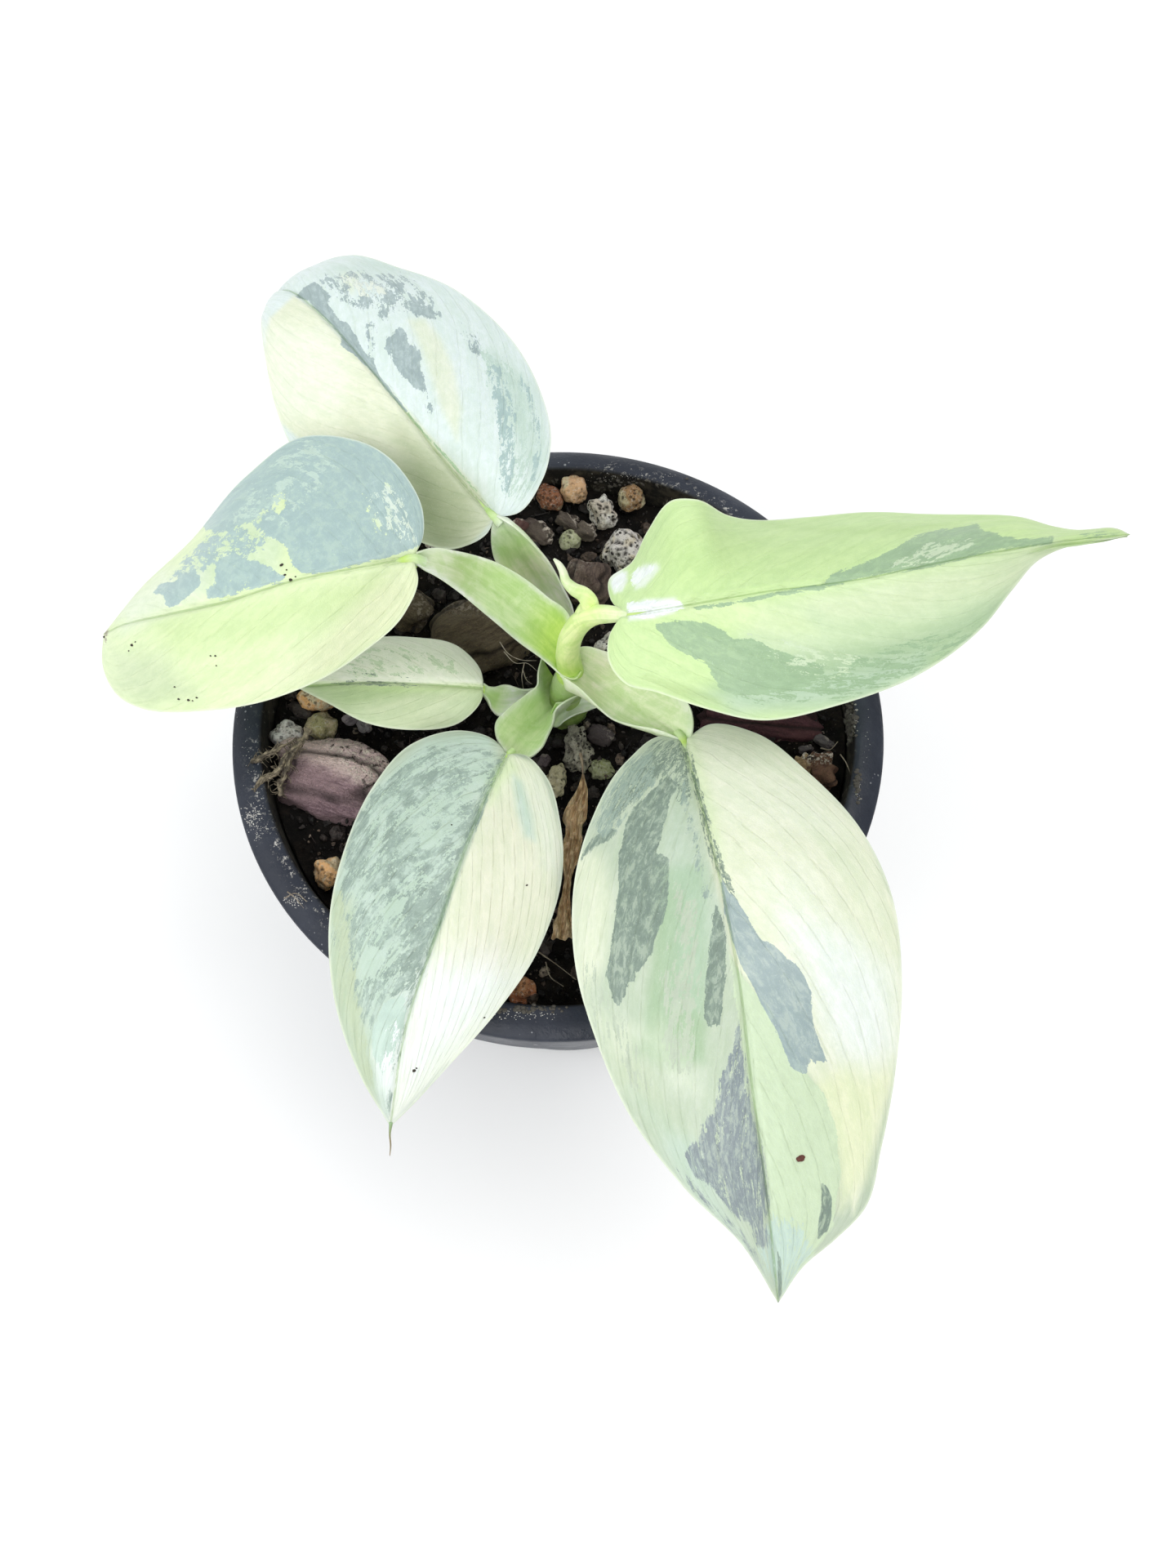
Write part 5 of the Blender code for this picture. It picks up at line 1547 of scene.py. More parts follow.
            Cut(Tone.FERN, (462, 1118, 480, 1100, 505, 1098, 495, 1118, 470, 1130), 0.85, 10),
            Cut(Tone.FERN, (452, 1262, 470, 1225, 500, 1212, 498, 1240, 478, 1290, 455, 1300), 0.95, 10),
            Wash(Tone.MINT, (628, 950, 640, 958, 652, 1000, 656, 1030, 642, 1024, 632, 990), 0.8, 14),
            Wash(Tone.CHALK, (455, 1290, 470, 1260, 500, 1250, 497, 1300, 480, 1350, 465, 1330), 0.6, 20),
            Patch(Tone.MINT, (456, 1290, 455, 1262, 470, 1228, 495, 1215, 497, 1250, 482, 1300, 470, 1320),
                0.9, 12),
            Patch(Tone.CHALK, (460, 1300, 470, 1262, 486, 1240, 494, 1262, 482, 1310, 474, 1340), 0.5, 10),
        ),
        arch=1.4, wave=0.25, spacing=2.2, blot=0.50, vein_shade=(0.80, 0.80, 0.76), sweeps=(0.85, 0.55)),
    Leaf(
        "leaf_left", Tone.PALE_LIME,
        midrib=((-19, 9.5, 117), (-25, 6.5, 119.5), (-33.5, 4.5, 119.5), (-43.5, 3.5, 116), (-53.5, 5, 110),
            (-62.5, 7.5, 103), (-68.2, 9.3, 97)),
        left=((-19, 9.5, 117), (-18.2, 6.5, 116.5), (-20, 2.5, 114.5), (-26.5, -2.5, 111.5),
            (-37.5, -7.3, 108.5), (-49, -7.2, 104.5), (-59, -5, 100.5), (-64.6, -1, 98), (-68, 5, 96.5),
            (-68.2, 9.3, 97)),
        right=((-19, 9.5, 117), (-17.8, 12, 117.5), (-17.8, 16, 118), (-20.8, 22.5, 118),
            (-27.8, 29.3, 116.5), (-37, 31.3, 115), (-44.3, 26.3, 112.5), (-53, 19.3, 107.5),
            (-61.5, 14.2, 102), (-68.2, 9.3, 97)),
        stalk=(
            Channel(
                near=((711, 822, 99.4), (704, 831, 99.2), (692, 828, 99.2), (676, 815, 99.8),
                    (660, 802, 100.6), (638, 787, 102.8), (610, 764, 106.6), (590, 747, 109.4),
                    (560, 722, 112.8), (530, 701, 115.6), (510, 690, 116.8)),
                keel=((706, 816, 97.0), (698, 812, 97.2), (686, 798, 98.2), (668, 778, 100.0),
                    (640, 752, 103.6), (606, 724, 107.8), (575, 704, 111.6), (545, 691, 114.4),
                    (510, 683, 116.4)),
                far=((711, 808, 98.8), (706, 790, 99.2), (702, 770, 99.8), (696, 752, 101.0),
                    (670, 730, 103.6), (640, 707, 107.0), (612, 691, 110.0), (588, 682, 112.2),
                    (560, 675, 114.6), (530, 672, 116.4), (510, 678, 117.2)),
                tones=(Tone.CROWN, Tone.CROWN, Tone.LIME, Tone.LIME, Tone.REED, Tone.MILK), pale=0.75),
            Round(((-17.4, 9.5, 116.0, 0.7), (-19.2, 9.4, 116.8, 0.85), (-22.0, 8.2, 117.5, 0.40)),
                (Tone.CELERY, Tone.LIME, Tone.CROWN, Tone.CELERY), rings=26, sides=18),
        ),
        marks=(
            Wash(Tone.BUTTER, (508, 690, 515, 720, 500, 760, 430, 810, 340, 855, 260, 866, 300, 840,
                400, 780, 450, 720), 0.75, 40),
            Wash(Tone.DEEP_LIME, (180, 762, 280, 742, 400, 722, 470, 712, 400, 760, 300, 790, 220, 800),
                0.32, 36),
            Wash(Tone.MOSS, (140, 800, 200, 800, 240, 850, 180, 866, 140, 845), 0.5, 40),
            Wash(Tone.IVORY, (150, 740, 200, 700, 250, 700, 250, 735, 200, 750, 150, 775), 0.55, 30),
            Wash(Tone.MINT, (220, 700, 262, 650, 330, 600, 350, 660, 340, 700, 250, 725), 0.35, 24),
            Wash(Tone.FROST, (455, 585, 500, 600, 520, 665, 490, 675, 462, 640, 445, 600), 0.75, 16),
            Wash(Tone.CREAM, (490, 560, 520, 610, 528, 650, 515, 670, 512, 630, 490, 590), 0.6, 14),
            Patch(Tone.MIST, (505, 672, 470, 683, 430, 693, 400, 700, 370, 703, 358, 690, 352, 672,
                338, 660, 322, 650, 300, 640, 262, 652, 240, 640, 290, 580, 345, 530, 385, 512, 435, 515,
                490, 540, 528, 590, 530, 660), 0.97, 9),
            Patch(Tone.MIST, (262, 690, 268, 680, 300, 682, 330, 690, 350, 705, 345, 714, 300, 724,
                272, 735, 254, 733, 250, 722, 262, 712), 0.88, 10),
            Patch(Tone.MIST, (188, 727, 195, 715, 212, 713, 226, 700, 240, 698, 246, 712, 240, 722,
                226, 733, 210, 745, 202, 738, 200, 728), 1.0, 7),
            Patch(Tone.MIST, (250, 655, 290, 640, 322, 650, 332, 672, 300, 684, 262, 692, 235, 707,
                205, 712, 222, 685), 0.60, 12),
            Cut(Tone.MIST, (330, 606, 344, 598, 352, 602, 352, 622, 340, 632, 330, 622), 0.72, 8),
            Cut(Tone.MIST, (302, 640, 312, 628, 325, 620, 332, 626, 318, 640, 300, 655), 0.7, 10),
            Cut(Tone.MIST, (455, 600, 475, 588, 495, 605, 508, 640, 512, 665, 490, 668, 472, 645), 0.46,
                14),
            Cut(Tone.MIST, (440, 600, 455, 605, 480, 655, 470, 668, 448, 640), 0.35, 14),
            Patch(Tone.MINT, (260, 650, 300, 600, 345, 545, 385, 525, 420, 560, 380, 640, 340, 655,
                300, 640), 0.30, 20),
            Patch(Tone.DRY, (126, 768, 134, 770, 131, 792, 127, 790), 0.6, 5),
        ),
        arch=1.4, wave=0.3, spacing=3.0, blot=0.85, vein_shade=(0.965, 0.97, 0.95)),
    Leaf(
        "leaf_back_left", Tone.FROST,
        midrib=((-8.7, 20, 111.5), (-13.8, 25, 114), (-21, 34, 116), (-27.8, 43.5, 116), (-35.2, 54, 114.5),
            (-43.2, 64.5, 109.5), (-47.5, 70, 101), (-47.5, 70, 93)),
        left=((-8.7, 20, 111.5), (-9.6, 17.8, 111), (-13.7, 15.4, 110.6), (-22, 18.5, 109.5),
            (-30.5, 26, 109.5), (-38.8, 33, 109.5), (-42.5, 41, 109.5), (-45.2, 51, 109.5),
            (-47.2, 60, 107.5), (-49, 67.5, 100.5), (-47.5, 70, 93)),
        right=((-8.7, 20, 111.5), (-5.8, 20.5, 111.5), (-2, 26, 112), (-0.8, 32.5, 112), (-2.8, 43, 112),
            (-7.5, 53, 112), (-15.5, 62, 111.5), (-25, 68.5, 110), (-33.5, 72.8, 109), (-41, 73.95, 105),
            (-46, 72.5, 98.5), (-47.5, 70, 93)),
        stalk=(
            Channel(
                near=((700, 800, 88.0), (672, 765, 93.0), (640, 730, 98.0), (616, 704, 102.2),
                    (605, 682, 105.6), (602, 662, 108.6), (603, 645, 110.8), (606, 633, 111.8)),
                keel=((700, 790, 85.5), (690, 765, 89.4), (674, 732, 94.6), (656, 706, 99.4),
                    (642, 684, 103.4), (630, 662, 107.2), (616, 644, 110.2), (607, 632, 111.2)),
                far=((708, 790, 89.0), (703, 765, 93.6), (699, 742, 96.4), (690, 724, 99.0),
                    (680, 704, 102.0), (669, 686, 105.0), (656, 671, 107.6), (643, 658, 109.6),
                    (624, 642, 111.4), (608, 632, 111.9)),
                tones=(Tone.SHOOT, Tone.MILK, Tone.MILK, Tone.BUTTER, Tone.LIME, Tone.CELERY), pale=0.5),
            Round(((-7.8, 19.2, 110.8, 0.6), (-8.8, 20.1, 111.2, 0.75), (-10.6, 21.9, 111.7, 0.35)),
                (Tone.CELERY, Tone.LIME, Tone.DEEP_LIME, Tone.CELERY), rings=26, sides=18),
        ),
        marks=(
            Wash(Tone.CREAM, (605, 635, 585, 600, 540, 550, 480, 480, 440, 437, 418, 415, 385, 378,
                360, 362, 330, 390, 320, 450, 335, 510, 380, 550, 520, 670, 570, 672), 1.0, 7),
            Wash(Tone.MILK, (320, 400, 400, 400, 430, 450, 420, 500, 330, 510), 0.8, 40),
            # Painted shadow: the two SHADE washes below are the shade that leaf_left casts on this blade.
            Wash(Tone.SHADE, (420, 500, 500, 520, 560, 590, 500, 600, 420, 560), 0.30, 50),
            Wash(Tone.SHADE, (490, 530, 540, 560, 585, 600, 598, 640, 575, 672, 530, 690, 500, 640), 1.0,
                60),
            Wash(Tone.MINT, (600, 430, 650, 470, 672, 560, 655, 600, 640, 560, 615, 500), 0.7, 30),
            Wash(Tone.MINT, (455, 315, 520, 335, 470, 340, 400, 330), 0.4, 20),
            Wash(Tone.CREAM, (500, 392, 520, 390, 540, 415, 555, 450, 565, 500, 560, 540, 540, 500,
                526, 455, 515, 425), 0.75, 12),
            Wash(Tone.BUTTER, (420, 335, 440, 335, 432, 360, 420, 352), 0.5, 12),
            Patch(Tone.SLATE_BLUE, (362, 364, 372, 352, 385, 345, 395, 352, 404, 362, 400, 372, 408, 380,
                415, 392, 426, 395, 431, 405, 438, 415, 446, 430, 456, 442, 464, 458, 480, 480, 500, 504,
                498, 507, 478, 483, 460, 461, 450, 450, 440, 440, 430, 432, 418, 423, 418, 412, 410, 402,
                398, 390, 386, 378, 378, 368), 1.0, 5),
            Patch(Tone.SLATE_BLUE, (488, 398, 497, 405, 500, 418, 509, 425, 516, 435, 517, 450, 521, 462,
                522, 476, 517, 483, 507, 475, 499, 466, 490, 458, 483, 448, 477, 436, 469, 424, 471, 411,
                481, 408), 0.88, 8),
            Patch(Tone.SLATE_BLUE, (446, 395, 455, 392, 461, 402, 460, 420, 458, 440, 450, 425, 445, 410),
                0.6, 10),
            Patch(Tone.SLATE_BLUE, (388, 335, 430, 330, 500, 332, 524, 352, 548, 388, 515, 396, 500, 382,
                470, 392, 440, 382, 412, 372, 392, 350), 0.50, 14),
            Patch(Tone.IVORY, (410, 334, 440, 336, 480, 350, 470, 368, 430, 362), 0.42, 12),
            Patch(Tone.SLATE_BLUE, (505, 372, 515, 358, 522, 368, 540, 384, 536, 390, 515, 392, 508, 384),
                0.8, 8),
            Patch(Tone.MINT, (580, 415, 600, 430, 622, 436, 646, 460, 660, 495, 668, 540, 658, 590,
                640, 622, 612, 610, 606, 560, 608, 520, 600, 490, 592, 460), 0.46, 16),
            Patch(Tone.MIST, (596, 440, 618, 450, 634, 500, 632, 570, 624, 612, 610, 600, 608, 540,
                600, 490), 0.62, 12),
            Patch(Tone.SLATE_BLUE, (560, 392, 580, 402, 592, 430, 590, 450, 576, 430, 564, 410), 0.45, 10),
            Patch(Tone.SLATE_BLUE, (522, 470, 532, 500, 530, 520, 520, 500), 0.5, 8),
            Patch(Tone.MIST, (630, 450, 650, 475, 662, 510, 665, 550, 656, 590, 648, 590, 654, 540,
                648, 500, 634, 470), 0.58, 6),
            Patch(Tone.SLATE_BLUE, (585, 430, 600, 442, 622, 444, 642, 462, 655, 495, 664, 540, 655, 580,
                640, 606, 622, 600, 618, 560, 625, 520, 612, 505, 602, 480, 592, 455), 0.46, 20),
            Patch(Tone.SLATE_BLUE, (575, 408, 585, 404, 590, 420, 584, 432, 578, 424), 0.5, 8),
            Patch(Tone.SAGE, (500, 503, 520, 530, 545, 556, 565, 578, 586, 602, 583, 603, 560, 577,
                540, 555, 516, 529, 497, 506), 0.9, 4),
        ),
        arch=1.6, wave=0.3, spacing=2.9, blot=0.9, vein_shade=(0.93, 0.94, 0.91)),
    Leaf(
        "leaf_small_left", Tone.MILK,
        midrib=((-11.2, 2.3, 93), (-16, 2.1, 94), (-21.5, 2.3, 94.3), (-28, 2.8, 93.8), (-34, 3.3, 92.3),
            (-40.4, 4, 90)),
        left=((-11.2, 2.3, 93), (-11.4, 0.3, 93), (-14, -3.3, 93.3), (-21, -5, 93.4), (-28.5, -3.5, 93),
            (-35.5, 0.8, 91.5), (-40.4, 4, 90)),
        right=((-11.2, 2.3, 93), (-11.6, 5, 93), (-15, 9, 93.3), (-22, 10.9, 93.4), (-29.3, 10.5, 93),
            (-35.7, 8, 91.5), (-40.4, 4, 90)),
        stalk=(
            Channel(
                near=((668, 850, 88.6), (656, 854, 89.0), (640, 863, 89.5), (622, 873, 90.0),
                    (611, 876, 90.4), (603, 868, 91.0), (599, 857, 91.8), (592, 849, 92.6)),
                keel=((668, 846, 87.0), (654, 850, 88.0), (638, 856, 88.6), (620, 860, 89.2),
                    (606, 857, 90.4), (598, 850, 91.6), (592, 843, 92.3)),
                far=((668, 842, 90.0), (652, 845, 90.4), (640, 845, 90.7), (618, 839, 91.4),
                    (605, 842, 92.0), (598, 841, 92.5), (592, 838, 92.9)),
                tones=(Tone.CELERY, Tone.IVORY, Tone.IVORY, Tone.LIME, Tone.LIME), thick=0.8, pale=0.6,
                    rings=60, columns=17),
        ),
        marks=(
            Wash(Tone.PALE_LIME, (594, 838, 560, 838, 480, 838, 380, 836, 360, 850, 450, 890, 520, 900,
                595, 880), 1.0, 8),
            Wash(Tone.BUTTER, (560, 850, 500, 850, 440, 862, 470, 885, 540, 888), 0.45, 20),
            Wash(Tone.DEEP_LIME, (380, 838, 480, 840, 540, 845, 480, 855, 420, 865, 385, 850), 0.55, 16),
            Wash(Tone.MOSS, (594, 845, 480, 845, 380, 840, 360, 850, 450, 890, 520, 900, 595, 880), 0.5,
                16),
            Patch(Tone.CELERY, (460, 785, 560, 800, 575, 830, 430, 835, 410, 815), 0.32, 14),
            Patch(Tone.SLATE, (400, 836, 420, 833, 450, 832, 480, 834, 520, 839, 500, 844, 460, 841,
                420, 841), 0.5, 6),
            Patch(Tone.SLATE, (415, 820, 460, 824, 500, 828, 512, 833, 480, 829, 440, 826), 0.5, 5),
        ),
        arch=0.8, wave=0.2, spacing=1.9, rows=110, columns=26),
)


# The pot, the mix and what lies in it


@dataclass(frozen=True)
class Pot:
    """The round nursery pot, turned about Z."""

    height: float = 90.0
    floor: float = 1.8
    lip_radius: float = 50.0
    crest_radius: float = 46.2
    lip_fall: float = 1.5
    skirt_height: float = 9.7
    skirt_wall: float = 1.1
    skirt_tuck: float = 0.7
    lip_thickness: float = 1.2
    base_radius: float = 35.5
    band_foot: float = 81.0
    drain_holes: int = 6
    drain_ring: float = 25.0
    drain_radius: float = 3.5
    wander: float = 0.10           # how far the soft lip strays from round
    sides: int = 192

    def profile(self) -> list:
        """(radius, height, inner) points from the floor's middle up inside, over the lip and down outside."""
        top, crest, lip, base = self.height, self.crest_radius, self.lip_radius, self.base_radius
        edge = top - self.lip_fall
        foot = edge - self.skirt_height
        skirt = lip - self.skirt_tuck
        inside = [(20, self.floor, 0), (base - 3, self.floor, 0), (base - 1.6, self.floor + 0.5, 0),
                  (base - 1, self.floor + 2, 0), (crest - 1, self.band_foot, 1), (crest - 1, top - 3.0, 1),
                  (crest - 1, top - 1.2, 1), (crest - 0.98, top - 0.5, 1), (crest - 0.84, top - 0.14, 0.4)]
        over = [(crest - 0.5, top), (crest, top - 0.02), (crest + 1.3, top - 0.36), (crest + 2.6, top - 0.86),
                (lip - 0.55, edge + 0.12), (lip - 0.2, edge - 0.06), (lip - 0.03, edge - 0.34),
                (lip, edge - 0.7), (lip - 0.1, edge - 2.4), (skirt + 0.12, foot + 1.6),
                (skirt + 0.02, foot + 0.3), (skirt - 0.14, foot + 0.05), (skirt - 0.35, foot),
                (skirt - self.skirt_wall + 0.2, foot), (skirt - self.skirt_wall, foot + 0.2),
                (lip - self.skirt_wall, edge - self.lip_thickness - 0.4),
                (lip - self.skirt_wall - 0.5, edge - self.lip_thickness),
                (crest + 0.4, top - self.lip_thickness - 0.1), (crest, top - self.lip_thickness - 0.5),
                (crest, self.band_foot), (base + 0.25, 2.2), (base, 1.5), (base - 0.45, 0.5),
                (base - 1.2, 0.08), (base - 1.8, 0), (20, 0)]
        return inside + [(*place, 0) for place in over]

    def build(self) -> bpy.types.Object:
        """The pot with its drain holes, in place of its CAD node."""
        ring = np.array(self.profile(), float)
        turn = np.linspace(0, 2 * math.pi, self.sides, endpoint=False)
        radius, level = ring[:, 0][:, None], ring[:, 1][:, None]
        wander = self.wander * np.sin(3 * turn + 0.4) + 0.6 * self.wander * np.sin(5 * turn + 1.9)
        high = ease((level - 75) / 15)
        radius = radius + np.where(radius > 40, 1, 0) * high * (wander[None, :] * 0.5 - 0.06)
        rings = np.stack([radius * np.cos(turn), radius * np.sin(turn), level + 0 * radius], axis=2)
        shape = drum_shape(rings, (0, 0, self.floor), (0, 0, 0))
        from_crest = np.hypot(shape.points[:, 0], shape.points[:, 1]) - self.crest_radius
        shape.values = {"inner": np.concatenate([np.repeat(ring[:, 2], self.sides), [0, 0]]),
                        "crest": bell(from_crest, 0.9) * (shape.points[:, 2] > self.height - 2)}
        made = shape.build("pot_moulded", PlasticFinish(), 50)
        self.drill(made)
        return claim(made, "pot")

    def drill(self, pot: bpy.types.Object) -> None:
        """Cuts the drain holes.

        Args:
            pot: the pot.
        """
        shape = bmesh.new()
        for hole in range(self.drain_holes):
            angle = 2 * math.pi * (hole + 0.3) / self.drain_holes
            x, y = self.drain_ring * math.cos(angle), self.drain_ring * math.sin(angle)
            made = bmesh.ops.create_cone(shape, cap_ends=True, segments=32, radius1=self.drain_radius * MM,
                                         radius2=self.drain_radius * MM, depth=0.008)
            bmesh.ops.translate(shape, verts=made["verts"], vec=Vector((x, y, self.floor / 2)) * MM)
        mesh = bpy.data.meshes.new("drill")
        shape.to_mesh(mesh)
        shape.free()
        drill = add_object("drill", mesh)
        cut = pot.modifiers.new("drain", "BOOLEAN")
        cut.operation, cut.solver, cut.object = "DIFFERENCE", "EXACT", drill
        settle(pot)
        bpy.data.objects.remove(drill)


@dataclass(frozen=True)
class Mix:
    """The growing mix: a lumpy bed, with crumbs and fibres strewn over it."""

    level: float = 82.3
    dish: float = 2.2
    side: float = 44.8
    foot: float = 34.3
    floor: float = 2.2
    swell: float = 0.9             # height of its widest lumps
    sink: float = 0.35
    rings: int = 90
    sides: int = 220

    def height(self, x, y):
        """The bed's level at a place, before its lumps."""
        return self.level + self.dish * np.minimum(np.hypot(x, y) / 46.2, 1.0)**2

    def grid(self, radii: np.ndarray, sides: int, lumps: tuple) -> np.ndarray:
        """The bed's top.

        Args:
            radii: of its rings.
            sides: points in each ring.
            lumps: height, seed and size of each layer of lumps.

        Returns:
            One row for each point, ring by ring.
        """
        x, y = (part.ravel() for part in turned(radii, sides))
        flat = np.column_stack((x, y, np.zeros(len(x))))
        rise = reduce(lambda total, lump: total + lump[0] * Lumps(lump[1]).at(flat, lump[2]), lumps, 0)
        return np.column_stack((x, y, self.height(x, y) + (rise - self.sink)))

    def build_bed(self) -> bpy.types.Object:
        """The bed, in place of the CAD's mix."""
        radii = self.side * np.linspace(0, 1, self.rings + 1)[1:]**0.9
        lumps = ((self.swell, 21, 7.0), (0.55, 22, 3.0), (0.35, 23, 1.3), (0.2, 24, 0.6))
        top = self.grid(radii, self.sides, lumps)
        low = [np.column_stack((*(part[0] for part in turned(np.array([radius]), self.sides)),
                                np.full(self.sides, level)))
               for radius, level in ((self.side, 80.0), (self.foot, 4.5), (self.foot - 2, self.floor))]
        rings = np.vstack([top, *low]).reshape(-1, self.sides, 3)
        shape = drum_shape(rings, (0, 0, self.level - 0.4), (0, 0, self.floor))
        return claim(shape.build("mix_bed", BedFinish("mix_bed"), 80), "growing_mix")

    def seed_bed(self, name: str, lift: float) -> bpy.types.Object:
        """A plain disc near the bed's level, for strewing on.

        Args:
            name: the disc's name.
            lift: how far it lies above the bed.

        Returns:
            The disc.
        """
        rings, sides = 24, 48
        points = self.grid((self.side - 1.2) * np.linspace(0.03, 1, rings), sides, ((self.swell, 21, 7.0),))
        points[:, 2] += lift
        return add_object(name, Shape(points, grid_faces(rings, sides, wrap=True)).mesh(name))


@dataclass(frozen=True)
class Strewing:
    """Small lumps strewn over a surface with Geometry Nodes."""

    name: str
    count: int                     # about how many
    least: float                   # radii, in millimetres
    most: float
    detail: int                    # of each lump
    rough: float                   # bumps as a share of the largest radius
    grain: float                   # size of the bumps, in millimetres
    seed: int
    lift: float                    # of the disc that they lie on
    slim: tuple = (0.75, 0.55, 0.45)
    stout: tuple = (1.35, 1.0, 0.9)

    def tree(self, material: bpy.types.Material) -> tuple[bpy.types.NodeTree, dict]:
        """Builds the Geometry Nodes tree.

        Args:
            material: the lumps' material.

        Returns:
            The tree and the identifiers of its inputs by name.
        """
        tree = bpy.data.node_groups.new(self.name, "GeometryNodeTree")
        face = tree.interface
        face.new_socket("Geometry", in_out="INPUT", socket_type="NodeSocketGeometry")
        found = {}
        for label in ("Density", "Least radius", "Most radius", "Roughness", "Seed"):
            kind = "NodeSocketInt" if label == "Seed" else "NodeSocketFloat"
            found[label] = face.new_socket(label, in_out="INPUT", socket_type=kind).identifier
        face.new_socket("Geometry", in_out="OUTPUT", socket_type="NodeSocketGeometry")
        g, given = Graph(tree), tree.nodes.new("NodeGroupInput").outputs
        inputs = {"Mesh": given["Geometry"], "Density": given["Density"], "Seed": given["Seed"]}
        spread = g.node("GeometryNodeDistributePointsOnFaces", inputs).outputs[0]
        ball = g.node("GeometryNodeMeshIcoSphere", {"Radius": 1.0, "Subdivisions": self.detail}).outputs[0]
        size = g.math("POWER", g.chance(4, 0.0, 1.0), 2.2)
        inputs = {0: size, 3: given["Least radius"], 4: given["Most radius"]}
        radius = g.node("ShaderNodeMapRange", inputs).outputs[0]
        scale = g.scaled(g.chance(5, self.slim, self.stout), radius)
        turn = g.chance(3, (0.0, 0.0, 0.0), (6.283, 6.283, 6.283))
        inputs = {"Points": spread, "Instance": ball, "Rotation": turn, "Scale": scale}
        lumps = g.node("GeometryNodeInstanceOnPoints", inputs).outputs[0]
        shade = g.times(g.chance(6, 0.0, 1.0), g.sloped(size, -0.28, 1.0))
        inputs = {"Geometry": lumps, "Name": "shade", "Value": shade}
        lumps = g.node("GeometryNodeStoreNamedAttribute", inputs, data_type="FLOAT", domain="INSTANCE")
        lumps = g.node("GeometryNodeRealizeInstances", {"Geometry": lumps.outputs[0]}).outputs[0]
        place = g.node("GeometryNodeInputPosition").outputs[0]
        inputs = {"Vector": place, "Scale": 1 / (self.grain * MM), "Detail": 2.0}
        inputs = {0: g.node("ShaderNodeTexNoise", inputs).outputs[1], 1: (0.5, 0.5, 0.5)}
        shift = g.node("ShaderNodeVectorMath", inputs, operation="SUBTRACT").outputs[0]
        shift = g.scaled(shift, g.times(given["Roughness"], given["Most radius"]))
        lumps = g.node("GeometryNodeSetPosition", {"Geometry": lumps, "Offset": shift}).outputs[0]
        lumps = g.node("GeometryNodeSetMaterial", {"Geometry": lumps, "Material": material}).outputs[0]
        g.feed(tree.nodes.new("NodeGroupOutput"), {0: lumps})
        return tree, found

    def build(self, mix: Mix, material: bpy.types.Material) -> bpy.types.Object:
        """Strews the lumps on a disc near the bed, which becomes the piece.

        Args:
            mix: the mix that they lie on.
            material: the lumps' material.

        Returns:
            The piece.
        """
        ground = mix.seed_bed(self.name, self.lift)
        tree, found = self.tree(material)
        strewn = ground.modifiers.new("strewing", "NODES")
        strewn.node_group = tree
        area = sum(face.area for face in ground.data.polygons)
        values = {"Density": self.count / area, "Least radius": self.least * MM,
                  "Most radius": self.most * MM, "Roughness": self.rough, "Seed": self.seed}
        for label, value in values.items():
            strewn[found[label]] = value
        settle(ground)
        ground.data.shade_flat()
        return claim(ground, "growing_mix", own=False)


STREWN = (
    Strewing("mix_chips", 420, 0.7, 2.0, 3, 0.75, 0.9, 5, 0.1, (0.70, 0.50, 0.35), (1.5, 1.0, 0.8)),
    Strewing("mix_crumbs", 1900, 0.22, 0.8, 2, 0.9, 0.5, 8, 0.45, (0.6, 0.4, 0.3), (1.6, 1.0, 0.8)),
    Strewing("mix_grit", 3600, 0.08, 0.30, 1, 0.5, 0.3, 9, 0.95),
    Strewing("mix_fibres", 420, 0.25, 0.8, 2, 0.4, 1.2, 10, 0.7, (1.6, 0.12, 0.10), (3.2, 0.30, 0.22)),
)


@dataclass(frozen=True)
class Stone:
    """A loose lump in the mix, of the same form as its CAD solid but finer."""

    name: str
    centre: tuple
    size: tuple
    turn: float
    seed: int
    box: float
    rough: float
    detail: int
    standing_out: float = 0.15
    own: bool = True               # it has a CAD node

    def lump(self) -> tuple[np.ndarray, np.ndarray, list]:
        """The refined lump's points before it is turned, their directions, and its faces."""
        ball = ball_shape(self.detail)
        ways = ball.points
        bump = np.array([noise.noise(Vector(way) * 1.7 + Vector((self.seed * 3.1, 0, 0))) for way in ways])
        boxy = (np.abs(ways)**self.box).sum(axis=1)**(-1 / self.box)
        return ways * (boxy * (1 + self.rough * bump))[:, None] * np.array(self.size) / 2, ways, ball.faces

    def finished(self, shape: Shape, mix: Mix, finish: Finish) -> bpy.types.Object:
        """Turns the lump, sets it in the mix and makes the piece.

        Args:
            shape: the lump.
            mix: the mix that it lies in.
            finish: its finish.

        Returns:
            The piece, in place of its CAD node if it has one.
        """
        angle = math.radians(self.turn)
        turned_points = shape.points @ np.array([[math.cos(angle), math.sin(angle), 0],
                                                 [-math.sin(angle), math.cos(angle), 0], [0, 0, 1]])
        level = float(mix.height(*self.centre)) + self.standing_out * self.size[2]
        placed = Shape(turned_points + (*self.centre, level), shape.faces, shape.values)
        made = placed.build(self.name + "_stone", finish, 80)
        return claim(made, self.name if self.own else "growing_mix", self.own)


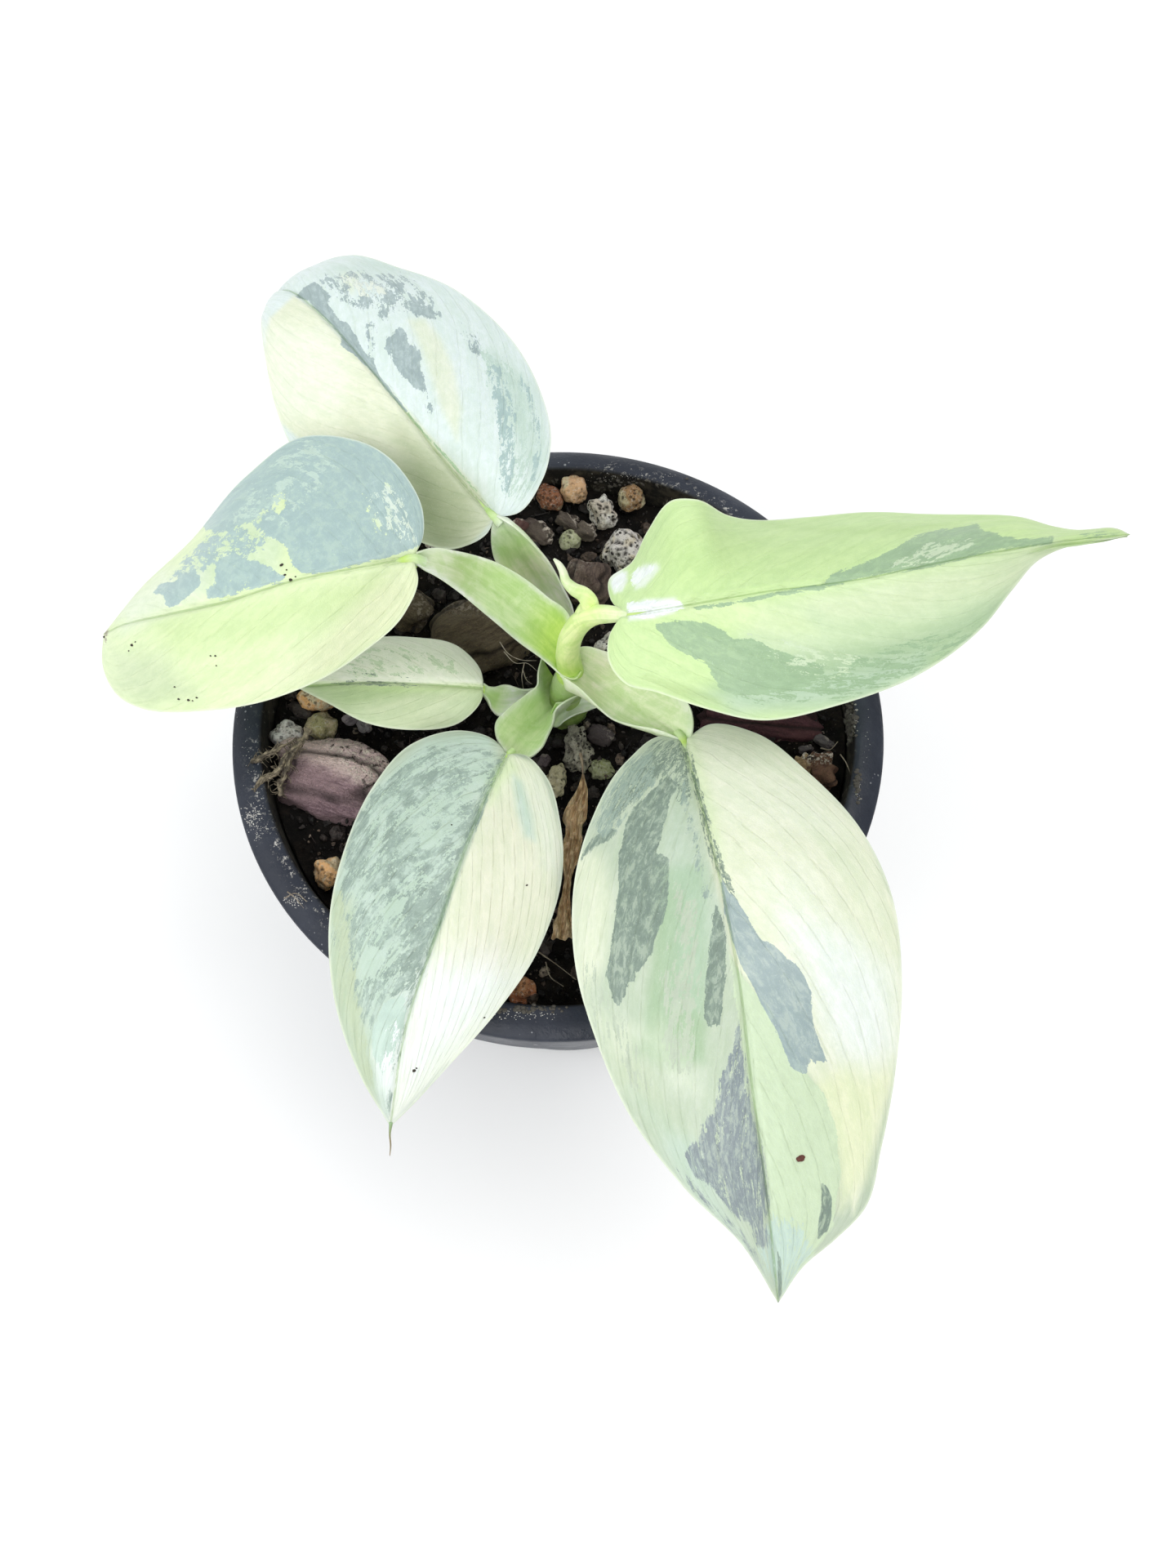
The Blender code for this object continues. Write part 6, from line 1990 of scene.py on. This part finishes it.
@dataclass(frozen=True, kw_only=True)
class Pumice(Stone):
    """A pumice stone with pits."""

    colour: tuple
    stain: tuple
    pits: int = 26
    holes: float = 1.0
    knobs: float = 0.11
    box: float = 2.3
    rough: float = 0.35
    detail: int = 4

    def build(self, mix: Mix) -> bpy.types.Object:
        """The stone.

        Args:
            mix: the mix that it lies in.

        Returns:
            The piece.
        """
        points, ways, faces = self.lump()
        rng = np.random.default_rng(100 + self.seed)
        radius = np.linalg.norm(points, axis=1)
        lumps = Lumps(200 + self.seed)
        depth = (0.16 * lumps.at(points, 1.3) + self.knobs * lumps.at(points, 0.6)
                 + 0.05 * lumps.at(points, 0.3))
        pit = 0.8 * ease((-depth - 0.15) / 0.12)
        for centre, width in zip(unit(rng.normal(size=(self.pits, 3))), rng.uniform(0.14, 0.30, self.pits)):
            away = np.linalg.norm(ways - centre, axis=1) * radius
            pit = np.maximum(pit, ease(1.6 - away / width))
        moved = points * (1 + (np.minimum(depth, 0.22) - 0.20 * pit) / radius)[:, None]
        finish = PumiceFinish(self.name, self.colour, self.stain, float(self.seed), self.holes)
        return self.finished(Shape(moved, faces, {"pit": pit}), mix, finish)


@dataclass(frozen=True, kw_only=True)
class Bark(Stone):
    """A chip of bark, layered along its length."""

    colour: tuple
    crust: tuple
    crusty: float = 0.3
    groove: float = 4.2            # between its cracks, in millimetres
    # share of painted shade on its near, lower side
    dusk: float = 0.0
    box: float = 3.4
    rough: float = 0.30
    detail: int = 5

    def build(self, mix: Mix) -> bpy.types.Object:
        """The chip.

        Args:
            mix: the mix that it lies in.

        Returns:
            The piece.
        """
        points, _, faces = self.lump()
        lumps = Lumps(300 + self.seed)
        stretched = points * (0.22, 1.0, 1.0)
        groove = ease((1 - np.abs(lumps.at(stretched * (0.6, 1, 1), self.groove)) - 0.86) / 0.14)
        layer = lumps.at(stretched + (40, 0, 0), 0.5)
        chips = lumps.at(points + (0, 30, 0), 0.8) + 0.6 * lumps.at(points + (0, 60, 0), 0.35)
        along, over = points[:, 0] / self.size[0], points[:, 1] / self.size[1]
        end = ease((over + 0.9 * along - 0.12) * 4) * self.crusty
        depth = -0.50 * groove + 0.07 * layer + 0.13 * chips * (0.3 + 1.6 * end) - 0.1
        moved = points * (1 + depth / np.linalg.norm(points, axis=1))[:, None]
        # Painted shade: darker towards the near, lower side of the chip.
        dusk = self.dusk * ease(0.7 - 3.5 * (over + 0.25 * along + 0.02))
        shape = Shape(moved, faces, {"crack": groove, "crusty": end, "dusk": dusk})
        return self.finished(shape, mix, BarkFinish(self.name, self.colour, self.crust, self.turn))


WHITE, TAN, ORANGE = (0.80, 0.78, 0.72), (0.74, 0.52, 0.26), (0.86, 0.50, 0.22)
TAN_STAIN, WHITE_STAIN = (0.80, 0.68, 0.44), (0.66, 0.58, 0.45)
RUST, MOSS = (0.46, 0.17, 0.08), (0.33, 0.36, 0.17)
PUMICE = (
    Pumice("pumice_far", (2.3, 43.3), (4.6, 4.6, 4.2), 20, 0, colour=(0.70, 0.44, 0.25), stain=TAN_STAIN,
        standing_out=0.6, pits=4, holes=0.3, knobs=0.2, rough=0.18),
    Pumice("pumice_far_orange", (-2.0, 42.4), (5.0, 3.6, 3.4), -38, 1, colour=(0.30, 0.13, 0.07),
        stain=(0.46, 0.40, 0.25), standing_out=0.45, pits=6, holes=0.6, knobs=0.2, rough=0.2),
    Pumice("pumice_far_right", (11.9, 41.8), (4.4, 4.2, 4.0), 10, 2, colour=(0.36, 0.22, 0.11),
        stain=(0.48, 0.42, 0.26), standing_out=0.55, pits=18, holes=0.8, knobs=0.26, rough=0.2),
    Pumice("pumice_back_white", (7.0, 39.3), (4.2, 5.4, 4.8), 30, 3, colour=(0.74, 0.72, 0.67),
        stain=(0.62, 0.55, 0.46), detail=5, pits=80, standing_out=0.4, rough=0.4),
    Pumice("pumice_back_big", (10.7, 32.4), (7.4, 6.8, 6.2), 35, 4, colour=(0.72, 0.68, 0.64),
        stain=WHITE_STAIN, detail=5, pits=170, rough=0.3),
    Pumice("pumice_back_green", (1.6, 34.8), (3.6, 3.4, 3.2), 0, 5, colour=(0.56, 0.56, 0.38),
        stain=(0.44, 0.46, 0.28), pits=8, holes=0.6, rough=0.15),
    Pumice("pumice_right_back", (18.2, 37.2), (5.0, 4.4, 4.4), 15, 6, colour=TAN, stain=TAN_STAIN, pits=8,
        holes=0.4),
    Pumice("pumice_crown_right", (8.0, 15.0), (4.0, 3.6, 3.6), 40, 7, colour=WHITE, stain=WHITE_STAIN),
    Pumice("pumice_left_white", (-42.3, -2.0), (4.2, 4.8, 4.6), 60, 8, colour=(0.86, 0.85, 0.82),
        stain=(0.70, 0.66, 0.62), pits=8, holes=0.7, knobs=0.18),
    Pumice("pumice_left_tan", (-37.2, -0.2), (4.4, 4.2, 4.2), 25, 9, colour=(0.52, 0.44, 0.28),
        stain=(0.38, 0.35, 0.18), pits=6, holes=0.35, knobs=0.2),
    Pumice("pumice_left_orange", (-38.0, 5.2), (5.4, 5.0, 4.8), 5, 10, colour=ORANGE, stain=TAN_STAIN,
        pits=9, holes=0.6),
    Pumice("pumice_left_front", (-33.8, -24.4), (4.6, 4.6, 4.4), 30, 11, colour=(0.88, 0.52, 0.24),
        stain=(0.78, 0.62, 0.40), pits=8, holes=0.5, knobs=0.18),
    Pumice("pumice_centre_grey", (3.1, -3.6), (4.0, 6.2, 5.2), 8, 12, colour=(0.42, 0.40, 0.33),
        stain=(0.62, 0.58, 0.48), rough=0.8, knobs=0.42, pits=22),
    Pumice("pumice_centre_tan", (-0.3, -8.8), (2.9, 4.6, 3.8), -8, 13, colour=(0.66, 0.60, 0.40),
        stain=(0.46, 0.42, 0.26), rough=0.6, knobs=0.26, pits=8, holes=0.5),
    Pumice("pumice_centre_green", (6.7, -6.8), (3.5, 3.2, 3.2), 0, 14, colour=MOSS,
        stain=(0.42, 0.44, 0.26), pits=6, holes=0.5, knobs=0.16),
    Pumice("pumice_front", (-5.0, -42.0), (4.0, 3.4, 3.4), 45, 15, colour=(0.50, 0.24, 0.12), stain=RUST,
        pits=6, holes=0.6),
    Pumice("pumice_right_deep", (30.5, 14.0), (5.6, 5.0, 4.8), 12, 16, colour=WHITE, stain=WHITE_STAIN),
    Pumice("pumice_right_front", (26.0, -20.0), (5.2, 4.8, 4.4), 33, 17, colour=TAN, stain=TAN_STAIN,
        pits=8, holes=0.4),
    Pumice("pumice_front_right", (12.0, -33.0), (4.8, 4.2, 4.2), 55, 18, colour=WHITE, stain=WHITE_STAIN),
    Pumice("pumice_behind_left", (-20.0, 35.0), (5.8, 5.0, 4.8), 18, 19, colour=WHITE, stain=WHITE_STAIN),
)
PURPLE, BROWN, RED = (0.74, 0.58, 0.55), (0.15, 0.115, 0.07), (0.095, 0.036, 0.044)
UMBER, DUSTY = (0.135, 0.110, 0.088), (0.11, 0.095, 0.10)
BARK = (
    # bark_left_purple carries painted shade on its near, lower side.
    Bark("bark_left_purple", (-34.6, -9.6), (17.0, 11.4, 8.4), -15, 20, colour=PURPLE,
        crust=(0.61, 0.49, 0.44), crusty=1.0, groove=6.5, dusk=1.0),
    Bark("bark_behind_small_leaf", (-12.8, 16.2), (14.6, 12.0, 7.2), 28, 21, colour=BROWN,
        crust=(0.15, 0.12, 0.08)),
    Bark("bark_back_left", (-25.6, 21.8), (9.0, 7.6, 5.0), -35, 22, colour=BROWN, crust=(0.14, 0.11, 0.07),
        detail=4),
    Bark("bark_back", (4.4, 26.2), (7.8, 7.8, 6.2), 75, 23, colour=(0.17, 0.125, 0.10),
        crust=(0.25, 0.19, 0.15)),
    Bark("bark_back_long", (-4.0, 36.6), (6.0, 3.0, 3.0), -35, 24, colour=(0.13, 0.10, 0.085), crust=UMBER,
        crusty=1.0, detail=4),
    Bark("bark_right_red", (31.6, 0.9), (19.0, 6.0, 5.0), -6, 25, colour=RED, crust=(0.13, 0.055, 0.06),
        crusty=0.0),
    Bark("bark_right_small", (40.2, -8.2), (5.4, 4.6, 4.4), 40, 26, colour=(0.13, 0.065, 0.042),
        crust=(0.22, 0.13, 0.08), crusty=1.0, rough=0.9),
    Bark("bark_front_left", (-17.0, -31.0), (11.0, 7.0, 5.6), 52, 27, colour=BROWN,
        crust=(0.14, 0.11, 0.07), detail=4),
    Bark("chip_lobed", (1.2, 38.2), (4.4, 2.6, 2.6), -32, 31, colour=UMBER, crust=(0.18, 0.15, 0.12),
        crusty=1.0, detail=4, own=False, standing_out=0.3),
    Bark("chip_lobed_end", (4.2, 36.4), (3.6, 3.0, 2.8), -20, 32, colour=UMBER, crust=(0.18, 0.15, 0.12),
        crusty=1.0, detail=4, own=False, standing_out=0.3),
    Bark("chip_knob", (-7.4, 36.4), (3.8, 3.0, 3.2), 50, 33, colour=(0.16, 0.085, 0.075),
        crust=(0.26, 0.15, 0.13), crusty=1.0, detail=4, own=False, standing_out=0.4),
    Bark("chip_pile", (38.4, -4.4), (2.6, 1.8, 1.4), 20, 34, colour=DUSTY, crust=(0.12, 0.11, 0.11),
        detail=4, own=False, standing_out=0.9),
    Bark("chip_pile_end", (41.2, -3.0), (3.4, 1.6, 1.3), -35, 35, colour=DUSTY, crust=(0.16, 0.15, 0.15),
        detail=4, own=False, standing_out=0.9),
    Bark("chip_crumbly", (37.6, -7.2), (3.0, 2.6, 2.4), -10, 36, colour=(0.30, 0.19, 0.10),
        crust=(0.50, 0.38, 0.22), crusty=1.0, rough=0.8, detail=4, own=False, standing_out=0.7),
    Bark("chip_flake", (-32.0, 1.2), (3.8, 2.0, 1.2), 35, 37, colour=(0.20, 0.18, 0.19),
        crust=(0.34, 0.31, 0.31), crusty=1.0, detail=4, own=False, standing_out=1.6),
    Bark("chip_flake_end", (-30.4, -0.2), (2.6, 2.2, 1.0), -60, 38, colour=(0.16, 0.15, 0.16),
        crust=(0.30, 0.28, 0.28), crusty=1.0, detail=4, own=False, standing_out=1.8),
    Bark("chip_lilac", (-2.2, -5.6), (2.4, 1.8, 1.6), 60, 39, colour=(0.15, 0.12, 0.13),
        crust=(0.22, 0.18, 0.19), detail=4, own=False, standing_out=0.8),
    Bark("chip_dim", (6.6, -1.2), (4.4, 3.0, 2.4), -25, 40, colour=(0.075, 0.06, 0.062),
        crust=(0.12, 0.10, 0.10), detail=4, own=False, standing_out=0.5),
    Bark("chip_dim_front", (8.6, -11.6), (3.4, 2.4, 2.4), 65, 41, colour=(0.10, 0.085, 0.08),
        crust=(0.16, 0.13, 0.12), detail=4, own=False, standing_out=0.5),
)


@dataclass(frozen=True)
class Stem:
    """The short green stem, wrapped in the feet of the stalks."""

    line: tuple = ((0.8, 3.8, 60), (1.2, 3.6, 80), (1.5, 3.2, 90), (1.8, 2.9, 96), (1.9, 2.8, 98.2))
    radii: tuple = (3.6, 3.3, 2.6, 1.9, 0.7)
    scars: tuple = ((84.5, 0.4), (88.0, -0.9), (91.5, 0.8))     # height and slope of its rings
    swell: float = 0.35
    rings: int = 110
    sides: int = 48

    def build(self) -> bpy.types.Object:
        """The stem, in place of its CAD node."""
        shape = tube_shape(self.line, self.radii, self.rings, self.sides, 0.10, 31, 2.5)
        high = shape.points[:, 2]
        axis = smooth_line(self.line, np.linspace(0, 1, self.rings)).repeat(self.sides, axis=0)
        way = unit(shape.points - axis)
        around = np.arctan2(way[:, 1], way[:, 0])
        swell = np.zeros(len(high))
        for ring, slope in self.scars:
            swell += self.swell * bell(high - ring - slope * np.cos(around), 0.6)
        shape.points = shape.points + way * swell[:, None]
        share = ease((high - 88) / 10)[:, None]
        tint = np.array(Tone.OLIVE.value) * (1 - share) + np.array(Tone.LIME.value) * share * 0.75
        tint *= (1 - 0.35 * ease(swell / 0.3) * (1 - share[:, 0]))[:, None]
        shape = skin(shape, np.full(len(high), 5.0), np.zeros(len(high)))
        shape.values["tint"] = tint
        return claim(shape.build("stem_green", LeafFinish("stem_skin", (), 3.0)), "stem")


@dataclass(frozen=True)
class Husk:
    """The dry, papery husk: a curled strip with a ragged edge."""

    # Spots of the photograph with a height and a width in millimetres
    line: tuple = (
        (714, 950, 88.4, 0.4), (712, 975, 88.2, 1.5), (704, 1000, 88.0, 3.3), (702, 1030, 87.6, 2.9),
        (697, 1060, 87.0, 1.8), (694, 1090, 86.4, 1.4), (691, 1118, 85.8, 2.0), (688, 1150, 85.2, 2.9))
    thickness: float = 0.22
    raggedness: float = 0.30
    rows: int = 110
    columns: int = 21

    def build(self) -> bpy.types.Object:
        """The husk, in place of its CAD node."""
        rows, columns = self.rows, self.columns
        line = np.array(self.line, float)
        run = smooth_line(np.column_stack((VIEW.lifted(line[:, :3]), line[:, 3])), np.linspace(0, 1, rows))
        x, y, z, width = run.T[:, :, None]
        t = np.linspace(-1, 1, columns)
        ragged = 1 + self.raggedness * Lumps(41).at(np.column_stack((y, y * 0, y * 0)), 1.3)
        half = width / 2 * ragged[:, None]
        fold = 0.65 * np.sin(6 * t + y * 0.8) + 0.30 * np.sin(11 * t - y * 1.3)
        level = z + 0.8 * t**2 + fold * np.minimum(half, 1)
        upper = np.stack([x + half * t, y + 0 * t, level], axis=2).reshape(-1, 3)
        total = rows * columns
        faces = grid_faces(rows, columns)
        loop = [*range(columns), *range(2 * columns - 1, total, columns),
                *range(total - 2, total - columns - 1, -1), *range(total - 2 * columns, 0, -columns)]
        band = [(a, b, b + total, a + total) for a, b in zip(loop, loop[1:] + loop[:1])]
        under = [tuple(i + total for i in face[::-1]) for face in faces]
        flow = np.stack([half * t, y + 0 * t], axis=2).reshape(-1, 2)
        shape = Shape(np.vstack([upper, upper - (0, 0, self.thickness)]), faces + under + band, {},
                      np.vstack([flow, flow]))
        finish = DryFinish("dry_husk", (0.92, 0.70, 0.44), (0.36, 0.24, 0.13), papery=True)
        return claim(shape.build("dry_husk_curled", finish), "dry_husk")


@dataclass(frozen=True)
class Roots:
    """The rough dry roots at the left wall, with threads that stand off them."""

    # Spots of the photograph with a height in millimetres
    lines: tuple = (
        ((378, 893, 90.6), (366, 912, 90.8), (352, 925, 90.6), (340, 945, 90.2), (322, 955, 90.0),
         (311, 972, 89.6)),
        ((370, 906, 90.6), (357, 925, 90.4), (350, 945, 90.0), (343, 962, 89.4), (344, 975, 88.8)),
        ((308, 934, 90.2), (330, 922, 90.6), (364, 905, 90.4)),
    )
    radii: tuple = (0.56, 0.50, 0.38)
    taper: tuple = (1.0, 0.85, 0.45)                # share of the radius at the start, between and at the end
    thread: tuple = (0.09, 0.06, 0.03)              # radii along each thread
    threads: int = 44                               # on each root

    def build(self) -> bpy.types.Object:
        """The roots, in place of their CAD node."""
        rng = np.random.default_rng(51)
        lines = [VIEW.lifted(line) for line in self.lines]
        strands = []
        for number, (line, radius) in enumerate(zip(lines, self.radii)):
            start, between, end = self.taper
            radii = radius * np.array([start, *[between] * (len(line) - 2), end])
            strands.append(tube_shape(line, radii, 110, 18, 0.27, 60 + number, 0.5))
        for line in lines:
            for place in smooth_line(line, rng.uniform(0.05, 0.98, self.threads)):
                way = rng.normal(size=3) * (1.0, 1.0, 0.35)
                end = place + unit(way) * rng.uniform(0.7, 2.0)
                bend = (place + end) / 2 + rng.normal(size=3) * 0.3
                strands.append(tube_shape((place, bend, end), self.thread, 7, 5))
        finish = DryFinish("dry_roots", (0.36, 0.30, 0.20), (0.030, 0.023, 0.016))
        return claim(reduce(Shape.joined, strands).build("dry_roots_rough", finish), "dry_roots")


@dataclass(frozen=True)
class Threads:
    """Thin dry threads: spots of the photograph with a height, and a radius at each thread's start."""

    name: str
    slot: str
    lines: tuple
    radius: float
    light: tuple
    dark: tuple

    def build(self) -> bpy.types.Object:
        """The threads, thinner towards their ends."""
        threads = []
        for number, line in enumerate(self.lines):
            radii = np.linspace(self.radius, 0.4 * self.radius, len(line))
            threads.append(tube_shape(VIEW.lifted(line), radii, 26, 6, 0.25 * self.radius, 70 + number, 0.8))
        made = reduce(Shape.joined, threads).build(self.name, DryFinish(self.name, self.light, self.dark))
        return claim(made, self.slot, own=False)


THREADS = (
    Threads("fine_roots", "dry_roots", (((612, 786, 90.5), (622, 800, 90.2), (638, 808, 90.6),
        (657, 809, 91.0)), ((617, 798, 90.0), (632, 812, 90.2), (645, 812, 90.8), (658, 822, 91.0)),
        ((642, 812, 90.0), (639, 828, 89.2), (641, 845, 88.2)), ((640, 820, 89.6), (646, 834, 88.8),
        (652, 838, 88.4))), 0.085, (0.55, 0.50, 0.42), (0.30, 0.25, 0.19)),
    Threads("husk_stalk", "dry_husk", (((711, 922, 90.0), (713, 936, 89.4), (714, 954, 88.4)),), 0.24,
        (0.50, 0.42, 0.30), (0.24, 0.18, 0.12)),
    Threads("twigs", "growing_mix", (((660, 1166, 85.6), (680, 1180, 86.0), (706, 1200, 85.6)),
        ((668, 1178, 85.4), (674, 1196, 85.4), (690, 1208, 85.2)), ((1029, 924, 88.2), (1036, 934, 88.8),
        (1041, 946, 88.4)), ((1005, 916, 87.6), (1016, 918, 88.2), (1026, 908, 88.6)), ((352, 1092, 90.4),
        (360, 1098, 90.8), (372, 1112, 90.3)), ((348, 1100, 90.2), (362, 1094, 90.6), (376, 1104, 90.3))),
        0.11, (0.50, 0.44, 0.34), (0.14, 0.11, 0.08)),
)


@dataclass(frozen=True)
class Specks:
    """Grains of dirt, each by its pixel of the photograph and its radius in millimetres."""

    name: str
    slot: str
    carrier: str                   # the piece that they lie on
    spots: tuple
    colour: tuple
    swarms: tuple = ()             # x, y, spread in x and y, how many grains, least and most radius
    detail: int = 2                # of each grain

    def places(self) -> list:
        """The given grains and those of the swarms."""
        rng = np.random.default_rng(len(self.name))
        found = list(self.spots)
        for x, y, wide, high, count, least, most in self.swarms:
            spread = rng.normal(size=(count, 2)) * (wide / 2, high / 2) + (x, y)
            found += [(*spot, radius) for spot, radius in zip(spread, rng.uniform(least, most, count))]
        return found

    def build(self) -> bpy.types.Object:
        """The grains, each set on the carrier where the camera sees it."""
        carrier = bpy.data.objects[self.carrier]
        start = np.array(VIEW.place)
        ball, grains = ball_shape(self.detail), []
        for number, (x, y, radius) in enumerate(self.places()):
            way = unit(VIEW.lifted(((x, y, 0.0),))[0] - start)
            hit, place, normal, _ = carrier.ray_cast(Vector(start) * MM, Vector(way))
            if not hit:
                continue
            lumpy = 1 + 0.35 * Lumps(90 + number).at(ball.points, 0.6)
            grain = ball.points * lumpy[:, None] * (radius, 0.8 * radius, 0.5 * radius)
            grains.append(Shape(grain + np.array(place) / MM + np.array(normal) * 0.15 * radius, ball.faces))
        made = reduce(Shape.joined, grains).build(self.name, GrainFinish(self.name, self.colour))
        return claim(made, self.slot, own=False)


SPECKS = (
    Specks("specks_left", "leaf_left", "leaf_left_grown", ((345, 692, 0.26), (349, 704, 0.20),
        (356, 710, 0.24), (351, 698, 0.14), (362, 706, 0.12), (162, 790, 0.26), (158, 797, 0.14),
        (166, 786, 0.15), (258, 803, 0.16), (264, 803, 0.18), (214, 841, 0.15), (219, 856, 0.20),
        (231, 857, 0.22), (236, 858, 0.14), (241, 854, 0.18), (265, 815, 0.12), (130, 772, 0.30),
        (128, 780, 0.22)), (0.050, 0.040, 0.028)),
    Specks("specks_front_left", "leaf_front_left", "leaf_front_left_grown", ((645, 1084, 0.15),
        (593, 1246, 0.15), (507, 1311, 0.24), (510, 1308, 0.15), (553, 1010, 0.12)), (0.060, 0.045, 0.030)),
    Specks("speck_front_right", "leaf_front_right", "leaf_front_right_grown", ((980, 1418, 0.55),),
        (0.16, 0.050, 0.035)),
    Specks("rim_lime", "pot", "pot_moulded", (), (0.80, 0.78, 0.74), ((309, 1000, 11, 16, 150, 0.03, 0.12),
        (318, 1018, 8, 14, 40, 0.03, 0.09), (362, 1102, 14, 7, 90, 0.03, 0.11), (640, 1243, 50, 6, 90, 0.03,
        0.11), (770, 584, 50, 5, 60, 0.03, 0.09), (1050, 968, 4, 12, 20, 0.04, 0.12), (300, 900, 10, 60,
        24, 0.03, 0.08), (1062, 915, 4, 40, 10, 0.03, 0.08)), detail=1),
    Specks("wall_crust", "pot", "pot_moulded", (), (0.11, 0.10, 0.085), ((1043, 888, 6, 24, 90, 0.15, 0.60),
        (1050, 960, 4, 18, 40, 0.12, 0.40), (640, 1236, 50, 4, 60, 0.10, 0.35), (760, 592, 60, 8, 50, 0.10,
        0.35))),
    Specks("wall_flecks", "pot", "pot_moulded", (), (0.46, 0.45, 0.41), ((1045, 885, 7, 24, 30, 0.06, 0.24),
        (1051, 962, 4, 16, 14, 0.06, 0.20))),
)


# The stage


@dataclass(frozen=True)
class Lamp:
    """A square, soft lamp that looks at the plant; its place, size and power are in metres and watts."""

    name: str
    place: tuple
    size: float
    power: float
    colour: tuple
    target: tuple = (0, 0, 0.09)

    def build(self) -> None:
        """Makes the lamp."""
        data = bpy.data.lights.new(self.name, "AREA")
        data.size = self.size
        data.energy = self.power
        data.color = self.colour
        lamp = add_object(self.name, data)
        lamp.location = self.place
        lamp.rotation_euler = (Vector(self.target) - Vector(self.place)).to_track_quat("-Z", "Y").to_euler()


@dataclass(frozen=True)
class Studio:
    """A pale floor and plain soft studio light."""

    reach: float = 3000.0
    lamps: tuple = (Lamp("window_left", (-0.85, -0.25, 0.75), 0.8, 3.3, (0.98, 0.99, 1.0)),
                    Lamp("overhead", (0.35, 0.05, 1.00), 0.55, 3.3, (1.0, 0.99, 0.98)),
                    Lamp("soft_front", (-0.25, -0.95, 0.70), 0.6, 3.9, (1.0, 0.99, 0.98)),
                    Lamp("soft_back", (-0.15, 0.95, 0.60), 0.8, 1.1, (0.84, 0.93, 1.0)))

    def build(self) -> None:
        """Makes the floor, the lights and the world."""
        r = self.reach
        mesh = Shape(np.array([(-r, -r, 0), (r, -r, 0), (r, r, 0), (-r, r, 0)]), [(0, 1, 2, 3)]).mesh("floor")
        mesh.materials.append(FloorFinish().build())
        add_object("floor", mesh)
        self.sky()
        for lamp in self.lamps:
            lamp.build()
        bpy.context.scene.view_settings.view_transform = "Standard"

    @staticmethod
    def sky() -> None:
        """A plain white world, dimmer low down at the right."""
        world = bpy.data.worlds.new("studio")
        world.use_nodes = True
        g = Graph(world.node_tree)
        way = g.node("ShaderNodeSeparateXYZ", {0: g.node("ShaderNodeTexCoord").outputs["Generated"]}).outputs
        light = g.math("MAXIMUM", g.span(way[2], 0.05, 0.55), g.sloped(way[0], -0.5, 0.5))
        shade = g.mix(light, (0.20, 0.21, 0.23), (0.66, 0.67, 0.675))
        g.feed(world.node_tree.nodes["Background"], {"Color": shade, "Strength": 1.0})
        bpy.context.scene.world = world


def report(made: bpy.types.Object) -> None:
    """Logs a piece's name and how many triangles it has."""
    made.data.calc_loop_triangles()
    LOG.info("%s: %d triangles", made.name, len(made.data.loop_triangles))


def main() -> None:
    """Builds every piece in order and reports it."""
    logging.basicConfig(level=logging.INFO, format="%(name)s: %(message)s")
    VIEW.build()
    Studio().build()
    mix = Mix()
    report(Pot().build())
    report(mix.build_bed())
    for leaf in LEAVES:
        report(leaf.build())
    for stone in (*PUMICE, *BARK):
        report(stone.build(mix))
    for part in (Stem(), Husk(), Roots(), *THREADS, *SPECKS):
        report(part.build())
    crumb_skin = CrumbFinish("mix_crumbs").build()
    for strewing in STREWN:
        report(strewing.build(mix, crumb_skin))


if __name__ == "__main__":
    main()
